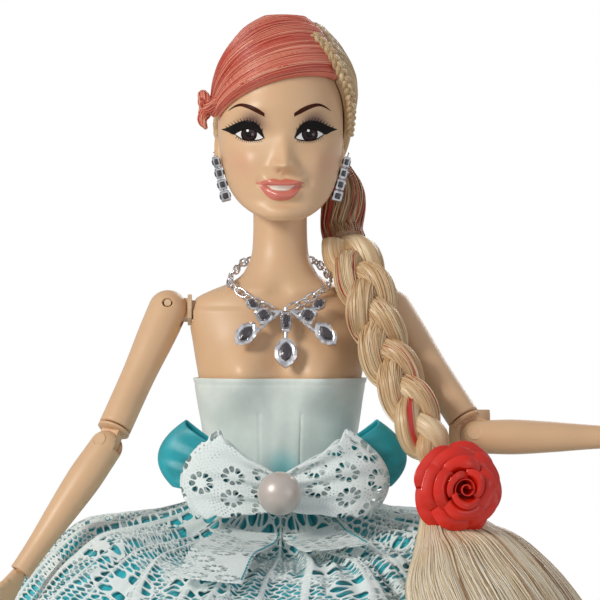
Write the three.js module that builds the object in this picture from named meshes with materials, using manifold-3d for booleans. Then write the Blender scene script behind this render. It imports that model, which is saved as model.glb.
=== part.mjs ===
// Jointed fashion doll in a strapless full gown, with a long braid, a bow and jewellery.
// Millimetres, +Z up, the face towards -Y, the origin on the floor under the middle of the doll.
import * as THREE from 'three';
import { mergeGeometries, mergeVertices } from 'three/addons/utils/BufferGeometryUtils.js';
import { LoftGeometry } from 'three/addons/geometries/LoftGeometry.js';
import Module from 'manifold-3d';

const wasm = await Module();
wasm.setup();

// Clearances shared by all pieces
const seatGap = 0.35;
const runningGap = 0.3;
const cutterSize = 400;
const cutOverrun = 2;
const weldDistance = 0.0004;

// Body heights
const ankleHeight = 12;
const shinLength = 76;
const thighLength = 77;
const hipToShoulder = 71.2;
const neckLength = 22;
const crotchDrop = 6;

// Torso and neck
const shoulderHalfWidth = 18.2;
const chestDepth = 8.4;
const hipDepth = 10.75;
const neckRadius = 5.4;
const neckSetback = 1.7;
const torsoRoundness = 2.3;
const bustDepth = 4.2;
const bustSpread = 7.6;
const bustWidth = 5.2;
const bustTall = 5.8;
const bustDrop = 13;
const torsoSides = 18;
const shellSeam = 0.3;

// Head
const headHeight = 38.8;
const headHalfWidth = 12.6;
const headDepth = 13.7;
const chinBelowPivot = 8.4;
const headTurn = 4;
const headSides = 20;
const hairSides = 18;
const pinSides = 8;
const pegSides = 10;
const noseLength = 7.2;
const noseDepth = 3.2;
const noseWidth = 2.1;
const noseTipAboveChin = 10.6;
const lipWidth = 4.7;
const lipDepth = 1.1;
const lipTall = 1.5;
const mouthAboveChin = 5.6;
const eyeSpread = 6.2;
const eyeAboveChin = 16.6;
const eyeSocketDepth = 1.1;
const eyeSocketWidth = 3.4;
const eyeSocketTall = 2.3;
const earLength = 8;
const earDepth = 4.6;
const earThickness = 2.2;
const earAboveChin = 14.2;

// Neck joint
const neckPegRadius = 2.2;
const neckPegLength = 5;
const neckDiscRadius = 4.4;
const neckDiscThickness = 0.6;
const neckEyeReach = 3.2;
const neckEyeRadius = 2.3;
const neckEyeThickness = 3;
const neckPinRadius = 0.8;
const neckPinLength = 8;
const neckRecessPlay = 1.7;
const neckNodPlay = 1.2;

// Hair
const hairThickness = 2.5;
const hairClearance = 1;
const hairBackFullness = 2.4;
const hairLeftShift = 0.9;
const hairlineDrop = 12.6;
const hairlinePitch = 38;
const hairlineRoll = 13;
const partingTurn = -24;
const partingLean = -26;
const knotLength = 6.4;
const knotWidth = 3.6;
const sidePlaitRadius = 1.25;
const gatherRadius = 4.6;

// Braid, band, tail and rose
const braidHalfWidth = 3.1;
const braidHalfDepth = 1.5;
const strandHalfWidth = 2.7;
const strandHalfDepth = 2.3;
const braidTurns = 2;
const braidSteps = 26;
const braidSides = 10;
const bandThickness = 0.8;
const roseRadius = 9.2;
const roseDepth = 6.6;
const petalThickness = 0.9;
const tailThickness = 4.6;

// Shoulders and arms
const shoulderPegRadius = 2;
const shoulderPegLength = 5;
const shoulderDiscRadius = 3.2;
const shoulderDiscThickness = 0.8;
const shoulderEyeRadius = 2.2;
const shoulderEyeThickness = 2;
const shoulderPinRadius = 0.75;
const armTopRadius = 4;
const upperArmLength = 32;
const upperArmRadius = 3.7;
const elbowRadius = 3.3;
const elbowEyeRadius = 2.1;
const elbowEyeThickness = 2;
const elbowPinRadius = 0.7;
const elbowPegRadius = 1.5;
const elbowPegLength = 4.5;
const forearmLength = 30.6;
const wristRadius = 2.15;
const wristPegRadius = 1.1;
const wristPegLength = 3.4;
const limbSides = 10;
const legSides = 8;

// Hands
const palmLength = 8.4;
const palmWidth = 6;
const palmThickness = 2.5;
const fingerLength = 8.6;
const fingerRadius = 0.72;
const thumbLength = 6;
const fingerSides = 4;

// Hips and legs
const hipSpread = 10.1;
const thighTopRadius = 7.2;
const crotchHalfWidth = 2.6;
const hipPegRadius = 2.2;
const hipPegLength = 2.2;
const hipEyeRadius = 3.2;
const hipEyeThickness = 3;
const hipPinRadius = 1.1;
const hipSetback = 0.6;
const kneeRadius = 5.3;
const kneeEyeRadius = 3.6;
const kneeEyeThickness = 3;
const kneePinRadius = 1;
const footLength = 22;
const footHalfWidth = 3.7;
const shoeWall = 0.9;
const soleThickness = 1.1;
const heelTipRadius = 1;

// Gown and bodice
const hemRadius = 113;
const waistShare = 0.48455;
const clothThickness = 0.6;
const clothGap = 0.5;
const foldDepth = 3;
const foldCount = 10;
const stepsPerFold = 4;
const skirtRows = 6;
const hemRise = 1.6;
const gownFrontDrop = 7.5;
const bodiceTopDrop = 13.6;
const bodiceThickness = 0.8;
const sashHeight = 4.2;
const flapWidth = 6;

// Bow
const bowRise = 1;
const ribbonLoopLength = 24.5;
const ribbonLoopHeight = 12;
const laceLoopLength = 20.5;
const laceLoopHeight = 15.5;
const loopPuff = 1.4;
const ribbonRise = 7;
const laceRise = 3.4;
const loopSweep = 3.4;
const ribbonThickness = 0.7;
const knotHalfWidth = 3.6;
const pearlRadius = 4.3;
const bowTailWidth = 12.5;
const bowTailLength = 62;
const shortTailLength = 34;

// Jewellery
const linkLength = 2.9;
const linkWidth = 1.8;
const linkWire = 0.33;
const chainFrontDrop = 10;
const chainBackRise = 10.3;
const pendantWidth = 22;
const pendantHeight = 13;
const stoneThickness = 1.5;
const pendantTilt = 20;
const pendantShift = 1.2;
const chainClearance = 1.2;
const dropLength = 10.6;
const dropWidth = 2.1;

// Arm angles at rest, in degrees
const rightArm = { side: -1, name: 'right', swing: 23.5, spread: 22, twist: 29.3, bend: 13, wrist: 0 };
const leftArm = { side: 1, name: 'left', swing: 23.5, spread: 30.8, twist: -6.3, bend: 57.2, wrist: 60 };

// Heights and places worked out from the sizes
const hipHeight = ankleHeight + shinLength + thighLength;
const torsoBottom = hipHeight - crotchDrop;
const shoulderHeight = hipHeight + hipToShoulder;
const neckTop = shoulderHeight + neckLength;
const waistHeight = hipHeight + hipToShoulder * waistShare;
const bodiceTop = shoulderHeight - bodiceTopDrop;
const bowHeight = waistHeight + bowRise;
const chainBackHeight = shoulderHeight + chainBackRise;
const shoulderX = shoulderHalfWidth + seatGap + armTopRadius;
const layerPitch = clothThickness + clothGap;

// Colours and finishes
const finish = (color, roughness, metalness = 0) =>
  new THREE.MeshStandardMaterial({ color, roughness, metalness });
const skin = finish(0xe2be96, 0.45);
const hiddenPlastic = finish(0xe6c8a4, 0.5);
const blondHair = finish(0xe8d0a0, 0.4);
const pinkHair = finish(0xe08a7a, 0.4);
const mintSatin = finish(0xcfddd5, 0.4);
const turquoiseSatin = finish(0x2bb5be, 0.4);
const ribbonSatin = finish(0x1fa9b5, 0.35);
const whiteLace = finish(0xd8e8e2, 0.7);
const stiffNet = finish(0xe6f0f0, 0.8);
const roseResin = finish(0xe02510, 0.2);
const pearlCoat = finish(0xc9bfb6, 0.2);
const silver = finish(0xc8c8cc, 0.2, 1);
const shoePlastic = finish(0xbfe3e6, 0.25);
const elastic = finish(0x2a2a2a, 0.8);

const doll = new THREE.Group();

// Solids: loft, lathe and other closed meshes turned into joined or cut pieces
const radians = THREE.MathUtils.degToRad;
const mix = THREE.MathUtils.lerp;

function meshVolume(points, faces) {
  const [a, b, c] = [new THREE.Vector3(), new THREE.Vector3(), new THREE.Vector3()];
  let volume = 0;
  for (let i = 0; i < faces.length; i += 3) {
    a.fromArray(points, faces[i] * 3);
    b.fromArray(points, faces[i + 1] * 3);
    c.fromArray(points, faces[i + 2] * 3);
    volume += a.dot(b.cross(c));
  }
  return volume;
}

function solid(geometry) {
  const bare = new THREE.BufferGeometry();
  bare.setAttribute('position', geometry.attributes.position);
  bare.setIndex(geometry.index);
  const welded = mergeVertices(bare, weldDistance);
  const points = Float32Array.from(welded.attributes.position.array);
  const faces = Uint32Array.from(welded.index.array);
  if (meshVolume(points, faces) < 0) {
    for (let i = 0; i < faces.length; i += 3) {
      [faces[i + 1], faces[i + 2]] = [faces[i + 2], faces[i + 1]];
    }
  }
  return new wasm.Manifold(new wasm.Mesh({ numProp: 3, vertProperties: points, triVerts: faces }));
}

function join(first, ...others) {
  return others.reduce((sum, other) => sum.add(other), first);
}

function cut(first, ...others) {
  return others.reduce((rest, other) => rest.subtract(other), first);
}

function common(first, other) {
  return first.intersect(other);
}

function surface(shape) {
  const mesh = shape.getMesh();
  const geometry = new THREE.BufferGeometry();
  const points = Float32Array.from(mesh.vertProperties);
  geometry.setAttribute('position', new THREE.BufferAttribute(points, 3));
  geometry.setIndex(new THREE.BufferAttribute(Uint32Array.from(mesh.triVerts), 1));
  geometry.computeVertexNormals();
  return geometry;
}

function addPiece(parent, name, shape, material) {
  const mesh = new THREE.Mesh(surface(shape), material);
  mesh.name = name;
  parent.add(mesh);
  return mesh;
}

function childGroup(parent, x, y, z) {
  const group = new THREE.Group();
  group.position.set(x, y, z);
  parent.add(group);
  return group;
}

const capped = { capStart: true, capEnd: true };

function middleOf(ring) {
  return ring.reduce((sum, point) => sum.add(point), new THREE.Vector3()).divideScalar(ring.length);
}

// Rings run anticlockwise as seen from the far end, so that walls and caps face the same way
function wound(rings) {
  const normal = new THREE.Vector3();
  const first = rings[0];
  first.forEach((point, i) => {
    normal.add(point.clone().cross(first[(i + 1) % first.length]));
  });
  const along = middleOf(rings[1]).sub(middleOf(first));
  return normal.dot(along) < 0 ? rings.map((ring) => ring.slice().reverse()) : rings;
}

function loft(rings) {
  return solid(new LoftGeometry(wound(rings), capped));
}

// A hollow piece whose outer and inner walls are split into the same facets
function shell(outerRings, innerRings) {
  const last = outerRings.length - 1;
  const innerWall = new LoftGeometry(innerRings);
  const faces = innerWall.index.array;
  for (let i = 0; i < faces.length; i += 3) {
    [faces[i + 1], faces[i + 2]] = [faces[i + 2], faces[i + 1]];
  }
  const end = new LoftGeometry([outerRings[last], innerRings[last]]);
  const start = new LoftGeometry([innerRings[0], outerRings[0]]);
  return solid(mergeGeometries([new LoftGeometry(outerRings), innerWall, end, start]));
}

function moved(geometry, x, y, z) {
  return geometry.translate(x, y, z);
}

function ball(radius, x, y, z, wide = 1, deep = 1, tall = 1, across = 12, down = 8) {
  const geometry = new THREE.SphereGeometry(radius, across, down);
  geometry.rotateX(Math.PI / 2);
  geometry.scale(wide, deep, tall);
  return solid(moved(geometry, x, y, z));
}

function block(wide, deep, tall, x, y, z) {
  return solid(moved(new THREE.BoxGeometry(wide, deep, tall), x, y, z));
}

// A cylinder along one axis, its middle at the given place
function rod(radius, length, axis, x, y, z, sides = pinSides) {
  const geometry = new THREE.CylinderGeometry(radius, radius, length, sides);
  if (axis === 'x') geometry.rotateZ(Math.PI / 2);
  if (axis === 'z') geometry.rotateX(Math.PI / 2);
  return solid(moved(geometry, x, y, z));
}

// A half space as a large block whose upper face passes through the point
function below(point, tiltX, tiltY) {
  const geometry = new THREE.BoxGeometry(cutterSize, cutterSize, cutterSize);
  geometry.translate(0, 0, -cutterSize / 2);
  geometry.rotateY(tiltY);
  geometry.rotateX(tiltX);
  return solid(moved(geometry, point.x, point.y, point.z));
}

// Tables of rows are read as smooth curves, one column for each value
function smoothTable(rows) {
  const width = rows[0].length - 1;
  const places = Float64Array.from(rows.map((row) => row[0]));
  const values = Float64Array.from(rows.flatMap((row) => row.slice(1)));
  const curve = new THREE.CubicInterpolant(places, values, width);
  return (place) => Array.from(curve.evaluate(place));
}

function finerRows(rows, parts) {
  const read = smoothTable(rows);
  const finer = [];
  for (let i = 0; i < rows.length - 1; i++) {
    for (let j = 0; j < parts; j++) {
      const place = mix(rows[i][0], rows[i + 1][0], j / parts);
      finer.push([place, ...read(place)]);
    }
  }
  finer.push(rows[rows.length - 1]);
  return finer;
}

function bell(distance, width) {
  return Math.exp(-((distance / width) ** 2));
}

// Torso sections: height, half width, half depth and middle, front to back
const torsoShares = [
  [0, 0.714, 0.7, 0.09],
  [0.052, 0.857, 0.84, 0.09],
  [0.168, 0.945, 1, 0.115],
  [0.337, 0.852, 0.93, 0.045],
  [0.505, 0.747, 0.805, -0.06],
  [0.635, 0.78, 0.82, -0.075],
  [0.738, 0.841, 0.85, -0.06],
  [0.79, 0.878, 0.858, -0.065],
  [0.842, 0.912, 0.86, -0.07],
  [0.88, 0.94, 0.853, -0.05],
  [0.92, 0.967, 0.84, -0.02],
  [0.972, 1, 0.78, 0],
];
const neckShares = [
  [0.03, 0.984, 0.817, 0.03],
  [0.117, 0.875, 0.65, 0.09],
  [0.185, 0.64, 0.517, 0.15],
  [0.243, 0.39, 0.4, 0.18],
  [0.311, 0.2, 0.3, 0.35],
  [0.403, 0.094, 0.167, 0.59],
  [0.5, 0.031, 0.083, 0.85],
  [0.62, 0.008, 0.033, 1],
  [1, 0, 0, 1],
];
const torsoRows = [
  ...torsoShares.map(([height, wide, deep, middle]) => [
    mix(torsoBottom, shoulderHeight, height),
    wide * shoulderHalfWidth,
    deep * hipDepth,
    middle * hipDepth,
  ]),
  ...neckShares.map(([height, wide, deep, middle]) => [
    mix(shoulderHeight, neckTop, height),
    mix(neckRadius, shoulderHalfWidth, wide),
    mix(neckRadius, chestDepth, deep),
    neckSetback * middle,
  ]),
];
const torsoAt = smoothTable(torsoRows);
const bustHeight = shoulderHeight - bustDrop;

function bustAt(x, height) {
  const sides = bell(x - bustSpread, bustWidth) + bell(x + bustSpread, bustWidth);
  return bustDepth * sides * bell(height - bustHeight, bustTall);
}

// Distance from the torso's own axis to its skin at an angle, seen from above
function torsoPoint(angle, height, offset) {
  const [wide, deep, middle] = torsoAt(height);
  const [c, s] = [Math.cos(angle), Math.sin(angle)];
  const power = height > shoulderHeight ? 2 : torsoRoundness;
  const reach = (grow) => {
    const share = Math.abs(c / (wide + grow)) ** power + Math.abs(s / (deep + grow)) ** power;
    return share ** (-1 / power);
  };
  const radius = reach(offset);
  const front = s < 0 ? bustAt(reach(0) * c, height) * Math.min(1, -s * 2) : 0;
  return new THREE.Vector3(radius * c, middle + radius * s - front, height);
}

function torsoRing(height, offset, sides = torsoSides) {
  const ring = [];
  for (let i = 0; i < sides; i++) {
    ring.push(torsoPoint((i / sides) * Math.PI * 2, height, offset));
  }
  return ring;
}

// The chest's front surface at a place seen from the front
function chestY(x, height) {
  const [wide, deep, middle] = torsoAt(height);
  const across = Math.min(1, Math.abs(x / wide));
  const depth = deep * (1 - across ** torsoRoundness) ** (1 / torsoRoundness);
  return middle - depth - bustAt(x, height);
}

// A flat plate along +X with a round eye at its end, bored along Y
function eyePlate(start, reach, eyeRadius, thickness, bore) {
  const outline = new THREE.Shape();
  outline.moveTo(start, -eyeRadius);
  outline.lineTo(reach, -eyeRadius);
  outline.absarc(reach, 0, eyeRadius, -Math.PI / 2, Math.PI / 2, false);
  outline.lineTo(start, eyeRadius);
  outline.closePath();
  const hole = new THREE.Path();
  hole.absarc(reach, 0, bore, 0, Math.PI * 2, true);
  outline.holes.push(hole);
  const plate = new THREE.ExtrudeGeometry(outline, {
    depth: thickness,
    bevelEnabled: false,
    curveSegments: 5,
  });
  plate.translate(0, 0, -thickness / 2);
  return plate.rotateX(Math.PI / 2);
}

// A swivel along +X: peg, disc and an upright eye for a cross pin along Y
function swivel(size) {
  const profile = [
    new THREE.Vector2(0, -size.pegLength),
    new THREE.Vector2(size.pegRadius, -size.pegLength),
    new THREE.Vector2(size.pegRadius, 0),
    new THREE.Vector2(size.discRadius, 0),
    new THREE.Vector2(size.discRadius, size.discThickness),
    new THREE.Vector2(0, size.discThickness),
  ];
  const turned = new THREE.LatheGeometry(profile, pegSides).rotateZ(-Math.PI / 2);
  const bore = size.pinRadius + runningGap;
  const start = size.discThickness / 2;
  const plate = eyePlate(start, size.reach, size.eyeRadius, size.eyeThickness, bore);
  return join(solid(turned), solid(plate));
}

// The hole that a swivel's peg and disc turn in, opening towards +X
function swivelSocket(size, discDepth) {
  const profile = [
    new THREE.Vector2(0, -size.pegLength - seatGap),
    new THREE.Vector2(size.pegRadius + runningGap, -size.pegLength - seatGap),
    new THREE.Vector2(size.pegRadius + runningGap, -seatGap),
    new THREE.Vector2(size.discRadius + runningGap, -seatGap),
    new THREE.Vector2(size.discRadius + runningGap, discDepth),
    new THREE.Vector2(0, discDepth),
  ];
  return new THREE.LatheGeometry(profile, pegSides).rotateZ(-Math.PI / 2);
}

// Slot in a limb's round top for a flat eye, open over the top and down one side
function eyeSlot(topRadius, eyeRadius, eyeThickness, openSide) {
  const width = eyeThickness + 2 * runningGap;
  const depth = eyeRadius + 2 * runningGap;
  const reach = topRadius + cutOverrun;
  const over = block(2 * reach, width, reach, 0, 0, reach / 2);
  const middle = (reach - depth) / 2;
  const beside = block(reach + depth, width, reach + depth, openSide * middle, 0, middle);
  return join(over, beside);
}

// A limb along -Z with a ball for its top: height, half width, half depth and how far forward
function limb(topRadius, rows, sides = limbSides) {
  const dome = [0.08, 0.3, 0.55, 0.8].map((share) => {
    const angle = share * (Math.PI / 2);
    const across = topRadius * Math.sin(angle);
    return [topRadius * Math.cos(angle), across, across, 0];
  });
  return loft([...dome, ...rows].map(([height, wide, deep, forward]) => {
    const ring = [];
    for (let i = 0; i < sides; i++) {
      const angle = (i / sides) * Math.PI * 2;
      ring.push(new THREE.Vector3(wide * Math.cos(angle), deep * Math.sin(angle) - forward, height));
    }
    return ring;
  }));
}

// Head sections: height, half width, middle, front and back measured from the neck's axis
const headShares = [
  [0, 0.238, -0.817, 0.949, -0.635],
  [0.026, 0.413, -0.745, 0.993, -0.453],
  [0.063, 0.579, -0.599, 0.993, -0.197],
  [0.105, 0.706, -0.453, 0.971, 0.095],
  [0.15, 0.794, -0.343, 0.985, 0.387],
  [0.202, 0.865, -0.27, 0.993, 0.591],
  [0.268, 0.921, -0.197, 0.985, 0.737],
  [0.346, 0.968, -0.124, 0.967, 0.825],
  [0.425, 0.992, -0.088, 0.94, 0.876],
  [0.504, 1, -0.066, 0.964, 0.898],
  [0.583, 1, -0.051, 0.998, 0.898],
  [0.661, 0.984, -0.051, 0.998, 0.883],
  [0.753, 0.929, -0.051, 0.956, 0.825],
  [0.845, 0.817, -0.051, 0.847, 0.708],
  [0.924, 0.627, -0.051, 0.657, 0.547],
  [0.976, 0.397, -0.051, 0.431, 0.314],
  [1, 0.143, -0.051, 0.182, 0.066],
];
const chinHeight = -chinBelowPivot;
const headRows = headShares.map(([height, wide, middle, front, back]) => [
  chinHeight + height * headHeight,
  wide * headHalfWidth,
  middle * headDepth,
  front * headDepth,
  back * headDepth,
]);
const headAt = smoothTable(headRows);

// How far the features of the face stand out of the plain skull
function faceRelief(x, height) {
  const above = height - chinHeight;
  const tip = noseTipAboveChin;
  const bridge = (tip + noseLength - above) / noseLength;
  const underTip = (above - (tip - noseDepth * 0.6)) / (noseDepth * 0.6);
  const ridge = above > tip ? Math.max(0, Math.min(1, bridge)) ** 1.4 : Math.max(0, underTip);
  const nose = noseDepth * Math.min(1, ridge) * bell(x, noseWidth * mix(0.7, 1, Math.min(1, ridge)));
  const lips = lipDepth * bell(above - mouthAboveChin, lipTall) * bell(x, lipWidth * 0.75);
  const eyeRow = bell(above - eyeAboveChin, eyeSocketTall);
  const sockets = bell(x - eyeSpread, eyeSocketWidth) + bell(x + eyeSpread, eyeSocketWidth);
  return nose + lips - eyeSocketDepth * eyeRow * sockets;
}

// A place on the head, the angle going from the face round to the doll's left
function headPoint(height, offset, angle, relief) {
  const [wide, middle, front, back] = headAt(height);
  const c = Math.cos(angle);
  const x = (wide + offset) * Math.sin(angle);
  const reach = c > 0 ? front + middle + offset : back - middle + offset;
  const y = middle - reach * Math.sign(c) * Math.abs(c) ** 0.92;
  const forward = relief && c > 0 ? faceRelief(x, height) * Math.min(1, 3 * c) : 0;
  return new THREE.Vector3(x, y - forward, height);
}

function headRing(height, offset, sides, relief) {
  const ring = [];
  for (let i = 0; i < sides; i++) {
    const even = (i / sides) * Math.PI * 2;
    ring.push(headPoint(height, offset, even - 0.3 * Math.sin(even), relief));
  }
  return ring;
}

function headSolid(offset, sides, relief) {
  const faceRows = headRows.findIndex((row) => row[0] > chinHeight + eyeAboveChin) + 1;
  const finer = [...finerRows(headRows.slice(0, faceRows), 2), ...headRows.slice(faceRows)];
  const rows = relief ? finer : headRows.filter((row, i) => i % 2 === 0);
  return loft(rows.map((row, i) => {
    const lift = i === 0 ? -offset : i === rows.length - 1 ? offset : 0;
    const ring = headRing(row[0], offset, sides, relief);
    return ring.map((point) => point.setZ(point.z + lift));
  }));
}

// Head and neck groups: the neck turns, the head nods on the swivel's pin
const neckSize = {
  pegRadius: neckPegRadius,
  pegLength: neckPegLength,
  discRadius: neckDiscRadius,
  discThickness: neckDiscThickness,
  reach: neckDiscThickness + neckEyeReach,
  eyeRadius: neckEyeRadius,
  eyeThickness: neckEyeThickness,
  pinRadius: neckPinRadius,
};
const neckGroup = childGroup(doll, 0, neckSetback, neckTop + seatGap);
neckGroup.rotation.z = radians(headTurn);
const headGroup = childGroup(neckGroup, 0, 0, neckSize.reach);

function addNeckJoint() {
  const piece = addPiece(neckGroup, 'neck_swivel', swivel(neckSize), hiddenPlastic);
  piece.rotation.set(0, -Math.PI / 2, 0);
  piece.rotation.order = 'ZYX';
  piece.rotation.z = Math.PI / 2;
  const pin = rod(neckPinRadius, neckPinLength, 'x', 0, 0, 0);
  addPiece(headGroup, 'neck_pin', pin, silver);
}

function ears(offset) {
  const height = chinHeight + earAboveChin;
  const x = headHalfWidth - earThickness * 0.35;
  const deep = (earDepth / 2 + offset) / (earLength / 2 + offset);
  const wide = (earThickness / 2 + offset) / (earLength / 2 + offset);
  return [-1, 1].map((side) => ball(earLength / 2 + offset, side * x, 0, height, wide, deep, 1, 8, 6));
}

function headCore(offset, sides, relief) {
  return join(headSolid(offset, sides, relief), ...ears(offset));
}

function addHead() {
  const recessRadius = neckRadius + neckRecessPlay;
  const recessTop = -neckSize.reach + neckDiscThickness + neckNodPlay;
  const recessTall = recessTop + headHeight;
  const recess = rod(recessRadius, recessTall, 'z', 0, 0, recessTop - recessTall / 2, 24);
  const slotWide = neckEyeThickness + 2 * runningGap;
  const slotDeep = 2 * (neckEyeRadius + neckRecessPlay);
  const slotTall = neckEyeRadius + 2 * runningGap + neckSize.reach;
  const slot = block(slotWide, slotDeep, slotTall, 0, 0, slotTall / 2 - neckSize.reach);
  const bore = rod(neckPinRadius + runningGap, neckPinLength + 2 * runningGap, 'x', 0, 0, 0);
  const head = cut(headCore(0, headSides, true), recess, slot, bore);
  addPiece(headGroup, 'head', head, skin);
}

// Hair cap: a thick skull less the head, cut off along the hairline, then parted in two
function combed(point) {
  const behind = Math.max(0, point.y / headDepth);
  return point.add(new THREE.Vector3(hairLeftShift, behind * hairBackFullness, 0));
}

function hairShell(thickness) {
  const rows = headRows.filter((row, i) => i % 2 === 0);
  return loft(rows.map((row, i) => {
    const lift = i === 0 ? -thickness : i === rows.length - 1 ? thickness : 0;
    const ring = headRing(row[0], thickness, hairSides, false);
    return ring.map((point) => combed(point).setZ(point.z + lift));
  }));
}

// A place on the outside of the combed hair
function hairPoint(height, offset, angle) {
  return combed(headPoint(height, hairThickness + offset, angle, false));
}

function addHair() {
  const inner = headCore(hairClearance, hairSides, false);
  const brow = new THREE.Vector3(0, -headDepth, chinHeight + headHeight - hairlineDrop);
  const face = below(brow, radians(-hairlinePitch), radians(-hairlineRoll));
  const cap = cut(hairShell(hairThickness), inner, face, ...ears(hairThickness * 0.8));
  const crownTop = chinHeight + headHeight;
  const frontOf = (shift) => {
    const geometry = new THREE.BoxGeometry(cutterSize, cutterSize, cutterSize);
    geometry.translate(0, -cutterSize / 2 - shift, 0);
    geometry.rotateZ(radians(partingTurn));
    return solid(moved(geometry, 0, headDepth * 0.1, crownTop));
  };
  const rightOf = (shift) => {
    const geometry = new THREE.BoxGeometry(cutterSize, cutterSize, cutterSize);
    geometry.translate(-cutterSize / 2 - shift, 0, 0);
    geometry.rotateY(radians(partingLean));
    return solid(moved(geometry, headHalfWidth * 0.48, 0, crownTop));
  };
  const half = seatGap / 2;
  const fringe = common(cap, common(frontOf(half), rightOf(half)));
  const crown = cut(cap, common(frontOf(-half), rightOf(-half)));
  addPiece(headGroup, 'hair_fringe', fringe, pinkHair);
  addPiece(headGroup, 'hair_crown', crown, blondHair);
}

addNeckJoint();
addHead();
addHair();

// Torso: one moulded form, split along the side seam, with sockets for the swivels
const shoulderSize = {
  pegRadius: shoulderPegRadius,
  pegLength: shoulderPegLength,
  discRadius: shoulderDiscRadius,
  discThickness: shoulderDiscThickness,
  reach: shoulderDiscThickness + armTopRadius,
  eyeRadius: shoulderEyeRadius,
  eyeThickness: shoulderEyeThickness,
  pinRadius: shoulderPinRadius,
};
const hipSize = {
  pegRadius: hipPegRadius,
  pegLength: hipPegLength,
  discRadius: Math.hypot(hipEyeRadius, hipEyeThickness / 2),
  discThickness: seatGap,
  reach: hipSpread - crotchHalfWidth,
  eyeRadius: hipEyeRadius,
  eyeThickness: hipEyeThickness,
  pinRadius: hipPinRadius,
};
const shoulderSeat = shoulderX - shoulderSize.reach;
const hipSeat = crotchHalfWidth + seatGap;
hipSize.reach = hipSpread - hipSeat;

function socketAt(size, depth, side, x, y, z) {
  const geometry = swivelSocket(size, depth);
  if (side < 0) geometry.rotateZ(Math.PI);
  return solid(moved(geometry, side * x, y, z));
}

function addTorso() {
  const form = loft(torsoRows.map((row) => torsoRing(row[0], 0)));
  const cutters = [];
  for (const side of [-1, 1]) {
    const deep = shoulderHalfWidth;
    cutters.push(socketAt(shoulderSize, deep, side, shoulderSeat, 0, shoulderHeight));
    const hipRoom = thighTopRadius / 2;
    cutters.push(socketAt(hipSize, hipRoom, side, hipSeat, hipSetback, hipHeight));
    const hollow = thighTopRadius + seatGap * 1.5;
    cutters.push(ball(hollow, side * hipSpread, hipSetback, hipHeight, 1, 1, 1, 12, 8));
    const legSpace = hipHeight - torsoBottom + cutOverrun;
    const wide = shoulderHalfWidth * 2;
    const x = side * (crotchHalfWidth + wide / 2);
    cutters.push(block(wide, wide * 2, legSpace, x, 0, hipHeight - legSpace / 2));
  }
  const neckSocket = swivelSocket(neckSize, cutOverrun).rotateY(-Math.PI / 2);
  neckSocket.translate(0, neckSetback, neckTop + seatGap);
  const body = cut(form, ...cutters, solid(neckSocket));
  const half = (side) => {
    const y = side * (cutterSize / 2 + shellSeam / 2);
    return block(cutterSize, cutterSize, cutterSize * 2, 0, y, 0);
  };
  addPiece(doll, 'torso_front', common(body, half(-1)), skin);
  addPiece(doll, 'torso_back', common(body, half(1)), skin);
}

// Arms: swivel at the shoulder, knuckle at the elbow, hand on a peg; built for the left side
const elbowSize = {
  pegRadius: elbowPegRadius,
  pegLength: elbowPegLength,
  discRadius: elbowRadius,
  discThickness: seatGap * 2,
  reach: elbowRadius + seatGap * 3,
  eyeRadius: elbowEyeRadius,
  eyeThickness: elbowEyeThickness,
  pinRadius: elbowPinRadius,
};
const upperArmShares = [
  [0, 1.08, 1.08],
  [0.2, 1.04, 1.05],
  [0.55, 0.91, 0.93],
  [1, 0.89, 0.89],
];
const forearmShares = [
  [0, 1, 1],
  [0.09, 1.02, 1.02],
  [0.25, 1.05, 1.04],
  [0.5, 0.92, 0.9],
  [0.78, 0.72, 0.7],
  [0.94, 0.66, 0.64],
  [1, 0.66, 0.64],
];

function drilled(radius, length, z) {
  return rod(radius + runningGap, length * 2, 'z', 0, 0, z, pegSides);
}

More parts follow.
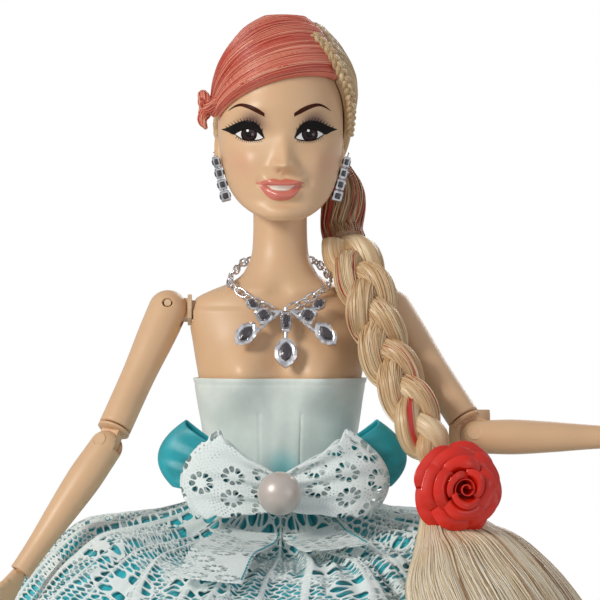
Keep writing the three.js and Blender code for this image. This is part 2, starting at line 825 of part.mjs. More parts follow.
function addArm(arm) {
  const shoulder = childGroup(doll, arm.side * shoulderSeat, 0, shoulderHeight);
  shoulder.scale.x = arm.side;
  const swingGroup = childGroup(shoulder, 0, 0, 0);
  swingGroup.rotation.x = -radians(arm.swing);
  addPiece(swingGroup, `shoulder_yoke_${arm.name}`, swivel(shoulderSize), hiddenPlastic);
  const spreadGroup = childGroup(swingGroup, shoulderSize.reach, 0, 0);
  spreadGroup.rotation.y = -radians(arm.spread);
  const cheek = armTopRadius * 2 - seatGap;
  addPiece(spreadGroup, `shoulder_pin_${arm.name}`, rod(shoulderPinRadius, cheek, 'y', 0, 0, 0), silver);

  const armEnd = upperArmLength - elbowSize.reach - seatGap;
  const armRows = upperArmShares.map(([share, wide, deep]) => [
    -share * armEnd,
    wide * upperArmRadius,
    deep * upperArmRadius,
    0,
  ]);
  const slot = eyeSlot(armTopRadius, shoulderEyeRadius, shoulderEyeThickness, -1);
  const pinHole = rod(shoulderPinRadius + runningGap, armTopRadius * 4, 'y', 0, 0, 0);
  const socket = drilled(elbowPegRadius, elbowPegLength + seatGap, -armEnd);
  const upperArm = cut(limb(armTopRadius, armRows), slot, pinHole, socket);
  addPiece(spreadGroup, `upper_arm_${arm.name}`, upperArm, skin);

  const twistGroup = childGroup(spreadGroup, 0, 0, -armEnd - seatGap);
  twistGroup.rotation.z = radians(arm.twist);
  const knuckle = addPiece(twistGroup, `elbow_knuckle_${arm.name}`, swivel(elbowSize), skin);
  knuckle.rotation.y = Math.PI / 2;
  const bendGroup = childGroup(twistGroup, 0, 0, -elbowSize.reach);
  bendGroup.rotation.y = -radians(arm.bend);
  const elbowPin = rod(elbowPinRadius, elbowRadius * 2 - seatGap, 'y', 0, 0, 0);
  addPiece(bendGroup, `elbow_pin_${arm.name}`, elbowPin, skin);

  const forearmEnd = forearmLength - seatGap;
  const forearmRows = forearmShares.map(([share, wide, deep]) => [
    -share * forearmEnd,
    share > 0.9 ? wristRadius : wide * elbowRadius,
    share > 0.9 ? wristRadius : deep * elbowRadius,
    0,
  ]);
  const elbowSlot = eyeSlot(elbowRadius, elbowEyeRadius, elbowEyeThickness, 1);
  const elbowHole = rod(elbowPinRadius + runningGap, elbowRadius * 4, 'y', 0, 0, 0);
  const wristSocket = drilled(wristPegRadius, wristPegLength + seatGap, -forearmEnd);
  const forearm = cut(limb(elbowRadius, forearmRows), elbowSlot, elbowHole, wristSocket);
  addPiece(bendGroup, `forearm_${arm.name}`, forearm, skin);

  const wristGroup = childGroup(bendGroup, 0, 0, -forearmLength);
  wristGroup.rotation.z = radians(arm.wrist);
  addPiece(wristGroup, `hand_${arm.name}`, handSolid(), skin);
}

// Hand: peg, palm, four fingers a little apart and bent, and a thumb towards the front
const palmShares = [
  [0, 0.66, 0.78],
  [0.25, 0.8, 0.9],
  [0.6, 1, 1],
  [0.9, 0.98, 0.86],
  [1, 0.86, 0.6],
];
const fingerShares = [
  { place: -0.37, length: 0.92, fan: -7 },
  { place: -0.12, length: 1, fan: -2 },
  { place: 0.13, length: 0.95, fan: 3 },
  { place: 0.36, length: 0.76, fan: 9 },
];

function finger(length, radius, bend) {
  const rings = [0, 0.5, 0.9, 1].map((share) => {
    const size = share === 1 ? 0.45 : mix(1, 0.78, share);
    const ring = [];
    for (let i = 0; i < fingerSides; i++) {
      const angle = (i / fingerSides) * Math.PI * 2;
      const x = radius * size * Math.cos(angle) - bend * share * share;
      ring.push(new THREE.Vector3(x, radius * size * Math.sin(angle), -share * length));
    }
    return ring;
  });
  return new LoftGeometry(wound(rings), capped);
}

function handSolid() {
  const palmRings = palmShares.map(([share, wide, deep]) => {
    const ring = [];
    for (let i = 0; i < limbSides; i++) {
      const angle = (i / limbSides) * Math.PI * 2;
      const x = (palmThickness / 2) * deep * Math.cos(angle);
      ring.push(new THREE.Vector3(x, (palmWidth / 2) * wide * Math.sin(angle), -share * palmLength));
    }
    return ring;
  });
  const rooted = palmLength * 0.2;
  const pegLong = wristPegLength + rooted;
  const peg = rod(wristPegRadius, pegLong, 'z', 0, 0, pegLong / 2 - rooted);
  const pieces = [peg];
  for (const { place, length, fan } of fingerShares) {
    const geometry = finger(length * fingerLength + palmLength * 0.1, fingerRadius, palmThickness * 0.55);
    geometry.rotateX(radians(fan));
    const root = place * palmWidth;
    pieces.push(solid(moved(geometry, 0, root, -palmLength * 0.9)));
  }
  const thumb = finger(thumbLength, fingerRadius * 1.15, palmThickness * 0.3);
  thumb.rotateX(radians(-32));
  pieces.push(solid(moved(thumb, -palmThickness * 0.15, -palmWidth * 0.3, -palmLength * 0.35)));
  return join(loft(palmRings), ...pieces);
}

// Legs: swivel in the hip, eye and fork at the knee, the foot raised for a heeled shoe
const thighShares = [
  [0, 1, 1],
  [0.2, 0.95, 1.02],
  [0.5, 0.83, 0.91],
  [0.85, 0.71, 0.74],
  [1, 0.66, 0.68],
];
const shinShares = [
  [0, 1, 1, 0],
  [0.2, 1.02, 1.1, -0.1],
  [0.34, 1.03, 1.16, -0.2],
  [0.58, 0.83, 0.9, -0.11],
  [0.85, 0.58, 0.62, 0],
  [1.05, 0.6, 0.66, 0.02],
];
const footShares = [
  [0, 0.36, 0.66, 0.35],
  [0.12, 0.66, 0.88, 0.28],
  [0.38, 0.73, 0.8, 0.21],
  [0.58, 0.88, 0.5, 0.08],
  [0.72, 1, 0.36, 0.02],
  [0.9, 0.82, 0.25, 0],
  [1, 0.26, 0.12, 0.03],
];

function footRings(grow, cover) {
  return footShares.map(([share, wide, top, under]) => {
    const y = footLength * (0.24 - share) + grow * (1 - 2 * share);
    const low = soleThickness + seatGap + under * ankleHeight - grow;
    const high = soleThickness + seatGap + mix(under, top, cover(share)) * ankleHeight + grow;
    const ring = [];
    for (let i = 0; i < legSides; i++) {
      const angle = (i / legSides) * Math.PI * 2;
      const x = (wide * footHalfWidth + grow) * Math.cos(angle);
      ring.push(new THREE.Vector3(x, y, mix(low, high, (1 + Math.sin(angle)) / 2)));
    }
    return ring;
  });
}

function addLeg(side, name) {
  const hip = childGroup(doll, side * hipSeat, hipSetback, hipHeight);
  hip.scale.x = side;
  addPiece(hip, `hip_yoke_${name}`, swivel(hipSize), hiddenPlastic);
  const thighGroup = childGroup(hip, hipSize.reach, 0, 0);
  const pinLength = thighTopRadius * 1.7;
  addPiece(thighGroup, `hip_pin_${name}`, rod(hipPinRadius, pinLength, 'y', 0, 0, 0), silver);

  const thighEnd = thighLength - kneeRadius - seatGap;
  const thighRows = thighShares.map(([share, wide, deep]) => [
    -share * thighEnd,
    wide * thighTopRadius,
    deep * thighTopRadius,
    0,
  ]);
  const slot = eyeSlot(thighTopRadius, hipEyeRadius, hipEyeThickness, -1);
  const pinHole = rod(hipPinRadius + runningGap, thighTopRadius * 4, 'y', 0, 0, 0);
  const eyeStart = -kneeRadius - seatGap * 3;
  const eye = eyePlate(eyeStart, 0, kneeEyeRadius, kneeEyeThickness, kneePinRadius + runningGap);
  eye.rotateY(Math.PI / 2);
  eye.rotateZ(Math.PI / 2);
  const kneeEye = solid(moved(eye, 0, 0, -thighLength));
  const thigh = join(cut(limb(thighTopRadius, thighRows, legSides), slot, pinHole), kneeEye);
  addPiece(thighGroup, `thigh_${name}`, thigh, skin);

  const kneeGroup = childGroup(thighGroup, 0, 0, -thighLength);
  const turned = childGroup(kneeGroup, 0, 0, 0);
  turned.rotation.z = Math.PI / 2;
  const kneePin = rod(kneePinRadius, kneeRadius * 2 - seatGap, 'y', 0, 0, 0);
  addPiece(turned, `knee_pin_${name}`, kneePin, silver);

  const shinRows = shinShares.map(([share, wide, deep, forward]) => [
    -share * shinLength,
    wide * kneeRadius,
    deep * kneeRadius,
    forward * kneeRadius,
  ]);
  const kneeSlot = block(
    kneeEyeThickness + 2 * runningGap,
    kneeRadius * 2 + cutOverrun,
    kneeRadius + kneeEyeRadius + 2 * runningGap,
    0,
    0,
    (kneeRadius - kneeEyeRadius) / 2 - runningGap,
  );
  const kneeHole = rod(kneePinRadius + runningGap, kneeRadius * 4, 'x', 0, 0, 0);
  const footPlace = -shinLength - ankleHeight;
  const lower = (rings) => rings.map((ring) => ring.map((point) => point.setZ(point.z + footPlace)));
  const foot = loft(lower(footRings(0, () => 1)));
  const shin = join(cut(limb(kneeRadius, shinRows, legSides), kneeSlot, kneeHole), foot);
  addPiece(kneeGroup, `shin_${name}`, shin, skin);

  const opening = (share) => (share > 0.66 ? 1.25 : mix(0.62, 0.5, share));
  const upper = loft(lower(footRings(shoeWall, opening)));
  const room = loft(lower(footRings(seatGap, () => 1)));
  const shinEnd = shinLength * shinShares[shinShares.length - 1][0] + seatGap;
  const legRoom = rod(kneeRadius * 0.8, ankleHeight, 'z', 0, 0, ankleHeight / 2 - shinEnd, pegSides);
  const heelProfile = [
    new THREE.Vector2(0, 0),
    new THREE.Vector2(heelTipRadius, 0),
    new THREE.Vector2(heelTipRadius * 1.1, ankleHeight * 0.2),
    new THREE.Vector2(heelTipRadius * 2.1, ankleHeight * 0.42),
    new THREE.Vector2(0, ankleHeight * 0.42),
  ];
  const heel = new THREE.LatheGeometry(heelProfile, legSides).rotateX(Math.PI / 2);
  heel.translate(0, footLength * 0.15, footPlace);
  const soleLong = footLength * 0.4;
  const soleHeight = footPlace + soleThickness / 2;
  const sole = block(footHalfWidth * 1.5, soleLong, soleThickness, 0, -footLength * 0.52, soleHeight);
  const shoe = cut(join(upper, solid(heel), sole), room, legRoom);
  addPiece(kneeGroup, `shoe_${name}`, shoe, shoePlastic);
}

// Bodice, sash and closing flap follow the torso; the skirt layers spread from the waist
function bandRing(height, offset) {
  const above = torsoRows.findIndex((row) => row[0] >= height);
  const [low, high] = [torsoRows[above - 1][0], torsoRows[above][0]];
  const share = (height - low) / (high - low);
  const upper = torsoRing(high, offset);
  return torsoRing(low, offset).map((point, i) => point.lerp(upper[i], share));
}

function torsoBand(low, high, offset, thickness) {
  const between = torsoRows.map((row) => row[0]).filter((height) => height > low && height < high);
  const heights = [low, ...between, high];
  const outer = heights.map((height) => bandRing(height, offset + thickness));
  return shell(outer, heights.map((height) => bandRing(height, offset)));
}

const bodiceLow = waistHeight + seatGap;
const sashOffset = 2 * clothGap + bodiceThickness;

function addBodice() {
  addPiece(doll, 'bodice', torsoBand(bodiceLow, bodiceTop, clothGap, bodiceThickness), mintSatin);
  const sash = torsoBand(bodiceLow, bodiceLow + sashHeight, sashOffset, clothThickness);
  addPiece(doll, 'waist_sash', sash, ribbonSatin);
  const flapLow = bodiceLow + sashHeight + seatGap;
  const flapTop = bodiceTop - seatGap;
  const flapBand = torsoBand(flapLow, flapTop, sashOffset, clothThickness);
  const back = block(flapWidth, cutterSize, cutterSize, 0, cutterSize / 2, waistHeight);
  addPiece(doll, 'back_flap', common(flapBand, back), mintSatin);
}

const gownShares = [
  [0, 0.13, 1],
  [0.06, 0.15, 0.995],
  [0.14, 0.212, 0.99],
  [0.22, 0.283, 0.985],
  [0.3, 0.354, 0.9765],
  [0.37, 0.407, 0.952],
  [0.43, 0.447, 0.929],
  [0.49, 0.487, 0.901],
  [0.56, 0.54, 0.855],
  [0.66, 0.625, 0.755],
  [0.77, 0.725, 0.6],
  [0.88, 0.84, 0.38],
  [1, 1.014, -0.04],
];
const gownAt = smoothTable(gownShares.map(([place, radius, height]) => [
  place,
  radius * hemRadius,
  height * waistHeight,
]));

const foldFullness = (place) => THREE.MathUtils.smoothstep(place, 0.1, 0.75);

// The skirt dips below the bow, in front of the waist
function frontDip(place, angle) {
  const rise = THREE.MathUtils.smoothstep(place, 0, 0.1);
  const fade = 1 - THREE.MathUtils.smoothstep(place, 0.25, 0.7);
  return gownFrontDrop * rise * fade * Math.max(0, -Math.sin(angle)) ** 2;
}

function gownPoint(place, angle, offset, folds = 1) {
  const profile = (at) => {
    const [radius, height] = gownAt(THREE.MathUtils.clamp(at, 0, 1));
    return new THREE.Vector2(radius, height - frontDip(at, angle));
  };
  const nearby = 0.01;
  const along = profile(place + nearby).sub(profile(place - nearby)).normalize();
  const stand = offset + folds * foldDepth * foldFullness(place) * Math.cos(foldCount * angle);
  const here = profile(place).add(new THREE.Vector2(-along.y, along.x).multiplyScalar(stand));
  const waist = torsoPoint(angle, waistHeight, offset + 3 * layerPitch + clothGap);
  const spread = THREE.MathUtils.smoothstep(place, 0, 0.16);
  const x = mix(waist.x, here.x * Math.cos(angle), spread);
  const y = mix(waist.y, here.x * Math.sin(angle), spread);
  return new THREE.Vector3(x, y, mix(waistHeight, here.y, spread));
}

// A place that lies on the crests of the folds
function overGown(place, angle, offset) {
  return gownPoint(place, angle, offset + foldDepth * foldFullness(place), 0);
}

function skirtRings(offset) {
  const rings = [];
  const sides = foldCount * stepsPerFold;
  for (let i = 0; i <= skirtRows; i++) {
    const place = (i / skirtRows) ** 1.15;
    const ring = [];
    for (let j = 0; j < sides; j++) ring.push(gownPoint(place, (j / sides) * Math.PI * 2, offset));
    rings.push(ring);
  }
  return rings;
}

// Each layer lies outside the one before and is cut off level at its hem
function skirt(layer, hemHeight) {
  const offset = (layer - 3) * layerPitch;
  const cloth = shell(skirtRings(offset + clothThickness), skirtRings(offset));
  return cut(cloth, below(new THREE.Vector3(0, 0, hemHeight), 0, 0));
}

function addGown() {
  addPiece(doll, 'skirt_petticoat', skirt(0, 0), stiffNet);
  addPiece(doll, 'skirt_satin', skirt(1, hemRise), turquoiseSatin);
  addPiece(doll, 'skirt_lace', skirt(2, 2 * hemRise), whiteLace);
}

// Sections carried along a curve; across is the direction of the section's width
function sweep(curve, steps, sides, sectionAt, acrossHint) {
  const rings = [];
  for (let i = 0; i <= steps; i++) {
    const share = i / steps;
    const along = curve.getTangentAt(share);
    const depth = along.clone().cross(acrossHint).normalize();
    const across = depth.clone().cross(along).normalize();
    const ring = [];
    for (let j = 0; j < sides; j++) {
      const section = sectionAt(share, (j / sides) * Math.PI * 2);
      const point = curve.getPointAt(share).addScaledVector(across, section.x);
      ring.push(point.addScaledVector(depth, section.y));
    }
    rings.push(ring);
  }
  return rings;
}

function oval(wide, deep, angle) {
  return new THREE.Vector2(wide * Math.cos(angle), deep * Math.sin(angle));
}

function curveThrough(points) {
  return new THREE.CatmullRomCurve3(points, false, 'centripetal');
}

// Side knot, thin plait along the parting and the hair gathered under the ear
const plaitShares = [
  [0.97, 34],
  [0.89, 42],
  [0.8, 50],
  [0.7, 60],
  [0.58, 78],
  [0.46, 98],
];

function addHairPieces() {
  const knotHalf = knotWidth / 2;
  const knotHeight = chinHeight + headHeight * 0.6;
  const side = hairPoint(knotHeight, knotHalf + seatGap, -Math.PI / 2);
  const wide = knotWidth / knotLength;
  const lock = ball(knotLength / 2, side.x, side.y, side.z, wide * 0.9, wide * 1.1, 1, 10, 6);
  const end = side.clone().addScaledVector(new THREE.Vector3(-0.2, -0.7, -1), knotHalf);
  const curl = ball(knotHalf, end.x, end.y, end.z, 1, 0.8, 1.2, 8, 6);
  addPiece(headGroup, 'side_knot', join(lock, curl), pinkHair);

  const stand = sidePlaitRadius + seatGap * 2;
  const route = curveThrough(plaitShares.map(([share, angle]) =>
    hairPoint(chinHeight + share * headHeight, stand, radians(angle))));
  const ribs = 11;
  const ribbed = (share, angle) => {
    const size = sidePlaitRadius * (0.84 + 0.16 * Math.abs(Math.sin(share * ribs * Math.PI)));
    return oval(size, size * 0.8, angle);
  };
  const plait = sweep(route, ribs * 2, 5, ribbed, braidAcross);
  addPiece(headGroup, 'side_plait', loft(plait), blondHair);

  const top = new THREE.Vector3(headHalfWidth * 0.84, headDepth * 0.5, chinHeight + headHeight * 0.24);
  const middle = new THREE.Vector3(headHalfWidth * 1.03, headDepth * 0.32, chinHeight + headHeight * 0.13);
  const braidDown = braidCurve.getTangentAt(0);
  const foot = headGroup.worldToLocal(braidStart.clone().addScaledVector(braidDown, -seatGap));
  const above = headGroup.worldToLocal(braidStart.clone().addScaledVector(braidDown, -gatherRadius));
  const gathered = (share, angle) => {
    const size = gatherRadius * mix(1, 0.86, share);
    return oval(size, size * 0.85, angle);
  };
  const fall = curveThrough([top, middle, above, foot]);
  const gather = loft(sweep(fall, 6, 10, gathered, braidAcross));
  const room = [hairShell(hairThickness + seatGap), headCore(seatGap, hairSides, false)];
  addPiece(headGroup, 'hair_gather', cut(gather, ...room), blondHair);
}

// Braid: hangs from the gathered hair over the left shoulder to the waist
const braidShares = [
  [0.6, 0.14, 0.85],
  [0.665, -0.26, 0.78],
  [0.785, -0.84, 0.67],
  [0.896, -1.06, 0.51],
  [1.082, -1.46, 0.358],
  [1.25, -1.86, 0.208],
  [1.353, -1.96, 0.119],
];
// The braid starts at the neck and comes to lie on the gown, so its places follow both
const gownReach = 0.2;
const gownLean = 0.095;
function braidPlace([across, forward, height]) {
  const lying = THREE.MathUtils.smoothstep(across, 0.6, 1.3);
  return new THREE.Vector3(
    across * mix(shoulderX, hemRadius * gownReach, lying),
    forward * mix(hipDepth, hemRadius * gownLean, lying),
    mix(waistHeight, neckTop, height),
  );
}
const braidCurve = curveThrough(braidShares.map(braidPlace));
const braidStart = braidCurve.getPointAt(0);
const braidEnd = braidCurve.getPointAt(1);
const braidAcross = new THREE.Vector3(1, 0, 0);

function braidTaper(share) {
  return mix(1, 0.86, share) * (1 - 0.32 * THREE.MathUtils.smoothstep(share, 0.9, 1));
}

// The outline drawn round the three strands, which cross one another in turn
function braidSection(share, angle) {
  const taper = braidTaper(share);
  const way = oval(1, 1, angle);
  const round = 1 / Math.hypot(way.x / strandHalfWidth, way.y / strandHalfDepth);
  const reaches = [0, 1 / 3, 2 / 3].map((phase) => {
    const turn = (share * braidTurns + phase) * Math.PI * 2;
    const middle = new THREE.Vector2(braidHalfWidth * Math.sin(turn), braidHalfDepth * Math.sin(2 * turn));
    return middle.dot(way) + round;
  });
  return way.multiplyScalar(taper * Math.max(...reaches));
}

function addBraid() {
  const form = sweep(braidCurve, braidSteps, braidSides, braidSection, braidAcross);
  addPiece(doll, 'braid', loft(form), blondHair);

  const endScale = braidTaper(1);
  const bandWide = (braidHalfWidth + strandHalfWidth) * endScale + seatGap;
  const along = braidCurve.getTangentAt(1);
  const bandPlace = braidEnd.clone().addScaledVector(along, bandThickness / 2 + seatGap);
  const bandProfile = (size) => [
    new THREE.Vector2(0, -bandThickness / 2),
    new THREE.Vector2(size, -bandThickness / 2),
    new THREE.Vector2(size, bandThickness / 2),
    new THREE.Vector2(0, bandThickness / 2),
  ];
  const band = new THREE.LatheGeometry(bandProfile(bandWide * 0.62), 12);
  const upright = new THREE.Vector3(0, 1, 0);
  band.applyQuaternion(new THREE.Quaternion().setFromUnitVectors(upright, along));
  addPiece(doll, 'braid_band', solid(moved(band, bandPlace.x, bandPlace.y, bandPlace.z)), elastic);
}

// Loose tail that fans out over the skirt: place on the gown, half angle and thickness
const tailShares = [
  [0.3, 11, 0.42],
  [0.37, 19, 1],
  [0.44, 24, 0.96],
  [0.52, 26, 0.9],
  [0.6, 25, 0.7],
  [0.66, 21, 0.35],
];
const tailAngle = -39;

function addTail() {
  const steps = 7;
  const along = braidCurve.getTangentAt(1);
  const bandWide = (braidHalfWidth + strandHalfWidth) * braidTaper(1) * 0.55;
  const start = braidEnd.clone().addScaledVector(along, bandThickness + seatGap * 2);
  const outward = new THREE.Vector3(Math.cos(radians(tailAngle)), Math.sin(radians(tailAngle)), 0);
  const depth = outward.addScaledVector(along, -outward.dot(along)).normalize();
  const across = along.clone().cross(depth);
  const first = [];
  for (let j = 0; j < steps * 2; j++) {
    const angle = ((j + 0.5) / (steps * 2)) * Math.PI * 2;
    const point = start.clone().addScaledVector(across, bandWide * Math.cos(angle));
    first.push(point.addScaledVector(depth, -bandWide * Math.sin(angle)));
  }
  const rings = [first];
  for (const [place, half, thick] of tailShares) {
    const ring = [];
    for (let j = 0; j < steps; j++) {
      const share = (j / (steps - 1)) * 2 - 1;
      ring.push(overGown(place, radians(tailAngle + share * half), clothGap * 1.5));
    }
    for (let j = steps - 1; j >= 0; j--) {
      const share = (j / (steps - 1)) * 2 - 1;
      const rise = tailThickness * thick * (0.15 + 0.85 * Math.sqrt(1 - share * share * 0.96));
      ring.push(overGown(place, radians(tailAngle + share * half), clothGap * 1.5 + rise));
    }
    rings.push(ring);
  }
  addPiece(doll, 'braid_tail', loft(rings), blondHair);
}

// Rose: cupped petals round a bud, each a curved sheet, on one backing
const petalShares = [
  { count: 1, radius: 0.2, tall: 1, spread: 130, open: 0 },
  { count: 3, radius: 0.46, tall: 0.9, spread: 76, open: 0.14 },
  { count: 4, radius: 0.7, tall: 0.66, spread: 62, open: 0.42 },
];
const roseShares = [1.525, -2.8, 0.0375];
const roseTurn = 18;

function petal(row, turn) {
  const across = 3;
  const rings = [0, 0.6, 1].map((rise) => {
    const ring = [];
    const half = radians(row.spread) * (rise < 1 ? mix(0.7, 1, rise) : 0.72);
    const radius = roseRadius * row.radius * mix(0.62, 1, rise) + roseRadius * row.open * rise * rise * 0.6;
    const height = roseDepth * row.tall * rise * (1 - 0.2 * row.open * rise);
    for (const [layer, way] of [[0, 1], [petalThickness, -1]]) {
      for (let j = 0; j < across; j++) {
        const share = ((way > 0 ? j : across - 1 - j) / (across - 1)) * 2 - 1;
        const angle = turn + share * half;
        const size = radius + layer;
        ring.push(new THREE.Vector3(size * Math.cos(angle), size * Math.sin(angle), height));
      }
    }
    return ring;
  });
  return loft(rings);
}

function addRose() {
  const petals = [];
  petalShares.forEach((row, rank) => {
    for (let i = 0; i < row.count; i++) petals.push(petal(row, (i / row.count) * Math.PI * 2 + rank * 0.7));
  });
  const backing = rod(roseRadius * 0.78, petalThickness * 1.4, 'z', 0, 0, 0, 14);
  const shape = join(backing, ...petals);
  const rose = addPiece(doll, 'rose', shape, roseResin);
  rose.position.copy(braidPlace(roseShares));
  rose.rotation.set(Math.PI / 2, 0, radians(roseTurn), 'ZYX');
}

// Bow: loops are bands carried out and back, drawn in at the knot
const waistFront = -torsoPoint(-Math.PI / 2, waistHeight, sashOffset + clothThickness).y + seatGap;
const ribbonY = -(waistFront + 3 * layerPitch + loopPuff + ribbonThickness);
const laceY = ribbonY - 2 * (loopPuff + ribbonThickness) - seatGap;

function loopSolid(side, length, height, rise) {
  const steps = 10;
  const rings = [];
  for (let i = 0; i <= steps; i++) {
    const share = i / steps;
    const out = Math.sin(share * Math.PI);
    const x = side * length * out;
    const belly = -loopPuff * Math.sin(share * Math.PI * 2) - ribbonThickness * Math.cos(share * Math.PI);
    const y = belly + loopSweep * (x / ribbonLoopLength) ** 2;
    const slope = new THREE.Vector2(
      side * length * Math.cos(share * Math.PI),
      ribbonThickness * out - 2 * loopPuff * Math.cos(share * Math.PI * 2),
    );
    const normal = new THREE.Vector2(-slope.y, slope.x).normalize().multiplyScalar(ribbonThickness / 2);
    const half = (height / 2) * mix(0.36, 1, out ** 0.8);
    const z = rise * out;
    rings.push([
      new THREE.Vector3(x + normal.x, y + normal.y, z - half),
      new THREE.Vector3(x + normal.x, y + normal.y, z + half),
      new THREE.Vector3(x - normal.x, y - normal.y, z + half),
      new THREE.Vector3(x - normal.x, y - normal.y, z - half),
    ]);
  }
  return loft(rings);
}

function addBowPiece(name, length, height, rise, y, material) {
  const deep = (loopPuff + ribbonThickness / 2) / knotHalfWidth;
  const knot = ball(knotHalfWidth, 0, 0, 0, 1, deep, 0.6, 10, 6);
  const loops = [-1, 1].map((side) => loopSolid(side, length, height, rise));
  const seat = name === 'ribbon_bow' ? [bowSeat()] : [];
  const piece = addPiece(doll, name, join(knot, ...loops, ...seat), material);
  piece.position.set(0, y, bowHeight);
}

// The bow's wrap reaches back over the gown's top edge and is stitched to the sash
function bowSeat() {
  const depth = -ribbonY - waistFront;
  const low = waistHeight + seatGap * 3 - bowHeight;
  const tall = sashHeight - seatGap * 3;
  return block(knotHalfWidth, depth, tall, 0, depth / 2, low + tall / 2);
}

// Tails hang from below the bow; each begins at a share of the gown's profile
const bowTails = { right: -106, left: -72, from: 0.12 };
const gownProfileLength = Math.hypot(hemRadius, waistHeight);

function gownStrip(direction, length) {
  const rings = [];
  const rows = 7;
  for (let i = 0; i <= rows; i++) {
    const place = bowTails.from + ((i / rows) * length) / gownProfileLength;
    const half = bowTailWidth / 2 / gownAt(place)[0];
    const lower = [-1, 0, 1].map((share) => [share, clothGap]);
    const upper = [1, 0, -1].map((share) => [share, clothGap + clothThickness]);
    rings.push([...lower, ...upper].map(([share, offset]) =>
      overGown(place, radians(direction) + share * half, offset)));
  }
  return loft(rings);
}

function addBow() {
  addBowPiece('ribbon_bow', ribbonLoopLength, ribbonLoopHeight, ribbonRise, ribbonY, ribbonSatin);
  addBowPiece('lace_bow', laceLoopLength, laceLoopHeight, laceRise, laceY, whiteLace);
  const pearlY = laceY - loopPuff - ribbonThickness / 2 - seatGap - pearlRadius;
  addPiece(doll, 'pearl', ball(pearlRadius, 0, pearlY, bowHeight, 1, 1, 1, 10, 7), pearlCoat);
  const right = gownStrip(bowTails.right, bowTailLength);
  addPiece(doll, 'bow_tail_right', right, whiteLace);
  const left = gownStrip(bowTails.left, shortTailLength);
  addPiece(doll, 'bow_tail_left', left, whiteLace);
}

// Necklace: links turned a quarter from one to the next, and a spray of set stones
function chainPlace(share) {
  const angle = Math.PI / 2 + share * Math.PI * 2;
  const front = (1 - Math.cos(share * Math.PI * 2)) / 2;
  const height = chainBackHeight - chainFrontDrop * front ** 2.4;
  const lower = torsoPoint(angle, height - linkWidth / 2, chainClearance);
  const point = torsoPoint(angle, height, chainClearance);
  return Math.hypot(lower.x, lower.y) > Math.hypot(point.x, point.y) ? lower.setZ(height) : point;
}

function addNecklace() {
  const gapShare = 0.022;
  const stops = 40;
  const places = [];
  for (let i = 0; i <= stops; i++) {
    places.push(chainPlace(mix(0.5 + gapShare, 1.5 - gapShare, i / stops)));
  }
  const curve = curveThrough(places);
  const count = Math.round(curve.getLength() / linkLength);
  const upright = new THREE.Vector3(0, 0, 1);
  const link = (share, angle) => {
    const turned = 0.5 + 0.5 * Math.cos(share * count * Math.PI * 2);
    const [flat, edge] = [linkWidth / 2, linkWire * 1.2];
    return oval(mix(edge, flat, turned), mix(flat, edge, turned), angle);
  };
  const chain = sweep(curve, count * 2, 4, link, upright);
  addPiece(doll, 'necklace_chain', loft(chain), silver);
}

const pendantShares = [
  { x: 0, z: -0.22, wide: 0.1, tall: 0.34, turn: 0 },
  { x: 0, z: -0.72, wide: 0.2, tall: 0.5, turn: 0, leaf: true },
  { x: 0.2, z: -0.12, wide: 0.17, tall: 0.24, turn: 62 },
  { x: 0.36, z: -0.42, wide: 0.17, tall: 0.46, turn: 40, leaf: true },
  { x: 0.3, z: 0.06, wide: 0.1, tall: 0.24, turn: -60, leaf: true },
];

function stone({ wide, tall, leaf }) {
  const [halfWide, halfTall] = [(wide * pendantWidth) / 2, (tall * pendantHeight) / 2];
  const outline = new THREE.Shape();
  const waist = leaf ? 0 : 0.7;
  outline.moveTo(-halfWide * waist, -halfTall);
  if (waist) outline.lineTo(halfWide * waist, -halfTall);
  outline.lineTo(halfWide, -halfTall * 0.3);
  outline.lineTo(halfWide, halfTall * 0.3);
  outline.lineTo(halfWide * waist, halfTall);
  if (waist) outline.lineTo(-halfWide * waist, halfTall);
  outline.lineTo(-halfWide, halfTall * 0.3);
  outline.lineTo(-halfWide, -halfTall * 0.3);
  outline.closePath();
  return new THREE.ExtrudeGeometry(outline, { depth: stoneThickness, bevelEnabled: false });
}

function addPendant() {
  const pieces = [];
  for (const shares of pendantShares) {
    for (const side of shares.x ? [-1, 1] : [1]) {
      const geometry = stone(shares);
      geometry.rotateZ(radians(side * shares.turn));
      pieces.push(solid(moved(geometry, side * shares.x * pendantWidth, shares.z * pendantHeight, 0)));
    }
  }
  const bar = rod(linkWire * 1.6, pendantWidth * 0.56, 'x', 0, -pendantHeight * 0.05, stoneThickness / 2, 4);
  const stem = rod(linkWire * 1.6, pendantHeight * 0.8, 'y', 0, -pendantHeight * 0.4, stoneThickness / 2, 4);
  for (const side of [-1, 1]) {
    const arm = new THREE.CylinderGeometry(linkWire * 1.6, linkWire * 1.6, pendantWidth * 0.42, 4);
    arm.rotateZ(radians(side * 48));
    pieces.push(solid(moved(arm, side * pendantWidth * 0.2, -pendantHeight * 0.26, stoneThickness / 2)));
  }
  const pendant = addPiece(doll, 'necklace_pendant', join(bar, stem, ...pieces), silver);
  const height = chainBackHeight - chainFrontDrop;
  const top = chestY(0, height) - chainClearance - linkWidth / 2 - seatGap;
  pendant.position.set(pendantShift, top, height);
  pendant.rotation.x = Math.PI / 2 - radians(pendantTilt);
}

// Ear drops: a hook through the lobe and four square stones in a row
function addEarDrop(side, name) {
  const stones = 4;
  const pitch = dropLength / (stones + 0.5);
  const pieces = [rod(linkWire, dropLength, 'z', 0, 0, -dropLength / 2, 4)];
  for (let i = 0; i < stones; i++) {
    const size = dropWidth * (0.85 + 0.12 * i);
    pieces.push(block(size * 0.6, size, pitch * 0.9, 0, 0, -pitch * (i + 1)));
  }
  const drop = addPiece(headGroup, `ear_drop_${name}`, join(...pieces), silver);
  const x = headHalfWidth + earThickness * 0.2 + dropWidth * 0.45 + seatGap;
  drop.position.set(side * x, -earDepth * 0.62, chinHeight + earAboveChin);
  drop.rotation.y = side * radians(14);
}

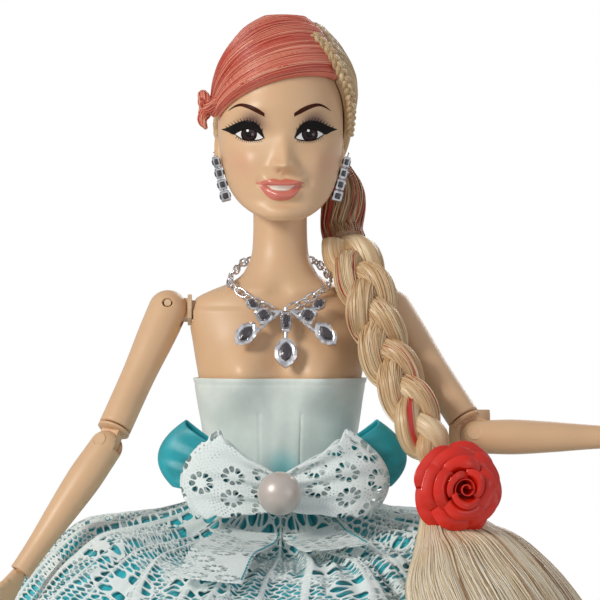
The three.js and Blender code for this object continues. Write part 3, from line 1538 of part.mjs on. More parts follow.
doll.updateMatrixWorld(true);
addHairPieces();
addBraid();
addTail();
addRose();
addBow();
addNecklace();
addPendant();
addEarDrop(-1, 'right');
addEarDrop(1, 'left');
addTorso();
addArm(rightArm);
addArm(leftArm);
addLeg(-1, 'right');
addLeg(1, 'left');
addBodice();
addGown();

export default doll;
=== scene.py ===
import math

import bmesh
import bpy
import numpy as np
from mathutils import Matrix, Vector
from mathutils.bvhtree import BVHTree


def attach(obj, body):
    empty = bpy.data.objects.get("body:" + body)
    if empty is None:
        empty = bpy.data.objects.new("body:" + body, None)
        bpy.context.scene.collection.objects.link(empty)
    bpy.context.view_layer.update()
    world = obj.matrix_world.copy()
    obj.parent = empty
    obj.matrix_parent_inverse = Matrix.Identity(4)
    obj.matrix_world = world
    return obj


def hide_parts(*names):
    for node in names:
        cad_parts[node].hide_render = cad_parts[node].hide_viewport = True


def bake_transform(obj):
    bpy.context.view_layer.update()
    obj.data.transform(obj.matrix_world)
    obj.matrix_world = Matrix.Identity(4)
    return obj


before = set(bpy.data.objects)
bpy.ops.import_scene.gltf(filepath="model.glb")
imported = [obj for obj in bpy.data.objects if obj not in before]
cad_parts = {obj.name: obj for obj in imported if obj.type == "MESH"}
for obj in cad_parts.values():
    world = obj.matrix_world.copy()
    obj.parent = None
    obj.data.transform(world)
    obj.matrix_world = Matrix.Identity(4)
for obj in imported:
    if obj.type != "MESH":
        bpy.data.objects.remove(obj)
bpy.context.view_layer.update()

bl_info = {
    "name": "Jointed fashion doll",
    "version": (1, 0, 0),
    "blender": (4, 5, 0),
    "location": "3D View > Sidebar > Doll",
    "description": "Dresses the packed doll: skin, face paint, hair, gown, bow and jewellery",
    "category": "Object",
}

MM = 0.001

# Clearances and heights, in millimetres, as the solids have them
SEAT_GAP = 0.35
RUNNING_GAP = 0.3
ANKLE_HEIGHT = 12
SHIN_LENGTH = 76
THIGH_LENGTH = 77
HIP_HEIGHT = ANKLE_HEIGHT + SHIN_LENGTH + THIGH_LENGTH
SHOULDER_HEIGHT = HIP_HEIGHT + 71.2
NECK_TOP = SHOULDER_HEIGHT + 22
TORSO_BOTTOM = HIP_HEIGHT - 6

# Torso and neck
SHOULDER_HALF = 18.2
CHEST_DEPTH = 8.4
HIP_DEPTH = 10.75
NECK_RADIUS = 5.4
NECK_SETBACK = 1.7
TORSO_ROUNDNESS = 2.3
BUST = {"depth": 4.2, "spread": 7.6, "width": 5.2, "tall": 5.8, "drop": 13}

# Head and hair
HEAD_HEIGHT = 38.8
HEAD_HALF = 12.6
HEAD_DEPTH = 13.7
CHIN = -8.4
HEAD_TURN = 4
HEAD_PIVOT = (0, NECK_SETBACK, NECK_TOP + SEAT_GAP + 3.8)
HAIR_THICKNESS = 2.5
HAIR_BACK = 2.4
HAIR_SHIFT = 0.9
HAIR_CENTRE = (0.9, 0.5, 12)
SCALP_GAP = 0.25
STRANDS = {"fringe": 420, "crown": 620, "gather": 150, "braid": 150, "plait": 14, "tail": 640}

# Arms and hands
ARM_TOP = 4
SHOULDER_X = SHOULDER_HALF + SEAT_GAP + ARM_TOP
SHOULDER_REACH = 0.8 + ARM_TOP
ARM_RADIUS = 3.7
ELBOW_RADIUS = 3.3
ELBOW_REACH = ELBOW_RADIUS + SEAT_GAP * 3
ARM_END = 32 - ELBOW_REACH - SEAT_GAP
FOREARM_LENGTH = 30.6
PALM = (8.4, 6, 2.5)
FINGER = (8.6, 0.72)

# Legs and shoes
HIP_SPREAD = 10.1
HIP_SETBACK = 0.6
THIGH_TOP = 7.2
KNEE_RADIUS = 5.3
FOOT_LENGTH = 22
FOOT_HALF = 3.7
SOLE = 1.1
HEEL_HEIGHT = 5.6
SHOE_WALL = 0.9
KNEE_EYE = 3.6
FOOT_STEPS = np.linspace(0, 1, 48)
SHOE_OPENING = np.where(FOOT_STEPS > 0.66, 1.25, 0.62 + (0.5 - 0.62) * FOOT_STEPS)

# Rooms cut for pegs, eyes and pins: radius and length
DISC_ROOM = (3.5, SHOULDER_HALF)
SHOULDER_PEG_ROOM = (2.3, 11.4)
HIP_YOKE_ROOM = (2.5, 5.2)
HIP_EYE_ROOM = (3.85, 7.5)
NECK_ROOM = (2.5, 10.7)
NECK_RECESS = (NECK_RADIUS + 1.7, 30)
NECK_PIN_BORE = (1.1, 8.6)
SHOULDER_PIN_HOLE = (1.05, ARM_TOP * 4)
ELBOW_PEG_HOLE = (1.8, 9.7)
ELBOW_PIN_HOLE = (1, ELBOW_RADIUS * 4)
KNUCKLE_PIN_HOLE = (1, 6)
WRIST_PEG_HOLE = (1.4, 7.5)
HIP_PIN_HOLE = (1.4, THIGH_TOP * 4)
KNEE_PIN_HOLE = (1.3, KNEE_RADIUS * 4)
KNEE_EYE_HOLE = (1.3, 8)
LEG_ROOM = (KNEE_RADIUS * 0.8, ANKLE_HEIGHT)

# Gown, bodice and bow
HEM_RADIUS = 113
WAIST = 199.5
CLOTH = 0.6
CLOTH_GAP = 0.5
LAYER = CLOTH + CLOTH_GAP
FOLD_DEPTH = 3
FOLD_COUNT = 10
FRONT_DROP = 7.5
HEM_RISE = 1.6
BODICE_TOP = 222.6
BODICE_THICK = 0.8
SASH_OFFSET = 2 * CLOTH_GAP + BODICE_THICK
SASH_HEIGHT = 4.2
FLAP_WIDTH = 6
BAND_ROWS = 60
BAND_COLS = 220
BOW_HEIGHT = 200.5
RIBBON_LOOP = (24.5, 12, 7)
LACE_LOOP = (20.5, 15.5, 3.4)
LOOP_PUFF = 1.4
LOOP_SWEEP = 3.4
CREASE = 1.7
RIBBON_THICK = 0.7
KNOT_HALF = 3.6
PEARL_RADIUS = 4.3
TAIL_WIDTH = 12.5
GOWN_PROFILE = math.hypot(HEM_RADIUS, WAIST)

# Braid, tail and rose
BRAID_HALF = (3.1, 1.5)
STRAND_HALF = (2.7, 2.3)
BRAID_TURNS = 2
TAIL_THICK = 4.6
BRAID_STILL = 206
ROSE_RADIUS = 9.2

# Jewellery
LINK = (2.9, 1.8, 0.33)
CHAIN_DROP = 10
CHAIN_BACK = 246.5
CHAIN_OFFSET = 1.2
PENDANT = (22, 13)
PENDANT_SHIFT = 1.2
PENDANT_HEIGHT = 236.5
PENDANT_TILT = 20
DROP_LENGTH = 10.6
DROP_WIDTH = 2.1

# Arm angles at rest, in degrees
ARMS = {
    "right": {"side": -1, "swing": 23.5, "spread": 22, "twist": 29.3, "bend": 13, "wrist": 0},
    "left": {"side": 1, "swing": 23.5, "spread": 30.8, "twist": -6.3, "bend": 57.2, "wrist": 60},
}

TORSO_SHARES = [
    (0, 0.714, 0.7, 0.09), (0.052, 0.857, 0.84, 0.09), (0.168, 0.945, 1, 0.115),
    (0.337, 0.852, 0.93, 0.045), (0.505, 0.747, 0.805, -0.06), (0.635, 0.78, 0.82, -0.075),
    (0.738, 0.841, 0.85, -0.06), (0.79, 0.878, 0.858, -0.065), (0.842, 0.912, 0.86, -0.07),
    (0.88, 0.94, 0.853, -0.05), (0.92, 0.967, 0.84, -0.02), (0.972, 1, 0.78, 0),
]
NECK_SHARES = [
    (0.03, 0.984, 0.817, 0.03), (0.117, 0.875, 0.65, 0.09), (0.185, 0.64, 0.517, 0.15),
    (0.243, 0.39, 0.4, 0.18), (0.311, 0.2, 0.3, 0.35), (0.403, 0.094, 0.167, 0.59),
    (0.5, 0.031, 0.083, 0.85), (0.62, 0.008, 0.033, 1), (1, 0, 0, 1),
]
HEAD_SHARES = [
    (0, 0.238, -0.817, 0.949, -0.635), (0.026, 0.413, -0.745, 0.993, -0.453),
    (0.063, 0.579, -0.599, 0.993, -0.197), (0.105, 0.706, -0.453, 0.971, 0.095),
    (0.15, 0.794, -0.343, 0.985, 0.387), (0.202, 0.865, -0.27, 0.993, 0.591),
    (0.268, 0.921, -0.197, 0.985, 0.737), (0.346, 0.968, -0.124, 0.967, 0.825),
    (0.425, 0.992, -0.088, 0.94, 0.876), (0.504, 1, -0.066, 0.964, 0.898),
    (0.583, 1, -0.051, 0.998, 0.898), (0.661, 0.984, -0.051, 0.998, 0.883),
    (0.753, 0.929, -0.051, 0.956, 0.825), (0.845, 0.817, -0.051, 0.847, 0.708),
    (0.924, 0.627, -0.051, 0.657, 0.547), (0.976, 0.397, -0.051, 0.431, 0.314),
    (1, 0.143, -0.051, 0.182, 0.066),
]
GOWN_SHARES = [
    (0, 0.13, 1), (0.06, 0.15, 0.995), (0.14, 0.212, 0.99), (0.22, 0.283, 0.985),
    (0.3, 0.354, 0.9765), (0.37, 0.407, 0.952), (0.43, 0.447, 0.929), (0.49, 0.487, 0.901),
    (0.56, 0.54, 0.855), (0.66, 0.625, 0.755), (0.77, 0.725, 0.6), (0.88, 0.84, 0.38),
    (1, 1.014, -0.04),
]
UPPER_ARM_SHARES = [(0, 1.08, 1.08), (0.2, 1.04, 1.05), (0.55, 0.91, 0.93), (1, 0.89, 0.89)]
FOREARM_SHARES = [
    (0, 1, 1), (0.09, 1.02, 1.02), (0.25, 1.05, 1.04), (0.5, 0.92, 0.9),
    (0.78, 0.72, 0.7), (0.94, 0.652, 0.652), (1, 0.652, 0.652),
]
THIGH_SHARES = [(0, 1, 1), (0.2, 0.95, 1.02), (0.5, 0.83, 0.91), (0.85, 0.71, 0.74), (1, 0.66, 0.68)]
SHIN_SHARES = [
    (0, 1, 1, 0), (0.2, 1.02, 1.1, -0.1), (0.34, 1.03, 1.16, -0.2), (0.58, 0.83, 0.9, -0.11),
    (0.85, 0.58, 0.62, 0), (1.05, 0.6, 0.66, 0.02),
]
FOOT_SHARES = [
    (0, 0.36, 0.66, 0.35), (0.12, 0.66, 0.88, 0.28), (0.38, 0.73, 0.8, 0.21),
    (0.58, 0.88, 0.5, 0.08), (0.72, 1, 0.36, 0.02), (0.9, 0.82, 0.25, 0), (1, 0.26, 0.12, 0.03),
]
BRAID_SHARES = [
    (0.6, 0.14, 0.85), (0.665, -0.26, 0.78), (0.785, -0.84, 0.67), (0.896, -1.06, 0.51),
    (1.082, -1.46, 0.358), (1.25, -1.86, 0.208), (1.353, -1.96, 0.119),
]
TAIL_SHARES = [
    (0.3, 11, 0.42), (0.37, 19, 1), (0.44, 24, 0.96), (0.52, 26, 0.9), (0.6, 25, 0.7), (0.66, 21, 0.35),
]
TAIL_ANGLE = -39
ROSE_SHARES = (1.525, -2.8, 0.0375)
PLAIT_SHARES = [(0.96, 34), (0.88, 40), (0.79, 44), (0.69, 51), (0.57, 66), (0.45, 84)]


# Curves and places shared with the solids
class SmoothTable:
    """Rows of a place and its values, read as smooth curves."""

    def __init__(self, rows):
        table = np.array(rows, float)
        self.places, self.values = table[:, 0], table[:, 1:]

    def __call__(self, place):
        places, values = self.places, self.values
        last = len(places) - 1
        t = np.clip(np.asarray(place, float), places[0], places[-1])
        i1 = np.clip(np.searchsorted(places, t, side="right"), 1, last)
        i0 = i1 - 1
        t0, t1 = places[i0], places[i1]
        has_before, has_after = i1 >= 2, i1 < last
        before, after = np.where(has_before, i1 - 2, i1), np.where(has_after, i1 + 1, i0)
        after = np.minimum(after, last)
        start = (t1 - t0) / 2 / (t0 - np.where(has_before, places[before], t1))
        end = (t1 - t0) / 2 / (np.where(has_after, places[after], t0) - t1)
        p = (t - t0) / (t1 - t0)
        weights = (
            (-start * p**3 + 2 * start * p**2 - start * p, before),
            ((1 + start) * p**3 - (1.5 + 2 * start) * p**2 + (start - 0.5) * p + 1, i0),
            (-(1 + end) * p**3 + (1.5 + end) * p**2 + 0.5 * p, i1),
            (end * p**3 - end * p**2, after),
        )
        return np.moveaxis(sum(w[..., None] * values[i] for w, i in weights), -1, 0)


def mix(a, b, share):
    return a + (b - a) * share


def smooth_step(value, low, high):
    share = np.clip((np.asarray(value, float) - low) / (high - low), 0, 1)
    return share * share * (3 - 2 * share)


def bell(distance, width):
    return np.exp(-((distance / width) ** 2))


def stacked(*parts):
    return np.stack(np.broadcast_arrays(*[np.asarray(p, float) for p in parts]), -1)


def unit(vectors):
    return vectors / np.maximum(np.linalg.norm(vectors, axis=-1, keepdims=True), 1e-9)


def shifted(x, y, z):
    matrix = np.eye(4)
    matrix[:3, 3] = x, y, z
    return matrix


def turned(axis, degrees):
    c, s = math.cos(math.radians(degrees)), math.sin(math.radians(degrees))
    a, b = [(1, 2), (2, 0), (0, 1)]["xyz".index(axis)]
    matrix = np.eye(4)
    matrix[a, a], matrix[a, b], matrix[b, a], matrix[b, b] = c, -s, s, c
    return matrix


def moved(points, matrix):
    return points @ matrix[:3, :3].T + matrix[:3, 3]


def ring_angles(count):
    return np.linspace(0, 2 * math.pi, count, endpoint=False)


def down_rows(count):
    return np.linspace(0, 1, count)[:, None]


def lengths_along(line):
    """How far along a line each of its points is."""
    return np.cumsum([0, *np.linalg.norm(np.diff(line, axis=0), axis=1)])


TORSO = SmoothTable(
    [
        (mix(TORSO_BOTTOM, SHOULDER_HEIGHT, h), w * SHOULDER_HALF, d * HIP_DEPTH, m * HIP_DEPTH)
        for h, w, d, m in TORSO_SHARES
    ]
    + [
        (
            mix(SHOULDER_HEIGHT, NECK_TOP, h),
            mix(NECK_RADIUS, SHOULDER_HALF, w),
            mix(NECK_RADIUS, CHEST_DEPTH, d),
            NECK_SETBACK * m,
        )
        for h, w, d, m in NECK_SHARES
    ]
)
HEAD = SmoothTable(
    [
        (CHIN + h * HEAD_HEIGHT, w * HEAD_HALF, m * HEAD_DEPTH, f * HEAD_DEPTH, b * HEAD_DEPTH)
        for h, w, m, f, b in HEAD_SHARES
    ]
)
GOWN = SmoothTable([(p, r * HEM_RADIUS, h * WAIST) for p, r, h in GOWN_SHARES])
HEAD_PLACE = shifted(*HEAD_PIVOT) @ turned("z", HEAD_TURN)


def bust_at(x, height):
    sides = bell(x - BUST["spread"], BUST["width"]) + bell(x + BUST["spread"], BUST["width"])
    return BUST["depth"] * sides * bell(height - (SHOULDER_HEIGHT - BUST["drop"]), BUST["tall"])


def torso_point(angle, height, offset):
    """A place on the torso at an angle seen from above, standing off its skin."""
    wide, deep, middle = TORSO(height)
    c, s = np.cos(angle), np.sin(angle)
    power = np.where(np.asarray(height) > SHOULDER_HEIGHT, 2, TORSO_ROUNDNESS)

    def reach(grow):
        share = np.abs(c / (wide + grow)) ** power + np.abs(s / (deep + grow)) ** power
        return share ** (-1 / power)

    radius = reach(offset)
    front = np.where(s < 0, bust_at(reach(0) * c, height) * np.minimum(1, -2 * s), 0)
    return stacked(radius * c, middle + radius * s - front, height)


def chest_y(x, height):
    wide, deep, middle = TORSO(height)
    across = np.minimum(1, np.abs(x / wide))
    depth = deep * (1 - across**TORSO_ROUNDNESS) ** (1 / TORSO_ROUNDNESS)
    return middle - depth - bust_at(x, height)


def gown_profile(place, angle):
    radius, height = GOWN(np.clip(place, 0, 1))
    rise = smooth_step(place, 0, 0.1)
    fade = 1 - smooth_step(place, 0.25, 0.7)
    return radius, height - FRONT_DROP * rise * fade * np.maximum(0, -np.sin(angle)) ** 2


def fold_fullness(place):
    return smooth_step(place, 0.1, 0.75)


def gathers(place, angle):
    """Small pleats between the main folds, always inward of them."""
    waves = (
        0.5 * np.sin(43 * angle + 1.3 * np.sin(5 * angle))
        + 0.3 * np.sin(71 * angle + 2 * np.sin(3 * angle + 1))
        + 0.2 * np.sin(29 * angle + 4 * place + 2)
    )
    depth = mix(0.25, mix(1.1, 0.55, smooth_step(place, 0.5, 1)), smooth_step(place, 0.03, 0.22))
    return depth * (waves - 1) / 2


def gown_point(place, angle, offset, folds=1.0, ripple=1.0):
    """A place on the skirt: share of its profile, angle, and how far it stands off."""
    low_r, low_h = gown_profile(place - 0.01, angle)
    high_r, high_h = gown_profile(place + 0.01, angle)
    length = np.hypot(high_r - low_r, high_h - low_h)
    out, up = (high_r - low_r) / length, (high_h - low_h) / length
    stand = offset + folds * FOLD_DEPTH * fold_fullness(place) * np.cos(FOLD_COUNT * angle)
    stand = stand + ripple * gathers(place, angle)
    radius, height = gown_profile(place, angle)
    radius, height = radius - up * stand, height + out * stand
    waist = torso_point(angle, WAIST, offset + 3 * LAYER + CLOTH_GAP)
    spread = smooth_step(place, 0, 0.16)
    return stacked(
        mix(waist[..., 0], radius * np.cos(angle), spread),
        mix(waist[..., 1], radius * np.sin(angle), spread),
        mix(WAIST, height, spread),
    )


def over_gown(place, angle, offset):
    return gown_point(place, angle, offset + FOLD_DEPTH * fold_fullness(place), 0, 0)


def head_point(height, offset, angle):
    wide, middle, front, back = HEAD(height)
    c = np.cos(angle)
    reach = np.where(c > 0, front + middle + offset, back - middle + offset)
    y = middle - reach * np.sign(c) * np.abs(c) ** 0.92
    return stacked((wide + offset) * np.sin(angle), y, height)


def hair_point(height, offset, angle):
    point = head_point(height, HAIR_THICKNESS + offset, angle)
    behind = np.maximum(0, point[..., 1] / HEAD_DEPTH)
    return point + stacked(HAIR_SHIFT, behind * HAIR_BACK, 0)


def curve_through(points, count):
    """Even places and directions along a smooth curve through the points."""
    points = np.array(points, float)
    knots = np.concatenate([[0], np.cumsum(np.sqrt(np.linalg.norm(np.diff(points, axis=0), axis=1)))])
    table = SmoothTable(np.column_stack([knots, points]))
    dense = table(np.linspace(0, knots[-1], 600)).T
    lengths = lengths_along(dense)
    even = np.linspace(0, lengths[-1], count)
    line = np.stack([np.interp(even, lengths, dense[:, i]) for i in range(3)], -1)
    return line, unit(np.gradient(line, axis=0)), lengths[-1]


def frames_along(along, across_hint):
    depth = unit(np.cross(along, across_hint))
    return unit(np.cross(depth, along)), depth


# Meshes
class Form:
    """Collects the grids, tubes and plates of one piece before they become its mesh."""

    def __init__(self):
        self.points, self.faces, self.uvs, self.marks, self.count = [], [], [], [], 0

    def add(self, points, faces, uvs, mark=0):
        self.points.append(np.asarray(points, float).reshape(-1, 3))
        self.faces.extend((np.asarray(faces) + self.count).tolist())
        self.uvs.append(np.asarray(uvs, float).reshape(-1, 2))
        self.marks.extend([mark] * len(faces))
        self.count += len(self.points[-1])
        return self

    def slab(self, outer, inner=None, closed=False, uv=None, mark=0):
        """A grid of points, or two matching grids joined round their edges."""
        rows, cols = outer.shape[:2]
        wrap = cols if closed else cols - 1
        if uv is None:
            uv = np.stack(np.meshgrid(np.arange(rows), np.arange(cols + 1), indexing="ij"), -1)[..., ::-1]
        r, c = (a.ravel() for a in np.meshgrid(np.arange(rows - 1), np.arange(wrap), indexing="ij"))
        quads = [(np.stack([r, r, r + 1, r + 1], 1), np.stack([c, c + 1, c + 1, c], 1), [0] * 4)]
        if inner is not None:
            quads.append((quads[0][0][:, ::-1], quads[0][1][:, ::-1], [1] * 4))
            c = np.arange(wrap)
            for row in (0, rows - 1):
                across = np.stack([c, c + 1, c + 1, c], 1)
                quads.append((np.full_like(across, row), across, [0, 0, 1, 1]))
            r = np.arange(rows - 1)
            for col in () if closed else (0, cols - 1):
                down = np.stack([r, r + 1, r + 1, r], 1)
                quads.append((down, np.full_like(down, col), [0, 0, 1, 1]))
        faces = [rr * cols + cc % cols + np.array(layer) * rows * cols for rr, cc, layer in quads]
        corners = [uv[rr, cc] for rr, cc, _ in quads]
        points = outer if inner is None else np.concatenate([outer, inner])
        return self.add(points, np.concatenate(faces), np.concatenate(corners), mark)

    def loft(self, rings, uv=None, mark=0, ends=(True, True)):
        """Closed rings joined into a tube, with a fan over each end."""
        rows, cols = rings.shape[:2]
        first = self.count
        self.slab(rings, closed=True, uv=uv, mark=mark)
        for row, wanted in ((0, ends[0]), (rows - 1, ends[1])):
            if not wanted:
                continue
            c = np.arange(cols)
            hub = self.count
            self.points.append(rings[row].mean(0, keepdims=True))
            self.count += 1
            base = first + row * cols
            self.faces.extend(np.stack([base + c, base + (c + 1) % cols, np.full(cols, hub)], 1).tolist())
            level = uv[row, 0] if uv is not None else np.array([0, row])
            self.uvs.append(np.tile(level, (3 * cols, 1)))
            self.marks.extend([mark] * cols)
        return self

    def tube(self, line, radius, sides, across_hint, mark=0, scale=1.0, shift=0.0):
        """A round tube along a line, its radius given at each place."""
        line = np.asarray(line, float)
        across, depth = frames_along(unit(np.gradient(line, axis=0)), np.asarray(across_hint, float))
        angle = ring_angles(sides)
        size = np.broadcast_to(np.asarray(radius, float), (len(line),))[:, None, None]
        rings = line[:, None] + size * (
            across[:, None] * np.cos(angle)[:, None] + depth[:, None] * np.sin(angle)[:, None]
        )
        lengths = lengths_along(line)
        u = np.broadcast_to(np.linspace(0, 1, sides + 1) * scale + shift, (len(line), sides + 1))
        uv = np.stack([u, np.broadcast_to(lengths[:, None], u.shape)], -1)
        return self.loft(rings, uv=uv, mark=mark)

    def strand(self, path, thin, across_hint, draw, dyed, scale):
        """A single hair, by chance a dyed one, with its own place on the texture; on the loose tail the chosen ones
        are brown strands of painted shade, more of them towards its outer side.
        """
        mark = int(draw.uniform() < dyed)
        return self.tube(path, thin, 5, across_hint, mark, scale, draw.uniform(0, 60))

    def lathe(self, profile, matrix, sides=24, mark=0):
        """A profile of radius and height turned about its own upright axis, then placed."""
        profile = np.array(profile, float)
        angle = ring_angles(sides)
        rings = stacked(
            profile[:, :1] * np.cos(angle), profile[:, :1] * np.sin(angle), profile[:, 1:2] + 0 * angle
        )
        return self.loft(moved(rings, matrix), mark=mark)

    def piece(self, name, *materials, sharp=None, weld=False):
        mesh = bpy.data.meshes.new(name)
        points = np.concatenate([p.reshape(-1, 3) for p in self.points]) * MM
        mesh.from_pydata(points.tolist(), [], self.faces)
        layer = mesh.uv_layers.new(name="UVMap")
        layer.data.foreach_set("uv", np.concatenate(self.uvs).astype(np.float32).ravel())
        mesh.polygons.foreach_set("material_index", self.marks)
        mesh.polygons.foreach_set("use_smooth", [True] * len(mesh.polygons))
        for material in materials:
            mesh.materials.append(material)
        work = bmesh.new()
        work.from_mesh(mesh)
        if weld:
            bmesh.ops.remove_doubles(work, verts=work.verts, dist=0.001 * MM)
        bmesh.ops.recalc_face_normals(work, faces=work.faces)
        work.to_mesh(mesh)
        work.free()
        if sharp is not None:
            mesh.set_sharp_from_angle(angle=math.radians(sharp))
        mesh.update()
        item = bpy.data.objects.new(name, mesh)
        bpy.context.scene.collection.objects.link(item)
        return item


def settle(item):
    """Applies an object's modifiers to its own mesh."""
    graph = bpy.context.evaluated_depsgraph_get()
    mesh = bpy.data.meshes.new_from_object(item.evaluated_get(graph))
    item.modifiers.clear()
    item.data = mesh
    return item


def carve(item, *cutters):
    """Cuts other objects out of one, and removes them."""
    for cutter in cutters:
        step = item.modifiers.new("cut", "BOOLEAN")
        step.operation, step.solver, step.object = "DIFFERENCE", "EXACT", cutter
    settle(item)
    for cutter in cutters:
        bpy.data.objects.remove(cutter)
    return item


def cylinder(name, radius, length, matrix):
    half = length / 2
    return Form().lathe([(radius, -half), (radius, half)], matrix, 48).piece(name)


def ball(name, radius, matrix):
    angle = np.linspace(0.02, math.pi - 0.02, 32)
    return Form().lathe(np.stack([radius * np.sin(angle), -radius * np.cos(angle)], 1), matrix, 64).piece(name)


def block(name, size, matrix):
    half = np.array(size) / 2
    corners = np.array([[-1, -1], [1, -1], [1, 1], [-1, 1]])
    rings = np.stack([np.column_stack([corners, np.full(4, z)]) * half for z in (-1, 1)])
    return Form().loft(moved(rings, matrix)).piece(name)


def worn(item, body, slot, *nodes):
    """Hangs a piece on its body and hides the solids it stands for; the material slot it is given is not used."""
    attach(item, body)
    if nodes:
        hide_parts(*nodes)
    return item


def caster(points):
    """A surface that lines can be cast on, from a closed grid of points in millimetres."""
    rows, cols = points.shape[:2]
    r, c = (a.ravel() for a in np.meshgrid(np.arange(rows - 1), np.arange(cols), indexing="ij"))
    after = (c + 1) % cols
    faces = np.stack([r * cols + c, r * cols + after, (r + 1) * cols + after, (r + 1) * cols + c], 1)
    return BVHTree.FromPolygons(points.reshape(-1, 3).tolist(), faces.tolist())


def cast(tree, starts, ways):
    """Where lines meet a surface, with its normals; a line that misses keeps its start."""
    starts = np.broadcast_to(starts, ways.shape)
    places, normals = np.array(starts, float), np.array(ways, float)
    flat_places, flat_normals = places.reshape(-1, 3), normals.reshape(-1, 3)
    for i, (start, way) in enumerate(zip(starts.reshape(-1, 3), ways.reshape(-1, 3))):
        hit, normal, _, _ = tree.ray_cast(Vector(start), Vector(way))
        if hit is not None:
            flat_places[i], flat_normals[i] = hit, normal
    return places, normals


# Colours and node wiring
def colour(code):
    """A colour written as six hex digits, in the renderer's linear values."""
    parts = [int(code[i : i + 2], 16) / 255 for i in (0, 2, 4)]
    return (*[p / 12.92 if p <= 0.04045 else ((p + 0.055) / 1.055) ** 2.4 for p in parts], 1.0)


def toned(code):
    """Six hex digits, or a colour's name on the panel and the share it is darkened to."""
    name, *share = code.split()
    if not name.islower():
        return colour(name)
    shade = float(share[0]) if share else 1.0
    red, green, blue, _ = getattr(bpy.context.scene.doll_colours, name)
    return (red * shade, green * shade, blue * shade, 1.0)


class Value:
    """A node's output, so that sums of node values can be written as sums."""

    def __init__(self, wires, socket):
        self.wires, self.socket = wires, socket

    def __add__(self, other):
        return self.wires.math("ADD", self, other)

    def __radd__(self, other):
        return self.wires.math("ADD", other, self)

    def __sub__(self, other):
        return self.wires.math("SUBTRACT", self, other)

    def __rsub__(self, other):
        return self.wires.math("SUBTRACT", other, self)

    def __mul__(self, other):
        return self.wires.math("MULTIPLY", self, other)

    def __truediv__(self, other):
        return self.wires.math("DIVIDE", self, other)

    def __rtruediv__(self, other):
        return self.wires.math("DIVIDE", other, self)

    def __pow__(self, other):
        return self.wires.math("POWER", self, other)

    def __gt__(self, other):
        return self.wires.math("GREATER_THAN", self, other)

    def __abs__(self):
        return self.wires.math("ABSOLUTE", self)


class Wiring:
    """Short calls that add nodes to a material or an effect and join them."""

    def __init__(self, tree):
        self.tree = tree

    def feed(self, socket, value):
        value = getattr(value, "socket", value)
        if isinstance(value, bpy.types.NodeSocket):
            self.tree.links.new(value, socket)
        elif value is not None:
            socket.default_value = value

    def add(self, kind, inputs=(), **settings):
        node = self.tree.nodes.new("ShaderNode" + kind)
        for key, value in settings.items():
            setattr(node, key, value)
        for key, value in dict(inputs).items():
            self.feed(node.inputs[key], value)
        return node

    def value(self, kind, inputs=(), output=0, **settings):
        return Value(self, self.add(kind, inputs, **settings).outputs[output])

    def math(self, operation, a, b=None, clamp=False):
        return self.value("Math", {0: a, 1: b}, operation=operation, use_clamp=clamp)

    def vector(self, operation, a, b=None):
        output = "Value" if operation == "DOT_PRODUCT" else "Vector"
        return self.value("VectorMath", {0: a, 1: b}, output, operation=operation)

    def scaled(self, vector, x, y):
        return self.vector("MULTIPLY", vector, self.map(x, y, 1.0))

    def mixed(self, share, a, b):
        return self.value("Mix", {0: share, 6: a, 7: b}, 2, data_type="RGBA")

    def step(self, value, low, high, start=0.0, end=1.0):
        inputs = {"Value": value, "From Min": low, "From Max": high, "To Min": start, "To Max": end}
        return self.value("MapRange", inputs, interpolation_type="SMOOTHSTEP")

    def noise(self, vector, scale, detail=2.0, roughness=0.5):
        inputs = {"Vector": vector, "Scale": scale, "Detail": detail, "Roughness": roughness}
        return self.value("TexNoise", inputs, "Fac")

    def map(self, x, y, z=0.0):
        return self.value("CombineXYZ", {0: x, 1: y, 2: z})

    def uv(self):
        return self.value("UVMap", uv_map="UVMap")

    def place(self):
        return self.value("TexCoord", output="Object")

    def attribute(self, name):
        return self.value("Attribute", output="Fac", attribute_name=name)

    def parts(self, vector):
        return [Value(self, socket) for socket in self.add("SeparateXYZ", {0: vector}).outputs]

    def bump(self, height, strength, distance):
        inputs = {"Height": height, "Strength": strength, "Distance": distance * MM}
        return self.value("Bump", inputs, "Normal")

    def results(self, **outputs):
        """Names the results of an effect, and ends its wiring."""
        for label in outputs:
            kind = "NodeSocketColor" if label == "Colour" else "NodeSocketFloat"
            self.tree.interface.new_socket(label, in_out="OUTPUT", socket_type=kind)
        node = self.tree.nodes.new("NodeGroupOutput")
        for label, value in outputs.items():
            self.feed(node.inputs[label], value)
        return self.tree


def effect(name, **inputs):
    """A new shader node group: its wiring, and a value for each named input."""
    tree = bpy.data.node_groups.new(name, "ShaderNodeTree")
    labels = [label.replace("_", " ") for label in inputs]
    for label, value in zip(labels, inputs.values()):
        kind = "NodeSocketColor" if isinstance(value, tuple) else "NodeSocketFloat"
        tree.interface.new_socket(label, in_out="INPUT", socket_type=kind).default_value = value
    given = tree.nodes.new("NodeGroupInput").outputs
    wires = Wiring(tree)
    return wires, *[Value(wires, given[label]) for label in labels]


def hair_lay():
    """Strands that run along V, with lighter and darker locks and a share of dyed ones."""
    wires, shade, light, dye, dye_share, locks = effect(
        "Hair lay", Shade=(0.3, 0.2, 0.1, 1), Light=(0.9, 0.8, 0.6, 1), Dye=(0.6, 0.04, 0.02, 1),
        Dye_share=0.0, Locks=0.5,
    )
    u, v, _ = wires.parts(wires.uv())
    fine = wires.noise(wires.map(u, v * 0.02), 6.0, 3)
    broad = wires.noise(wires.map(u * locks, v * 0.02), 1.0, 2)
    tone = wires.step(fine * 0.4 + broad * 0.6, 0.36, 0.64)
    dyed = wires.noise(wires.map(u * 0.22 + 31.0, v * 0.012), 1.0, 1)
    edge = 0.74 - dye_share
    colours = wires.mixed(wires.step(dyed, edge, edge + 0.09), wires.mixed(tone, shade, light), dye)
    return wires.results(Colour=colours, Height=fine, Roughness=wires.step(fine, 0.2, 0.8, 0.42, 0.28))


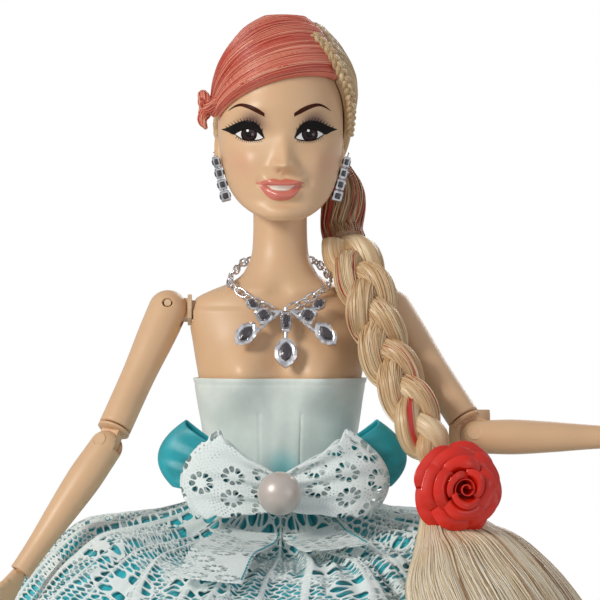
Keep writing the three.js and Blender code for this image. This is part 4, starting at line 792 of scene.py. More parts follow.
def woven_cloth():
    """A plain weave with a slow change of tone, for satin, ribbon and net; the change of tone is painted shade."""
    wires, cloth, shade, deep, thread, crease, hollow = effect(
        "Woven cloth", Cloth=(0.1, 0.5, 0.5, 1), Shade=(0.05, 0.3, 0.3, 1), Deep=(0.0, 0.12, 0.16, 1),
        Thread=3.0, Crease=0.06, Hollow=0.0,
    )
    u, v, _ = wires.parts(wires.uv())
    warp, weft = (wires.math("SINE", way * thread * (2 * math.pi)) for way in (u, v))
    weave = warp * weft
    creases = wires.noise(wires.uv(), crease, 3, 0.55)
    # Painted shade: the shade tone lies where the crease bump is low.
    lit = wires.mixed(wires.step(creases + weave * 0.05, 0.3, 0.7), shade, cloth)
    # Painted shade and a painted reflection: the deep tone is laid by the share that the cloth's attribute gives.
    return wires.results(
        Colour=wires.mixed(wires.step(hollow, 0.55, 1.0), lit, deep), Height=weave * 0.25 + creases,
        Roughness=wires.step(creases, 0.3, 0.7, 0.48, 0.34),
    )


def hex_net(wires, place, thread):
    """A mask of the threads of a six-sided net whose cells are one unit wide."""
    size = (1.0, 1.732, 1.0)
    reaches = []
    for start in (0.0, 0.5):
        cell = wires.vector("ADD", wires.vector("DIVIDE", place, size), (start, start, 0.0))
        inside = wires.vector("SUBTRACT", wires.vector("FRACTION", cell), (0.5, 0.5, 0.0))
        away = wires.vector("ABSOLUTE", wires.vector("MULTIPLY", inside, size))
        slant = wires.vector("DOT_PRODUCT", away, (0.5, 0.866, 0.0))
        reaches.append(wires.math("MAXIMUM", slant, wires.parts(away)[0]))
    low = wires.math("SUBTRACT", 0.5, thread)
    return wires.step(wires.math("MINIMUM", *reaches), low - 0.05, low)


def lace_work():
    """Hex net with rosettes of petal-shaped eyelets, closely worked patches and bunched threads."""
    wires, cell, thread, flower, cover, spread, bunch = effect(
        "Lace work", Cell=1.15, Thread=0.16, Flower=12.0, Cover=0.5, Spread=0.5, Bunch=0.0
    )
    place = wires.uv()
    wander = wires.value("TexNoise", {"Vector": place, "Scale": 0.35}, "Color")
    bent = wires.vector("ADD", place, wires.vector("MULTIPLY", wander, (1.1, 1.1, 0.0)))
    scale = 1.0 / cell
    net = hex_net(wires, wires.scaled(bent, scale, scale), thread)
    pitch = 1.0 / flower
    u, v, _ = wires.parts(wires.scaled(place, pitch, pitch))
    row = wires.math("FLOOR", v)
    staggered = u + wires.math("MODULO", row, 2.0) * 0.5
    x, y = (wires.math("FRACT", way) - 0.5 for way in (staggered, v))
    radius = wires.math("SQRT", x * x + y * y)
    petal_turn = wires.math("ARCTAN2", y, x) * (9 / (2 * math.pi))
    from_spoke = abs(wires.math("FRACT", petal_turn) - 0.5) * 2.0
    hole = abs((radius - 0.3) / 0.115) ** 2.4 + (from_spoke / 0.82) ** 2.4
    eyelets = wires.step(hole, 1.15, 0.85)
    rim = 0.455 + from_spoke * -0.03
    chance = wires.value("TexWhiteNoise", {"Vector": wires.map(wires.math("FLOOR", staggered), row, 3.0)}, "Value")
    rosette = wires.step(radius, rim + 0.015, rim) * (chance > spread)
    close = wires.step(wires.noise(place, 0.13, 2), cover, cover + 0.16)
    fine = scale * 1.9
    worked = close * hex_net(wires, wires.scaled(bent, fine, fine), 0.19)
    bunched = wires.step(bunch, 0.74, 0.86, 0.0, 0.9)
    threads = wires.math("MAXIMUM", wires.math("MAXIMUM", net, worked), wires.math("MAXIMUM", rosette, bunched))
    alpha = wires.math("SUBTRACT", threads, eyelets * rosette, clamp=True)
    return wires.results(
        Alpha=wires.math("MAXIMUM", alpha, bunched) * 0.97, Height=threads * 0.6 + wires.noise(place, 5.0, 2),
        Colour=wires.mixed(wires.noise(place, 1.6, 2), (0.76, 0.88, 0.86, 1), (0.94, 0.98, 0.97, 1)),
    )


def moulded_skin():
    """Soft vinyl with a faint mottle, for every moulded piece, paint and stone."""
    wires, skin, warm = effect("Moulded skin", Skin=(0.8, 0.6, 0.4, 1), Warm=(0.7, 0.4, 0.25, 1))
    place = wires.place()
    mottle = wires.noise(place, 90.0, 2)
    return wires.results(
        Colour=wires.mixed(wires.step(mottle, 0.3, 0.9, 0.0, 0.35), skin, warm),
        Height=wires.noise(place, 4000.0, 2), Roughness=wires.step(mottle, 0.3, 0.7, 0.36, 0.46),
    )


def rubbed_metal():
    """Bright plating with fine rubbing and darker tarnish laid in noise clouds."""
    wires, plate, tarnish = effect("Rubbed metal", Plate=(0.8, 0.8, 0.82, 1), Tarnish=(0.2, 0.19, 0.2, 1))
    place = wires.place()
    cloud = wires.noise(place, 900.0, 3)
    return wires.results(
        Colour=wires.mixed(wires.step(cloud, 0.35, 0.75, 0.0, 0.8), plate, tarnish),
        Height=wires.noise(place, 5000.0, 2), Roughness=wires.step(cloud, 0.3, 0.7, 0.14, 0.32),
    )


class Wardrobe:
    """The doll's materials, each made once and found by its name."""

    def __init__(self):
        self.effects, self.made = {}, {}

    def effect(self, build):
        if build.__name__ not in self.effects:
            self.effects[build.__name__] = build()
        return self.effects[build.__name__]

    def start(self, name, **shader):
        material = bpy.data.materials.new(name)
        material.use_nodes = True
        surface = material.node_tree.nodes["Principled BSDF"]
        for label, value in shader.items():
            surface.inputs[label.replace("_", " ")].default_value = value
        self.made[name] = material
        return material, Wiring(material.node_tree), surface

    def dress(self, name, build, given, bump, tones=(), **shader):
        """A material whose colour, gloss and bump come from one effect.

        A word given for an input is the name of an attribute, and tones are stained in by theirs.
        """
        if name in self.made:
            return self.made[name]
        material, wires, surface = self.start(name, **shader)
        group = wires.add("Group", node_tree=self.effect(build))
        for label, value in given.items():
            wires.feed(group.inputs[label], wires.attribute(value) if isinstance(value, str) else value)
        colours = group.outputs["Colour"]
        for word, tone in tones:
            colours = wires.mixed(wires.attribute(word), colours, toned(tone))
        wires.feed(surface.inputs["Base Color"], colours)
        for label in ("Roughness", "Alpha"):
            if label in group.outputs:
                wires.feed(surface.inputs[label], group.outputs[label])
        wires.feed(surface.inputs["Normal"], wires.bump(group.outputs["Height"], *bump))
        return material


WARDROBE = Wardrobe()

# Hair by name: shade, light and dyed tones, share of dyed strands and width of the locks
HAIRS = {
    "Coral hair": ("fringe", "F0A88C", "BE4532", 0.27, 0.16),
    "Peach hair": ("E08E70", "F6C6A4", "F3E0C0", 0.0, 0.5),
    "Blond hair": ("A98258", "blond", "F6E8CC", 0.12, 0.3),
    "Brown hair": ("8E6440", "C49C70", "F3E0C0", 0.0, 0.5),
    # Gathered hair: darker tones than the blond, painted shade behind the jaw; its red strands are dyed
    "Gathered hair in painted shade": ("8A5C3C", "D9B98A", "9A3A26", 0.16, 0.5),
    "Braided hair": ("C4955F", "F6E2BC", "dye", 0.07, 0.3),
    "Red strands": ("dye 0.5", "dye", "E36A50", 0.1, 0.6),
    "Loose hair": ("E0C79C", "F9F0DC", "B0916C", 0.05, 0.2),
}
# Satins: cloth, shade and deep tones, sheen, and the attribute that lays the deep tone; that tone is painted shade in
# the skirt's crease hollows and a painted turquoise reflection low on the bodice's front
SATINS = {
    "Mint satin": ("bodice", "bodice 0.88", "8ED3D6", 0.5, "fold"),
    "Turquoise satin": ("gown", "gown 0.78", "gown 0.42", 0.3, "fold"),
    "Turquoise ribbon": ("ribbon", "ribbon 0.66", "ribbon 0.42", 0.3, 0.0),
}
# Laces: cell beside the panel's, thread, pitch of the rosettes in mm, cover, spread, and bunched threads
LACES = {
    "Skirt lace": (1.0, 0.075, 9.0, 0.48, 0.45, "fold"),
    "Bow lace": (0.62, 0.27, 6.2, 0.3, 0.12, 0.0),
    "Tail lace": (0.75, 0.2, 6.2, 0.36, 0.25, 0.0),
}
# Soft vinyl: how it glows and shines
VINYL = {"Subsurface_Weight": 0.08, "Subsurface_Scale": 0.002}


def hair_of(name):
    shade, light, dye, dye_share, locks = HAIRS[name]
    given = {"Shade": toned(shade), "Light": toned(light), "Dye": toned(dye), "Dye share": dye_share, "Locks": locks}
    return WARDROBE.dress(name, hair_lay, given, (0.35, 0.12), Specular_IOR_Level=0.6)


def satin_of(name):
    cloth, shade, deep, sheen, hollow = SATINS[name]
    given = {"Cloth": toned(cloth), "Shade": toned(shade), "Deep": toned(deep), "Thread": 2.2, "Crease": 0.16}
    given["Hollow"] = hollow
    return WARDROBE.dress(
        name, woven_cloth, given, (0.12, 0.12), Sheen_Weight=sheen, Specular_IOR_Level=0.5, Anisotropic=0.4
    )


def lace_of(name):
    labels = ("Cell", "Thread", "Flower", "Cover", "Spread", "Bunch")
    given = dict(zip(labels, LACES[name]))
    given["Cell"] = given["Cell"] * bpy.context.scene.doll_sizes.lace_cell / MM
    return WARDROBE.dress(name, lace_work, given, (0.35, 0.15), Roughness=0.75, Sheen_Weight=0.2)


def net_material():
    given = {"Cell": 1.6, "Thread": 0.16, "Cover": 2.0, "Spread": 2.0}
    return WARDROBE.dress("Stiff net", lace_work, given, (0.1, 0.1), Roughness=0.7)


def coated(name, base, deep, bump, tones=(), **shader):
    """Vinyl, plastic, paint, resin or stone in two tones."""
    return WARDROBE.dress(name, moulded_skin, {"Skin": toned(base), "Warm": toned(deep)}, bump, tones, **shader)


def skin_material():
    return coated("Skin vinyl", "skin", "skin 0.74", (0.06, 0.05), Coat_Weight=0.06, Coat_Roughness=0.3, **VINYL)


def plastic_material(name, base, deep):
    return coated(name, base, deep, (0.05, 0.05), Coat_Weight=0.2, Coat_Roughness=0.1)


def paint_material(name, base, deep, coat=0.5):
    specular = 0.5 if coat > 0.1 else 0.12
    return coated(
        name, base, deep, (0.03, 0.03), Coat_Weight=coat, Coat_Roughness=0.12, Specular_IOR_Level=specular
    )


def stone_material(name, base, deep, metallic):
    return coated(
        name, base, deep, (0.02, 0.02), Coat_Weight=1.0, Coat_Roughness=0.03, Specular_IOR_Level=0.8,
        Metallic=metallic,
    )


def silver_material(name="Silver plate", plate="EEEEF2", tarnish="8A8688"):
    given = {"Plate": colour(plate), "Tarnish": colour(tarnish)}
    return WARDROBE.dress(name, rubbed_metal, given, (0.05, 0.05), Metallic=1.0)


def strand_count(part):
    return max(1, round(STRANDS[part] * bpy.context.scene.doll_sizes.hair_fullness))


# Body
def body_relief(x, height, front):
    """Collar bones, breastbone, spine and shoulder blades on the plain torso."""
    above = height - SHOULDER_HEIGHT
    collar = bell(above - 3.6 - 0.12 * np.abs(x), 1.1)
    collar = collar * smooth_step(np.abs(x), 1.2, 3.5) * (1 - smooth_step(np.abs(x), 10, 14))
    hollow = bell(x, 1.6) * bell(above - 4.4, 1.8)
    front_relief = 0.5 * collar - 0.45 * hollow - 0.3 * bell(x, 1.8) * bell(above + 14, 9)
    navel = -0.8 * bell(x, 0.8) * bell(above + 48, 0.9)
    blades = bell(np.abs(x) - 8, 3) * bell(above + 9, 6)
    spine = -0.55 * bell(x, 1.6) * bell(above + 30, 26)
    return np.where(front, front_relief + navel, 0.5 * blades + spine)


def torso_piece():
    heights = np.linspace(TORSO_BOTTOM, NECK_TOP, 190)[:, None]
    angle = ring_angles(128)[None, :]
    points = torso_point(angle, heights, 0)
    relief = body_relief(points[..., 0], heights, np.sin(angle) < 0)
    points[..., 1] += np.sin(angle) * relief * np.minimum(1, np.abs(np.sin(angle)) * 2)
    torso = Form().loft(points).piece("torso_skin", skin_material())
    cutters = []
    for side in (-1, 1):
        seat = shifted(side * (SHOULDER_X - SHOULDER_REACH), 0, SHOULDER_HEIGHT) @ turned("y", 90)
        hip = shifted(side * HIP_SPREAD, HIP_SETBACK, HIP_HEIGHT)
        yoke = shifted(side * 2.95, HIP_SETBACK, HIP_HEIGHT) @ turned("y", 90)
        wide = SHOULDER_HALF * 2
        cutters += [
            cylinder("disc_room", *DISC_ROOM, seat @ shifted(0, 0, side * (SHOULDER_HALF / 2 - SEAT_GAP))),
            cylinder("peg_room", *SHOULDER_PEG_ROOM, seat),
            ball("hip_room", THIGH_TOP + SEAT_GAP * 1.5, hip),
            cylinder("yoke_room", *HIP_YOKE_ROOM, yoke),
            cylinder("eye_room", *HIP_EYE_ROOM, yoke @ shifted(0, 0, side * 3.4)),
            block("leg_room", (wide, wide * 2, 8), shifted(side * (2.6 + wide / 2), 0, HIP_HEIGHT - 4)),
        ]
    carve(torso, *cutters)
    carve(torso, cylinder("neck_room", *NECK_ROOM, shifted(0, NECK_SETBACK, NECK_TOP)))
    worn(torso, "torso", "skin", "torso_front", "torso_back")


def limb_rings(top, rows, length, radius, sides=56):
    """A limb along -Z with a ball for its top, from its table of shares."""
    dome = np.linspace(0.03, 0.97, 14) * math.pi / 2
    table = SmoothTable([(s, w * radius, d * radius, (f[0] if f else 0) * radius) for s, w, d, *f in rows])
    share = np.linspace(0, rows[-1][0], 64)
    wide, deep, forward = table(share)
    height = np.concatenate([top * np.cos(dome), -share * length])
    wide = np.concatenate([top * np.sin(dome), wide])
    deep = np.concatenate([top * np.sin(dome), deep])
    forward = np.concatenate([0 * dome, forward])
    angle = ring_angles(sides)
    return stacked(
        wide[:, None] * np.cos(angle), deep[:, None] * np.sin(angle) - forward[:, None], height[:, None]
    )


def arm_places(arm):
    """The placing of the upper arm, knuckle, forearm and hand, from their own angles."""
    shoulder = shifted(arm["side"] * (SHOULDER_X - SHOULDER_REACH), 0, SHOULDER_HEIGHT)
    shoulder = shoulder @ np.diag([arm["side"], 1, 1, 1.0]) @ turned("x", -arm["swing"])
    upper = shoulder @ shifted(SHOULDER_REACH, 0, 0) @ turned("y", -arm["spread"])
    knuckle = upper @ shifted(0, 0, -ARM_END - SEAT_GAP) @ turned("z", arm["twist"])
    forearm = knuckle @ shifted(0, 0, -ELBOW_REACH) @ turned("y", -arm["bend"])
    return upper, knuckle, forearm, forearm @ shifted(0, 0, -FOREARM_LENGTH) @ turned("z", arm["wrist"])


def eye_slot(name, top, eye, thick, side, place):
    """A block that opens a limb's ball over its top and down one side, for a flat eye."""
    width, depth, reach = thick + 2 * RUNNING_GAP, eye + 2 * RUNNING_GAP, top + 2
    middle = (reach - depth) / 2
    over = block(name + "_over", (2 * reach, width, reach), place @ shifted(0, 0, reach / 2))
    both = reach + depth
    beside = block(name + "_beside", (both, width, both), place @ shifted(side * middle, 0, middle))
    return [over, beside]


def arm_pieces(name, arm):
    upper, knuckle, forearm, _ = arm_places(arm)
    rings = limb_rings(ARM_TOP, UPPER_ARM_SHARES, ARM_END, ARM_RADIUS)
    item = Form().loft(moved(rings, upper)).piece("upper_arm_skin_" + name, skin_material())
    hole = cylinder("pin_hole", *SHOULDER_PIN_HOLE, upper @ turned("x", 90))
    socket = cylinder("peg_hole", *ELBOW_PEG_HOLE, upper @ shifted(0, 0, -ARM_END))
    carve(item, *eye_slot("slot", ARM_TOP, 2.2, 2, -1, upper), hole, socket)
    worn(item, name + "_upper_arm", "skin", "upper_arm_" + name)

    rings = limb_rings(ELBOW_RADIUS, FOREARM_SHARES, FOREARM_LENGTH - SEAT_GAP, ELBOW_RADIUS)
    item = Form().loft(moved(rings, forearm)).piece("forearm_skin_" + name, skin_material())
    hole = cylinder("pin_hole", *ELBOW_PIN_HOLE, forearm @ turned("x", 90))
    socket = cylinder("peg_hole", *WRIST_PEG_HOLE, forearm @ shifted(0, 0, SEAT_GAP - FOREARM_LENGTH))
    carve(item, *eye_slot("slot", ELBOW_RADIUS, 2.1, 2, 1, forearm), hole, socket)
    worn(item, name + "_forearm", "skin", "forearm_" + name)

    disc = [(0.05, 0.35), (1.5, 0.35), (1.62, 0.2), (1.62, -2), (0.05, -2)]
    caps = Form()
    reach = ELBOW_RADIUS - SEAT_GAP / 2
    for way in (-1, 1):
        caps.lathe([(r, h + reach - 0.35) for r, h in disc], forearm @ turned("x", 90 * way), 28)
    pin = caps.piece("elbow_rivet_" + name, skin_material(), sharp=40)
    worn(pin, name + "_forearm", "skin", "elbow_pin_" + name)

    turned_knuckle = [
        (0.05, -4.5), (1.5, -4.5), (1.5, 0), (ELBOW_RADIUS - 0.25, 0), (ELBOW_RADIUS, 0.2),
        (ELBOW_RADIUS, 0.55), (ELBOW_RADIUS - 0.2, 0.7), (0.05, 0.7),
    ]
    form = Form().lathe(turned_knuckle, knuckle @ turned("y", 180), 40)
    around = np.linspace(-math.pi / 2, math.pi / 2, 20)
    arc = np.stack([ELBOW_REACH + 2.1 * np.cos(around), 2.1 * np.sin(around)], 1)
    outline = np.concatenate([[[0.3, -2.1]], arc, [[0.3, 2.1]]])
    plate = np.stack([stacked(outline[:, 1], y, -outline[:, 0]) for y in (-1, 1)])
    form.loft(moved(plate, knuckle))
    item = form.piece("elbow_joint_" + name, skin_material(), sharp=40)
    carve(item, cylinder("pin_hole", *KNUCKLE_PIN_HOLE, forearm @ turned("x", 90)))
    worn(item, name + "_elbow", "skin", "elbow_knuckle_" + name)


def finger_rings(length, radius, bend):
    share = np.array([0, 0.12, 0.3, 0.46, 0.54, 0.7, 0.8, 0.88, 0.94, 0.98, 1])
    size = np.array([1, 0.98, 1, 0.93, 0.95, 0.88, 0.86, 0.8, 0.66, 0.44, 0.12])
    angle = ring_angles(16)
    x = radius * size[:, None] * np.cos(angle) - bend * share[:, None] ** 2
    return stacked(x, radius * size[:, None] * np.sin(angle), -share[:, None] * length)


def hand_piece(name, arm):
    """Palm, four fingers and a thumb melted into one moulded hand."""
    place = arm_places(arm)[3]
    long, wide, thick = PALM
    finger_long, finger_radius = FINGER
    palm = SmoothTable([(0, 0.66, 0.78), (0.25, 0.8, 0.9), (0.6, 1, 1), (0.9, 0.98, 0.86), (1, 0.9, 0.7)])
    share = np.linspace(0, 1, 14)
    across, deep = palm(share)
    angle = ring_angles(28)
    form = Form().loft(moved(stacked(
        thick / 2 * deep[:, None] * np.cos(angle), wide / 2 * across[:, None] * np.sin(angle), -share[:, None] * long,
    ), place))
    for root, length, fan in ((-0.37, 0.92, -7), (-0.12, 1, -2), (0.13, 0.95, 3), (0.36, 0.76, 9)):
        rings = finger_rings(length * finger_long + long * 0.1, finger_radius, thick * 0.55)
        form.loft(moved(rings, place @ shifted(0, root * wide, -long * 0.9) @ turned("x", fan)))
    rings = finger_rings(6, finger_radius * 1.15, thick * 0.3)
    form.loft(moved(rings, place @ shifted(-thick * 0.15, -wide * 0.3, -long * 0.35) @ turned("x", -32)))
    form.lathe([(0.05, -1.7), (1.1, -1.7), (1.1, 3.3), (0.05, 3.4)], place)
    item = form.piece("hand_skin_" + name, skin_material())
    melt = item.modifiers.new("melt", "REMESH")
    melt.mode, melt.voxel_size = "VOXEL", 0.22 * MM
    ease = item.modifiers.new("ease", "SMOOTH")
    ease.factor, ease.iterations = 0.5, 3
    settle(item)
    item.data.polygons.foreach_set("use_smooth", [True] * len(item.data.polygons))
    worn(item, name + "_hand", "skin", "hand_" + name)


def foot_rings(grow, cover=1):
    """A foot from heel to toe, grown all round and cut off at a share of its height."""
    share = FOOT_STEPS
    wide, top, under = SmoothTable(FOOT_SHARES)(share)
    base = SOLE + SEAT_GAP
    low = base + under * ANKLE_HEIGHT - grow
    high = base + mix(under, top, cover) * ANKLE_HEIGHT + grow
    y = FOOT_LENGTH * (0.24 - share) + grow * (1 - 2 * share)
    angle = ring_angles(40)
    x = (wide * FOOT_HALF + grow)[:, None] * np.cos(angle)
    level = mix(low[:, None], high[:, None], (1 + np.sin(angle)) / 2)
    return stacked(x, y[:, None], level)


def leg_pieces(name, side):
    hip = shifted(side * HIP_SPREAD, HIP_SETBACK, HIP_HEIGHT) @ np.diag([side, 1, 1, 1.0])
    knee = hip @ shifted(0, 0, -THIGH_LENGTH)
    thigh_end = THIGH_LENGTH - KNEE_RADIUS - SEAT_GAP
    rings = limb_rings(THIGH_TOP, THIGH_SHARES, thigh_end, THIGH_TOP, 48)
    item = Form().loft(moved(rings, hip)).piece("thigh_skin_" + name, skin_material())
    hole = cylinder("pin_hole", *HIP_PIN_HOLE, hip @ turned("x", 90))
    carve(item, *eye_slot("slot", THIGH_TOP, 3.2, 3, -1, hip), hole)
    around = np.linspace(-math.pi / 2, math.pi / 2, 24)
    arc = np.stack([KNEE_EYE * np.sin(around), -KNEE_EYE * np.cos(around)], 1)
    top = KNEE_RADIUS + SEAT_GAP * 4
    outline = np.concatenate([[[-KNEE_EYE, top]], arc, [[KNEE_EYE, top]]])
    plate = np.stack([stacked(x, outline[:, 0], outline[:, 1]) for x in (-1.5, 1.5)])
    eye = Form().loft(moved(plate, knee)).piece("knee_eye_" + name, skin_material(), sharp=40)
    carve(eye, cylinder("pin_hole", *KNEE_EYE_HOLE, knee @ turned("y", 90)))
    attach(eye, name + "_thigh")
    worn(item, name + "_thigh", "skin", "thigh_" + name)

    rings = limb_rings(KNEE_RADIUS, SHIN_SHARES, SHIN_LENGTH, KNEE_RADIUS, 48)
    floor = knee @ shifted(0, 0, -SHIN_LENGTH - ANKLE_HEIGHT)
    form = Form().loft(moved(rings, knee)).loft(moved(foot_rings(0), floor))
    item = form.piece("shin_skin_" + name, skin_material())
    slot = block("slot", (3.6, KNEE_RADIUS * 2 + 2, KNEE_RADIUS + 4.2), knee @ shifted(0, 0, 0.55))
    hole = cylinder("pin_hole", *KNEE_PIN_HOLE, knee @ turned("y", 90))
    carve(item, slot, hole)
    worn(item, name + "_shin", "skin", "shin_" + name)

    upper = Form().loft(moved(foot_rings(SHOE_WALL, SHOE_OPENING), floor)).piece("shoe_" + name + "_upper")
    room = Form().loft(moved(foot_rings(SEAT_GAP * 0.5), floor)).piece("foot_room")
    leg_room = cylinder("leg_room", *LEG_ROOM, knee @ shifted(0, 0, HEEL_HEIGHT - SHIN_LENGTH))
    sole = Form()
    heel = [(0.05, 0), (1, 0), (0.95, 1), (1.05, 2.6), (1.5, 4.4), (2.3, HEEL_HEIGHT), (0.05, HEEL_HEIGHT)]
    sole.lathe(heel, floor @ shifted(0, FOOT_LENGTH * 0.15, 0), 32)
    share = np.linspace(0, 1, 24)
    half = FOOT_HALF * 0.86 * np.sqrt(np.clip(np.sin(math.pi * (0.12 + 0.8 * share)), 0, 1))
    y = FOOT_LENGTH * (-0.33 - 0.41 * share)
    plate = np.concatenate([np.stack([half, y], 1), np.stack([-half, y], 1)[::-1]])
    sole.loft(moved(np.stack([stacked(plate[:, 0], plate[:, 1], z) for z in (0, SOLE)]), floor))
    sole = sole.piece("shoe_sole_" + name, plastic_material("Shoe plastic", "A9DCE2", "7FC4CE"), sharp=40)
    carve(upper, room, leg_room)
    upper.name = "shoe_upper_" + name
    upper.data.materials.clear()
    upper.data.materials.append(plastic_material("Shoe plastic", "A9DCE2", "7FC4CE"))
    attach(upper, name + "_shin")
    worn(sole, name + "_shin", "shoe_plastic", "shoe_" + name)


# Head and face
NOSE_TIP = 10.9
MOUTH = 6.3
EYE_LEVEL = 17.3
EYE_SPREAD = 6.15


def face_relief(x, above):
    """Nose, lips, cheeks, chin and eye sockets, as they stand out of the plain skull."""
    rise = np.clip((NOSE_TIP + 7.4 - above) / 7.4, 0, 1) ** 1.35
    under = np.clip((above - (NOSE_TIP - 2.0)) / 2.0, 0, 1)
    ridge = np.where(above > NOSE_TIP, rise, under * under * (3 - 2 * under))
    nose = 2.8 * ridge * bell(x, 1.5 + 0.6 * ridge**2) + 0.35 * bell(x, 1.1) * bell(above - NOSE_TIP, 1.3)
    wings = 0.75 * bell(np.abs(x) - 1.75, 0.75) * bell(above - NOSE_TIP - 0.15, 0.95)
    nostrils = -0.55 * bell(np.abs(x) - 0.95, 0.42) * bell(above - NOSE_TIP + 1.05, 0.4)
    line = MOUTH + 0.05 * x * x
    upper = 0.85 * bell(above - line - 0.95, 0.75) * smooth_step(4.9 - np.abs(x), 0, 2.6)
    lower = 1.15 * bell(above - line + 1.35, 0.95) * smooth_step(4.1 - np.abs(x), 0, 3)
    parting = -0.55 * bell(above - line, 0.42) * smooth_step(4.6 - np.abs(x), 0, 1.4)
    corners = -0.3 * bell(np.abs(x) - 5, 0.7) * bell(above - MOUTH - 1.4, 0.9)
    groove = -0.22 * bell(x, 0.55) * bell(above - MOUTH - 2.9, 0.8)
    below_lip = -0.4 * bell(x, 2.4) * bell(above - 3.2, 0.7)
    chin = 0.5 * bell(x, 2.8) * bell(above - 1.6, 1.5)
    cheeks = 0.55 * bell(np.abs(x) - 7.3, 2.5) * bell(above - 12, 3)
    eyes = np.abs(x) - EYE_SPREAD
    sockets = -1.15 * bell(eyes, 3.5) * bell(above - EYE_LEVEL, 2.6)
    balls = 0.75 * bell(eyes, 2.3) * bell(above - EYE_LEVEL + 0.1, 1.55)
    lids = 0.3 * bell(eyes, 3) * bell(above - EYE_LEVEL - 2.3 + 0.06 * eyes**2, 0.55)
    brows = 0.35 * bell(eyes, 3.4) * bell(above - EYE_LEVEL - 4.6, 1.3)
    return (
        nose + wings + nostrils + upper + lower + parting + corners + groove
        + below_lip + chin + cheeks + sockets + balls + lids + brows
    )


def head_grid():
    share = np.linspace(0, 1, 190)
    height = CHIN + HEAD_HEIGHT * mix(share, share**1.15, 0.4)
    even = ring_angles(240)
    angle = (even - 0.3 * np.sin(even))[None, :]
    points = head_point(height[:, None], 0, angle)
    front = np.clip(3 * np.cos(angle), 0, 1)
    points[..., 1] -= face_relief(points[..., 0], points[..., 2] - CHIN) * front
    return points


def ear_grid(side):
    """A moulded ear: rim, hollow and lobe on a flattened disc."""
    radius = np.linspace(0.02, 1, 14)[:, None]
    angle = ring_angles(48)[None, :]
    tall = 4 * (1 - 0.18 * bell(angle - 4.71, 0.7))
    x = 1.25 * np.sqrt(1 - radius**2) + 0.35 * bell(radius - 0.78, 0.14) - 0.5 * bell(radius - 0.4, 0.22)
    y = 2.3 * radius * np.cos(angle)
    z = tall * radius * np.sin(angle)
    outer = stacked(side * (x + 0.12 * y), y + 0.2 * z, z)
    return outer + np.array([side * (HEAD_HALF - 0.75), 0.6, CHIN + 14.2])


def head_piece():
    grid = head_grid()
    form = Form().loft(moved(grid, HEAD_PLACE))
    for side in (-1, 1):
        outer = moved(ear_grid(side), HEAD_PLACE)
        inner = outer + np.array([-side * 2.2, 0, 0])
        form.slab(outer, inner, closed=True)
    item = form.piece("head_skin", head_material())
    local = moved(np.array([v.co for v in item.data.vertices]) / MM, np.linalg.inv(HEAD_PLACE))
    x, above = local[:, 0], local[:, 2] - CHIN
    front = (local[:, 1] < -2).astype(float)
    eyes = np.abs(x + 0.1) - EYE_SPREAD
    lid = bell(eyes - 0.1, 3.1) ** 1.5 * bell(above - EYE_LEVEL - 2.1 + 0.05 * eyes**2, 2.1)
    shadow = np.clip(1.25 * lid, 0, 1) * smooth_step(above, EYE_LEVEL - 1.2, EYE_LEVEL + 0.6)
    blush = bell(np.abs(x) - 8.6, 2.8) * bell(above - 11.2 - 0.25 * (np.abs(x) - 8), 3)
    for name, values in (("eyeshadow", shadow * front), ("blush", 0.55 * blush * front)):
        layer = item.data.attributes.new(name, "FLOAT", "POINT")
        layer.data.foreach_set("value", values.astype(np.float32))
    recess = cylinder("neck_recess", *NECK_RECESS, HEAD_PLACE @ shifted(0, 0, -2 - 15))
    slot = block("swivel_slot", (3.6, 8, 6.7), HEAD_PLACE @ shifted(0, 0, 2.9 - 3.35))
    bore = cylinder("pin_bore", *NECK_PIN_BORE, HEAD_PLACE @ turned("y", 90))
    carve(item, recess, slot, bore)
    worn(item, "head", "skin", "head")
    return item


def head_material():
    return coated(
        "Face vinyl", "skin", "skin 0.82", (0.06, 0.05), (("blush", "DDA283"), ("eyeshadow", "7C5A4C")),
        Coat_Weight=0.05, Coat_Roughness=0.35, **VINYL,
    )


def painted(form, tree, xs, low, high, rows=5, lift=0.07, mark=0):
    """A patch of paint between two outlines, laid on the face from the front."""
    share = down_rows(rows)
    xs = np.asarray(xs, float)[None, :]
    z = mix(np.asarray(low, float)[None, :], np.asarray(high, float)[None, :], share)
    starts = stacked(xs + 0 * z, -60, z)
    places, _ = cast(tree, starts, stacked(0 * z, 1, 0))
    outer, inner = places.copy(), places.copy()
    outer[..., 1] -= lift
    inner[..., 1] += 0.12
    return form.slab(outer, inner, mark=mark)


def outline(points, xs):
    table = np.array(points, float)
    order = np.argsort(table[:, 0])
    return SmoothTable(table[order])(xs)[0]


# Face paint, in millimetres across and up from the floor: measured on one eye, mirrored for the other
EYE_MIRROR = -0.1
UPPER_LID = [
    (-9.1, 271.3), (-8.3, 271.7), (-7.3, 272.1), (-6.1, 272.25), (-4.9, 271.85), (-4.0, 271.15),
    (-3.3, 270.4),
]
LOWER_LID = [
    (-9.1, 271.4), (-8.4, 270.85), (-7.3, 270.2), (-6.1, 269.95), (-4.9, 270.0), (-3.9, 270.15),
    (-3.3, 270.4),
]
LINER_TOP = [
    (-11.7, 272.38), (-10.4, 272.7), (-9.4, 273.15), (-8.3, 273.6), (-7, 273.9), (-5.6, 273.75),
    (-4.4, 273.0), (-3.6, 271.9), (-3.1, 270.5),
]
LINER_LOW = [
    (-11.7, 272.3), (-10.4, 271.75), (-9.3, 271.2), (-8.3, 271.65), (-7.3, 272.05), (-6.1, 272.2),
    (-4.9, 271.8), (-4.0, 271.1), (-3.1, 270.25),
]
BROW_TOP = [(-10.4, 275.95), (-9.3, 276.8), (-8.0, 277.3), (-6.4, 277.1), (-4.6, 276.35), (-3.05, 275.3)]
BROW_LOW = [(-10.4, 275.85), (-9.3, 276.45), (-8.0, 276.75), (-6.4, 276.25), (-4.6, 275.35), (-3.05, 274.6)]
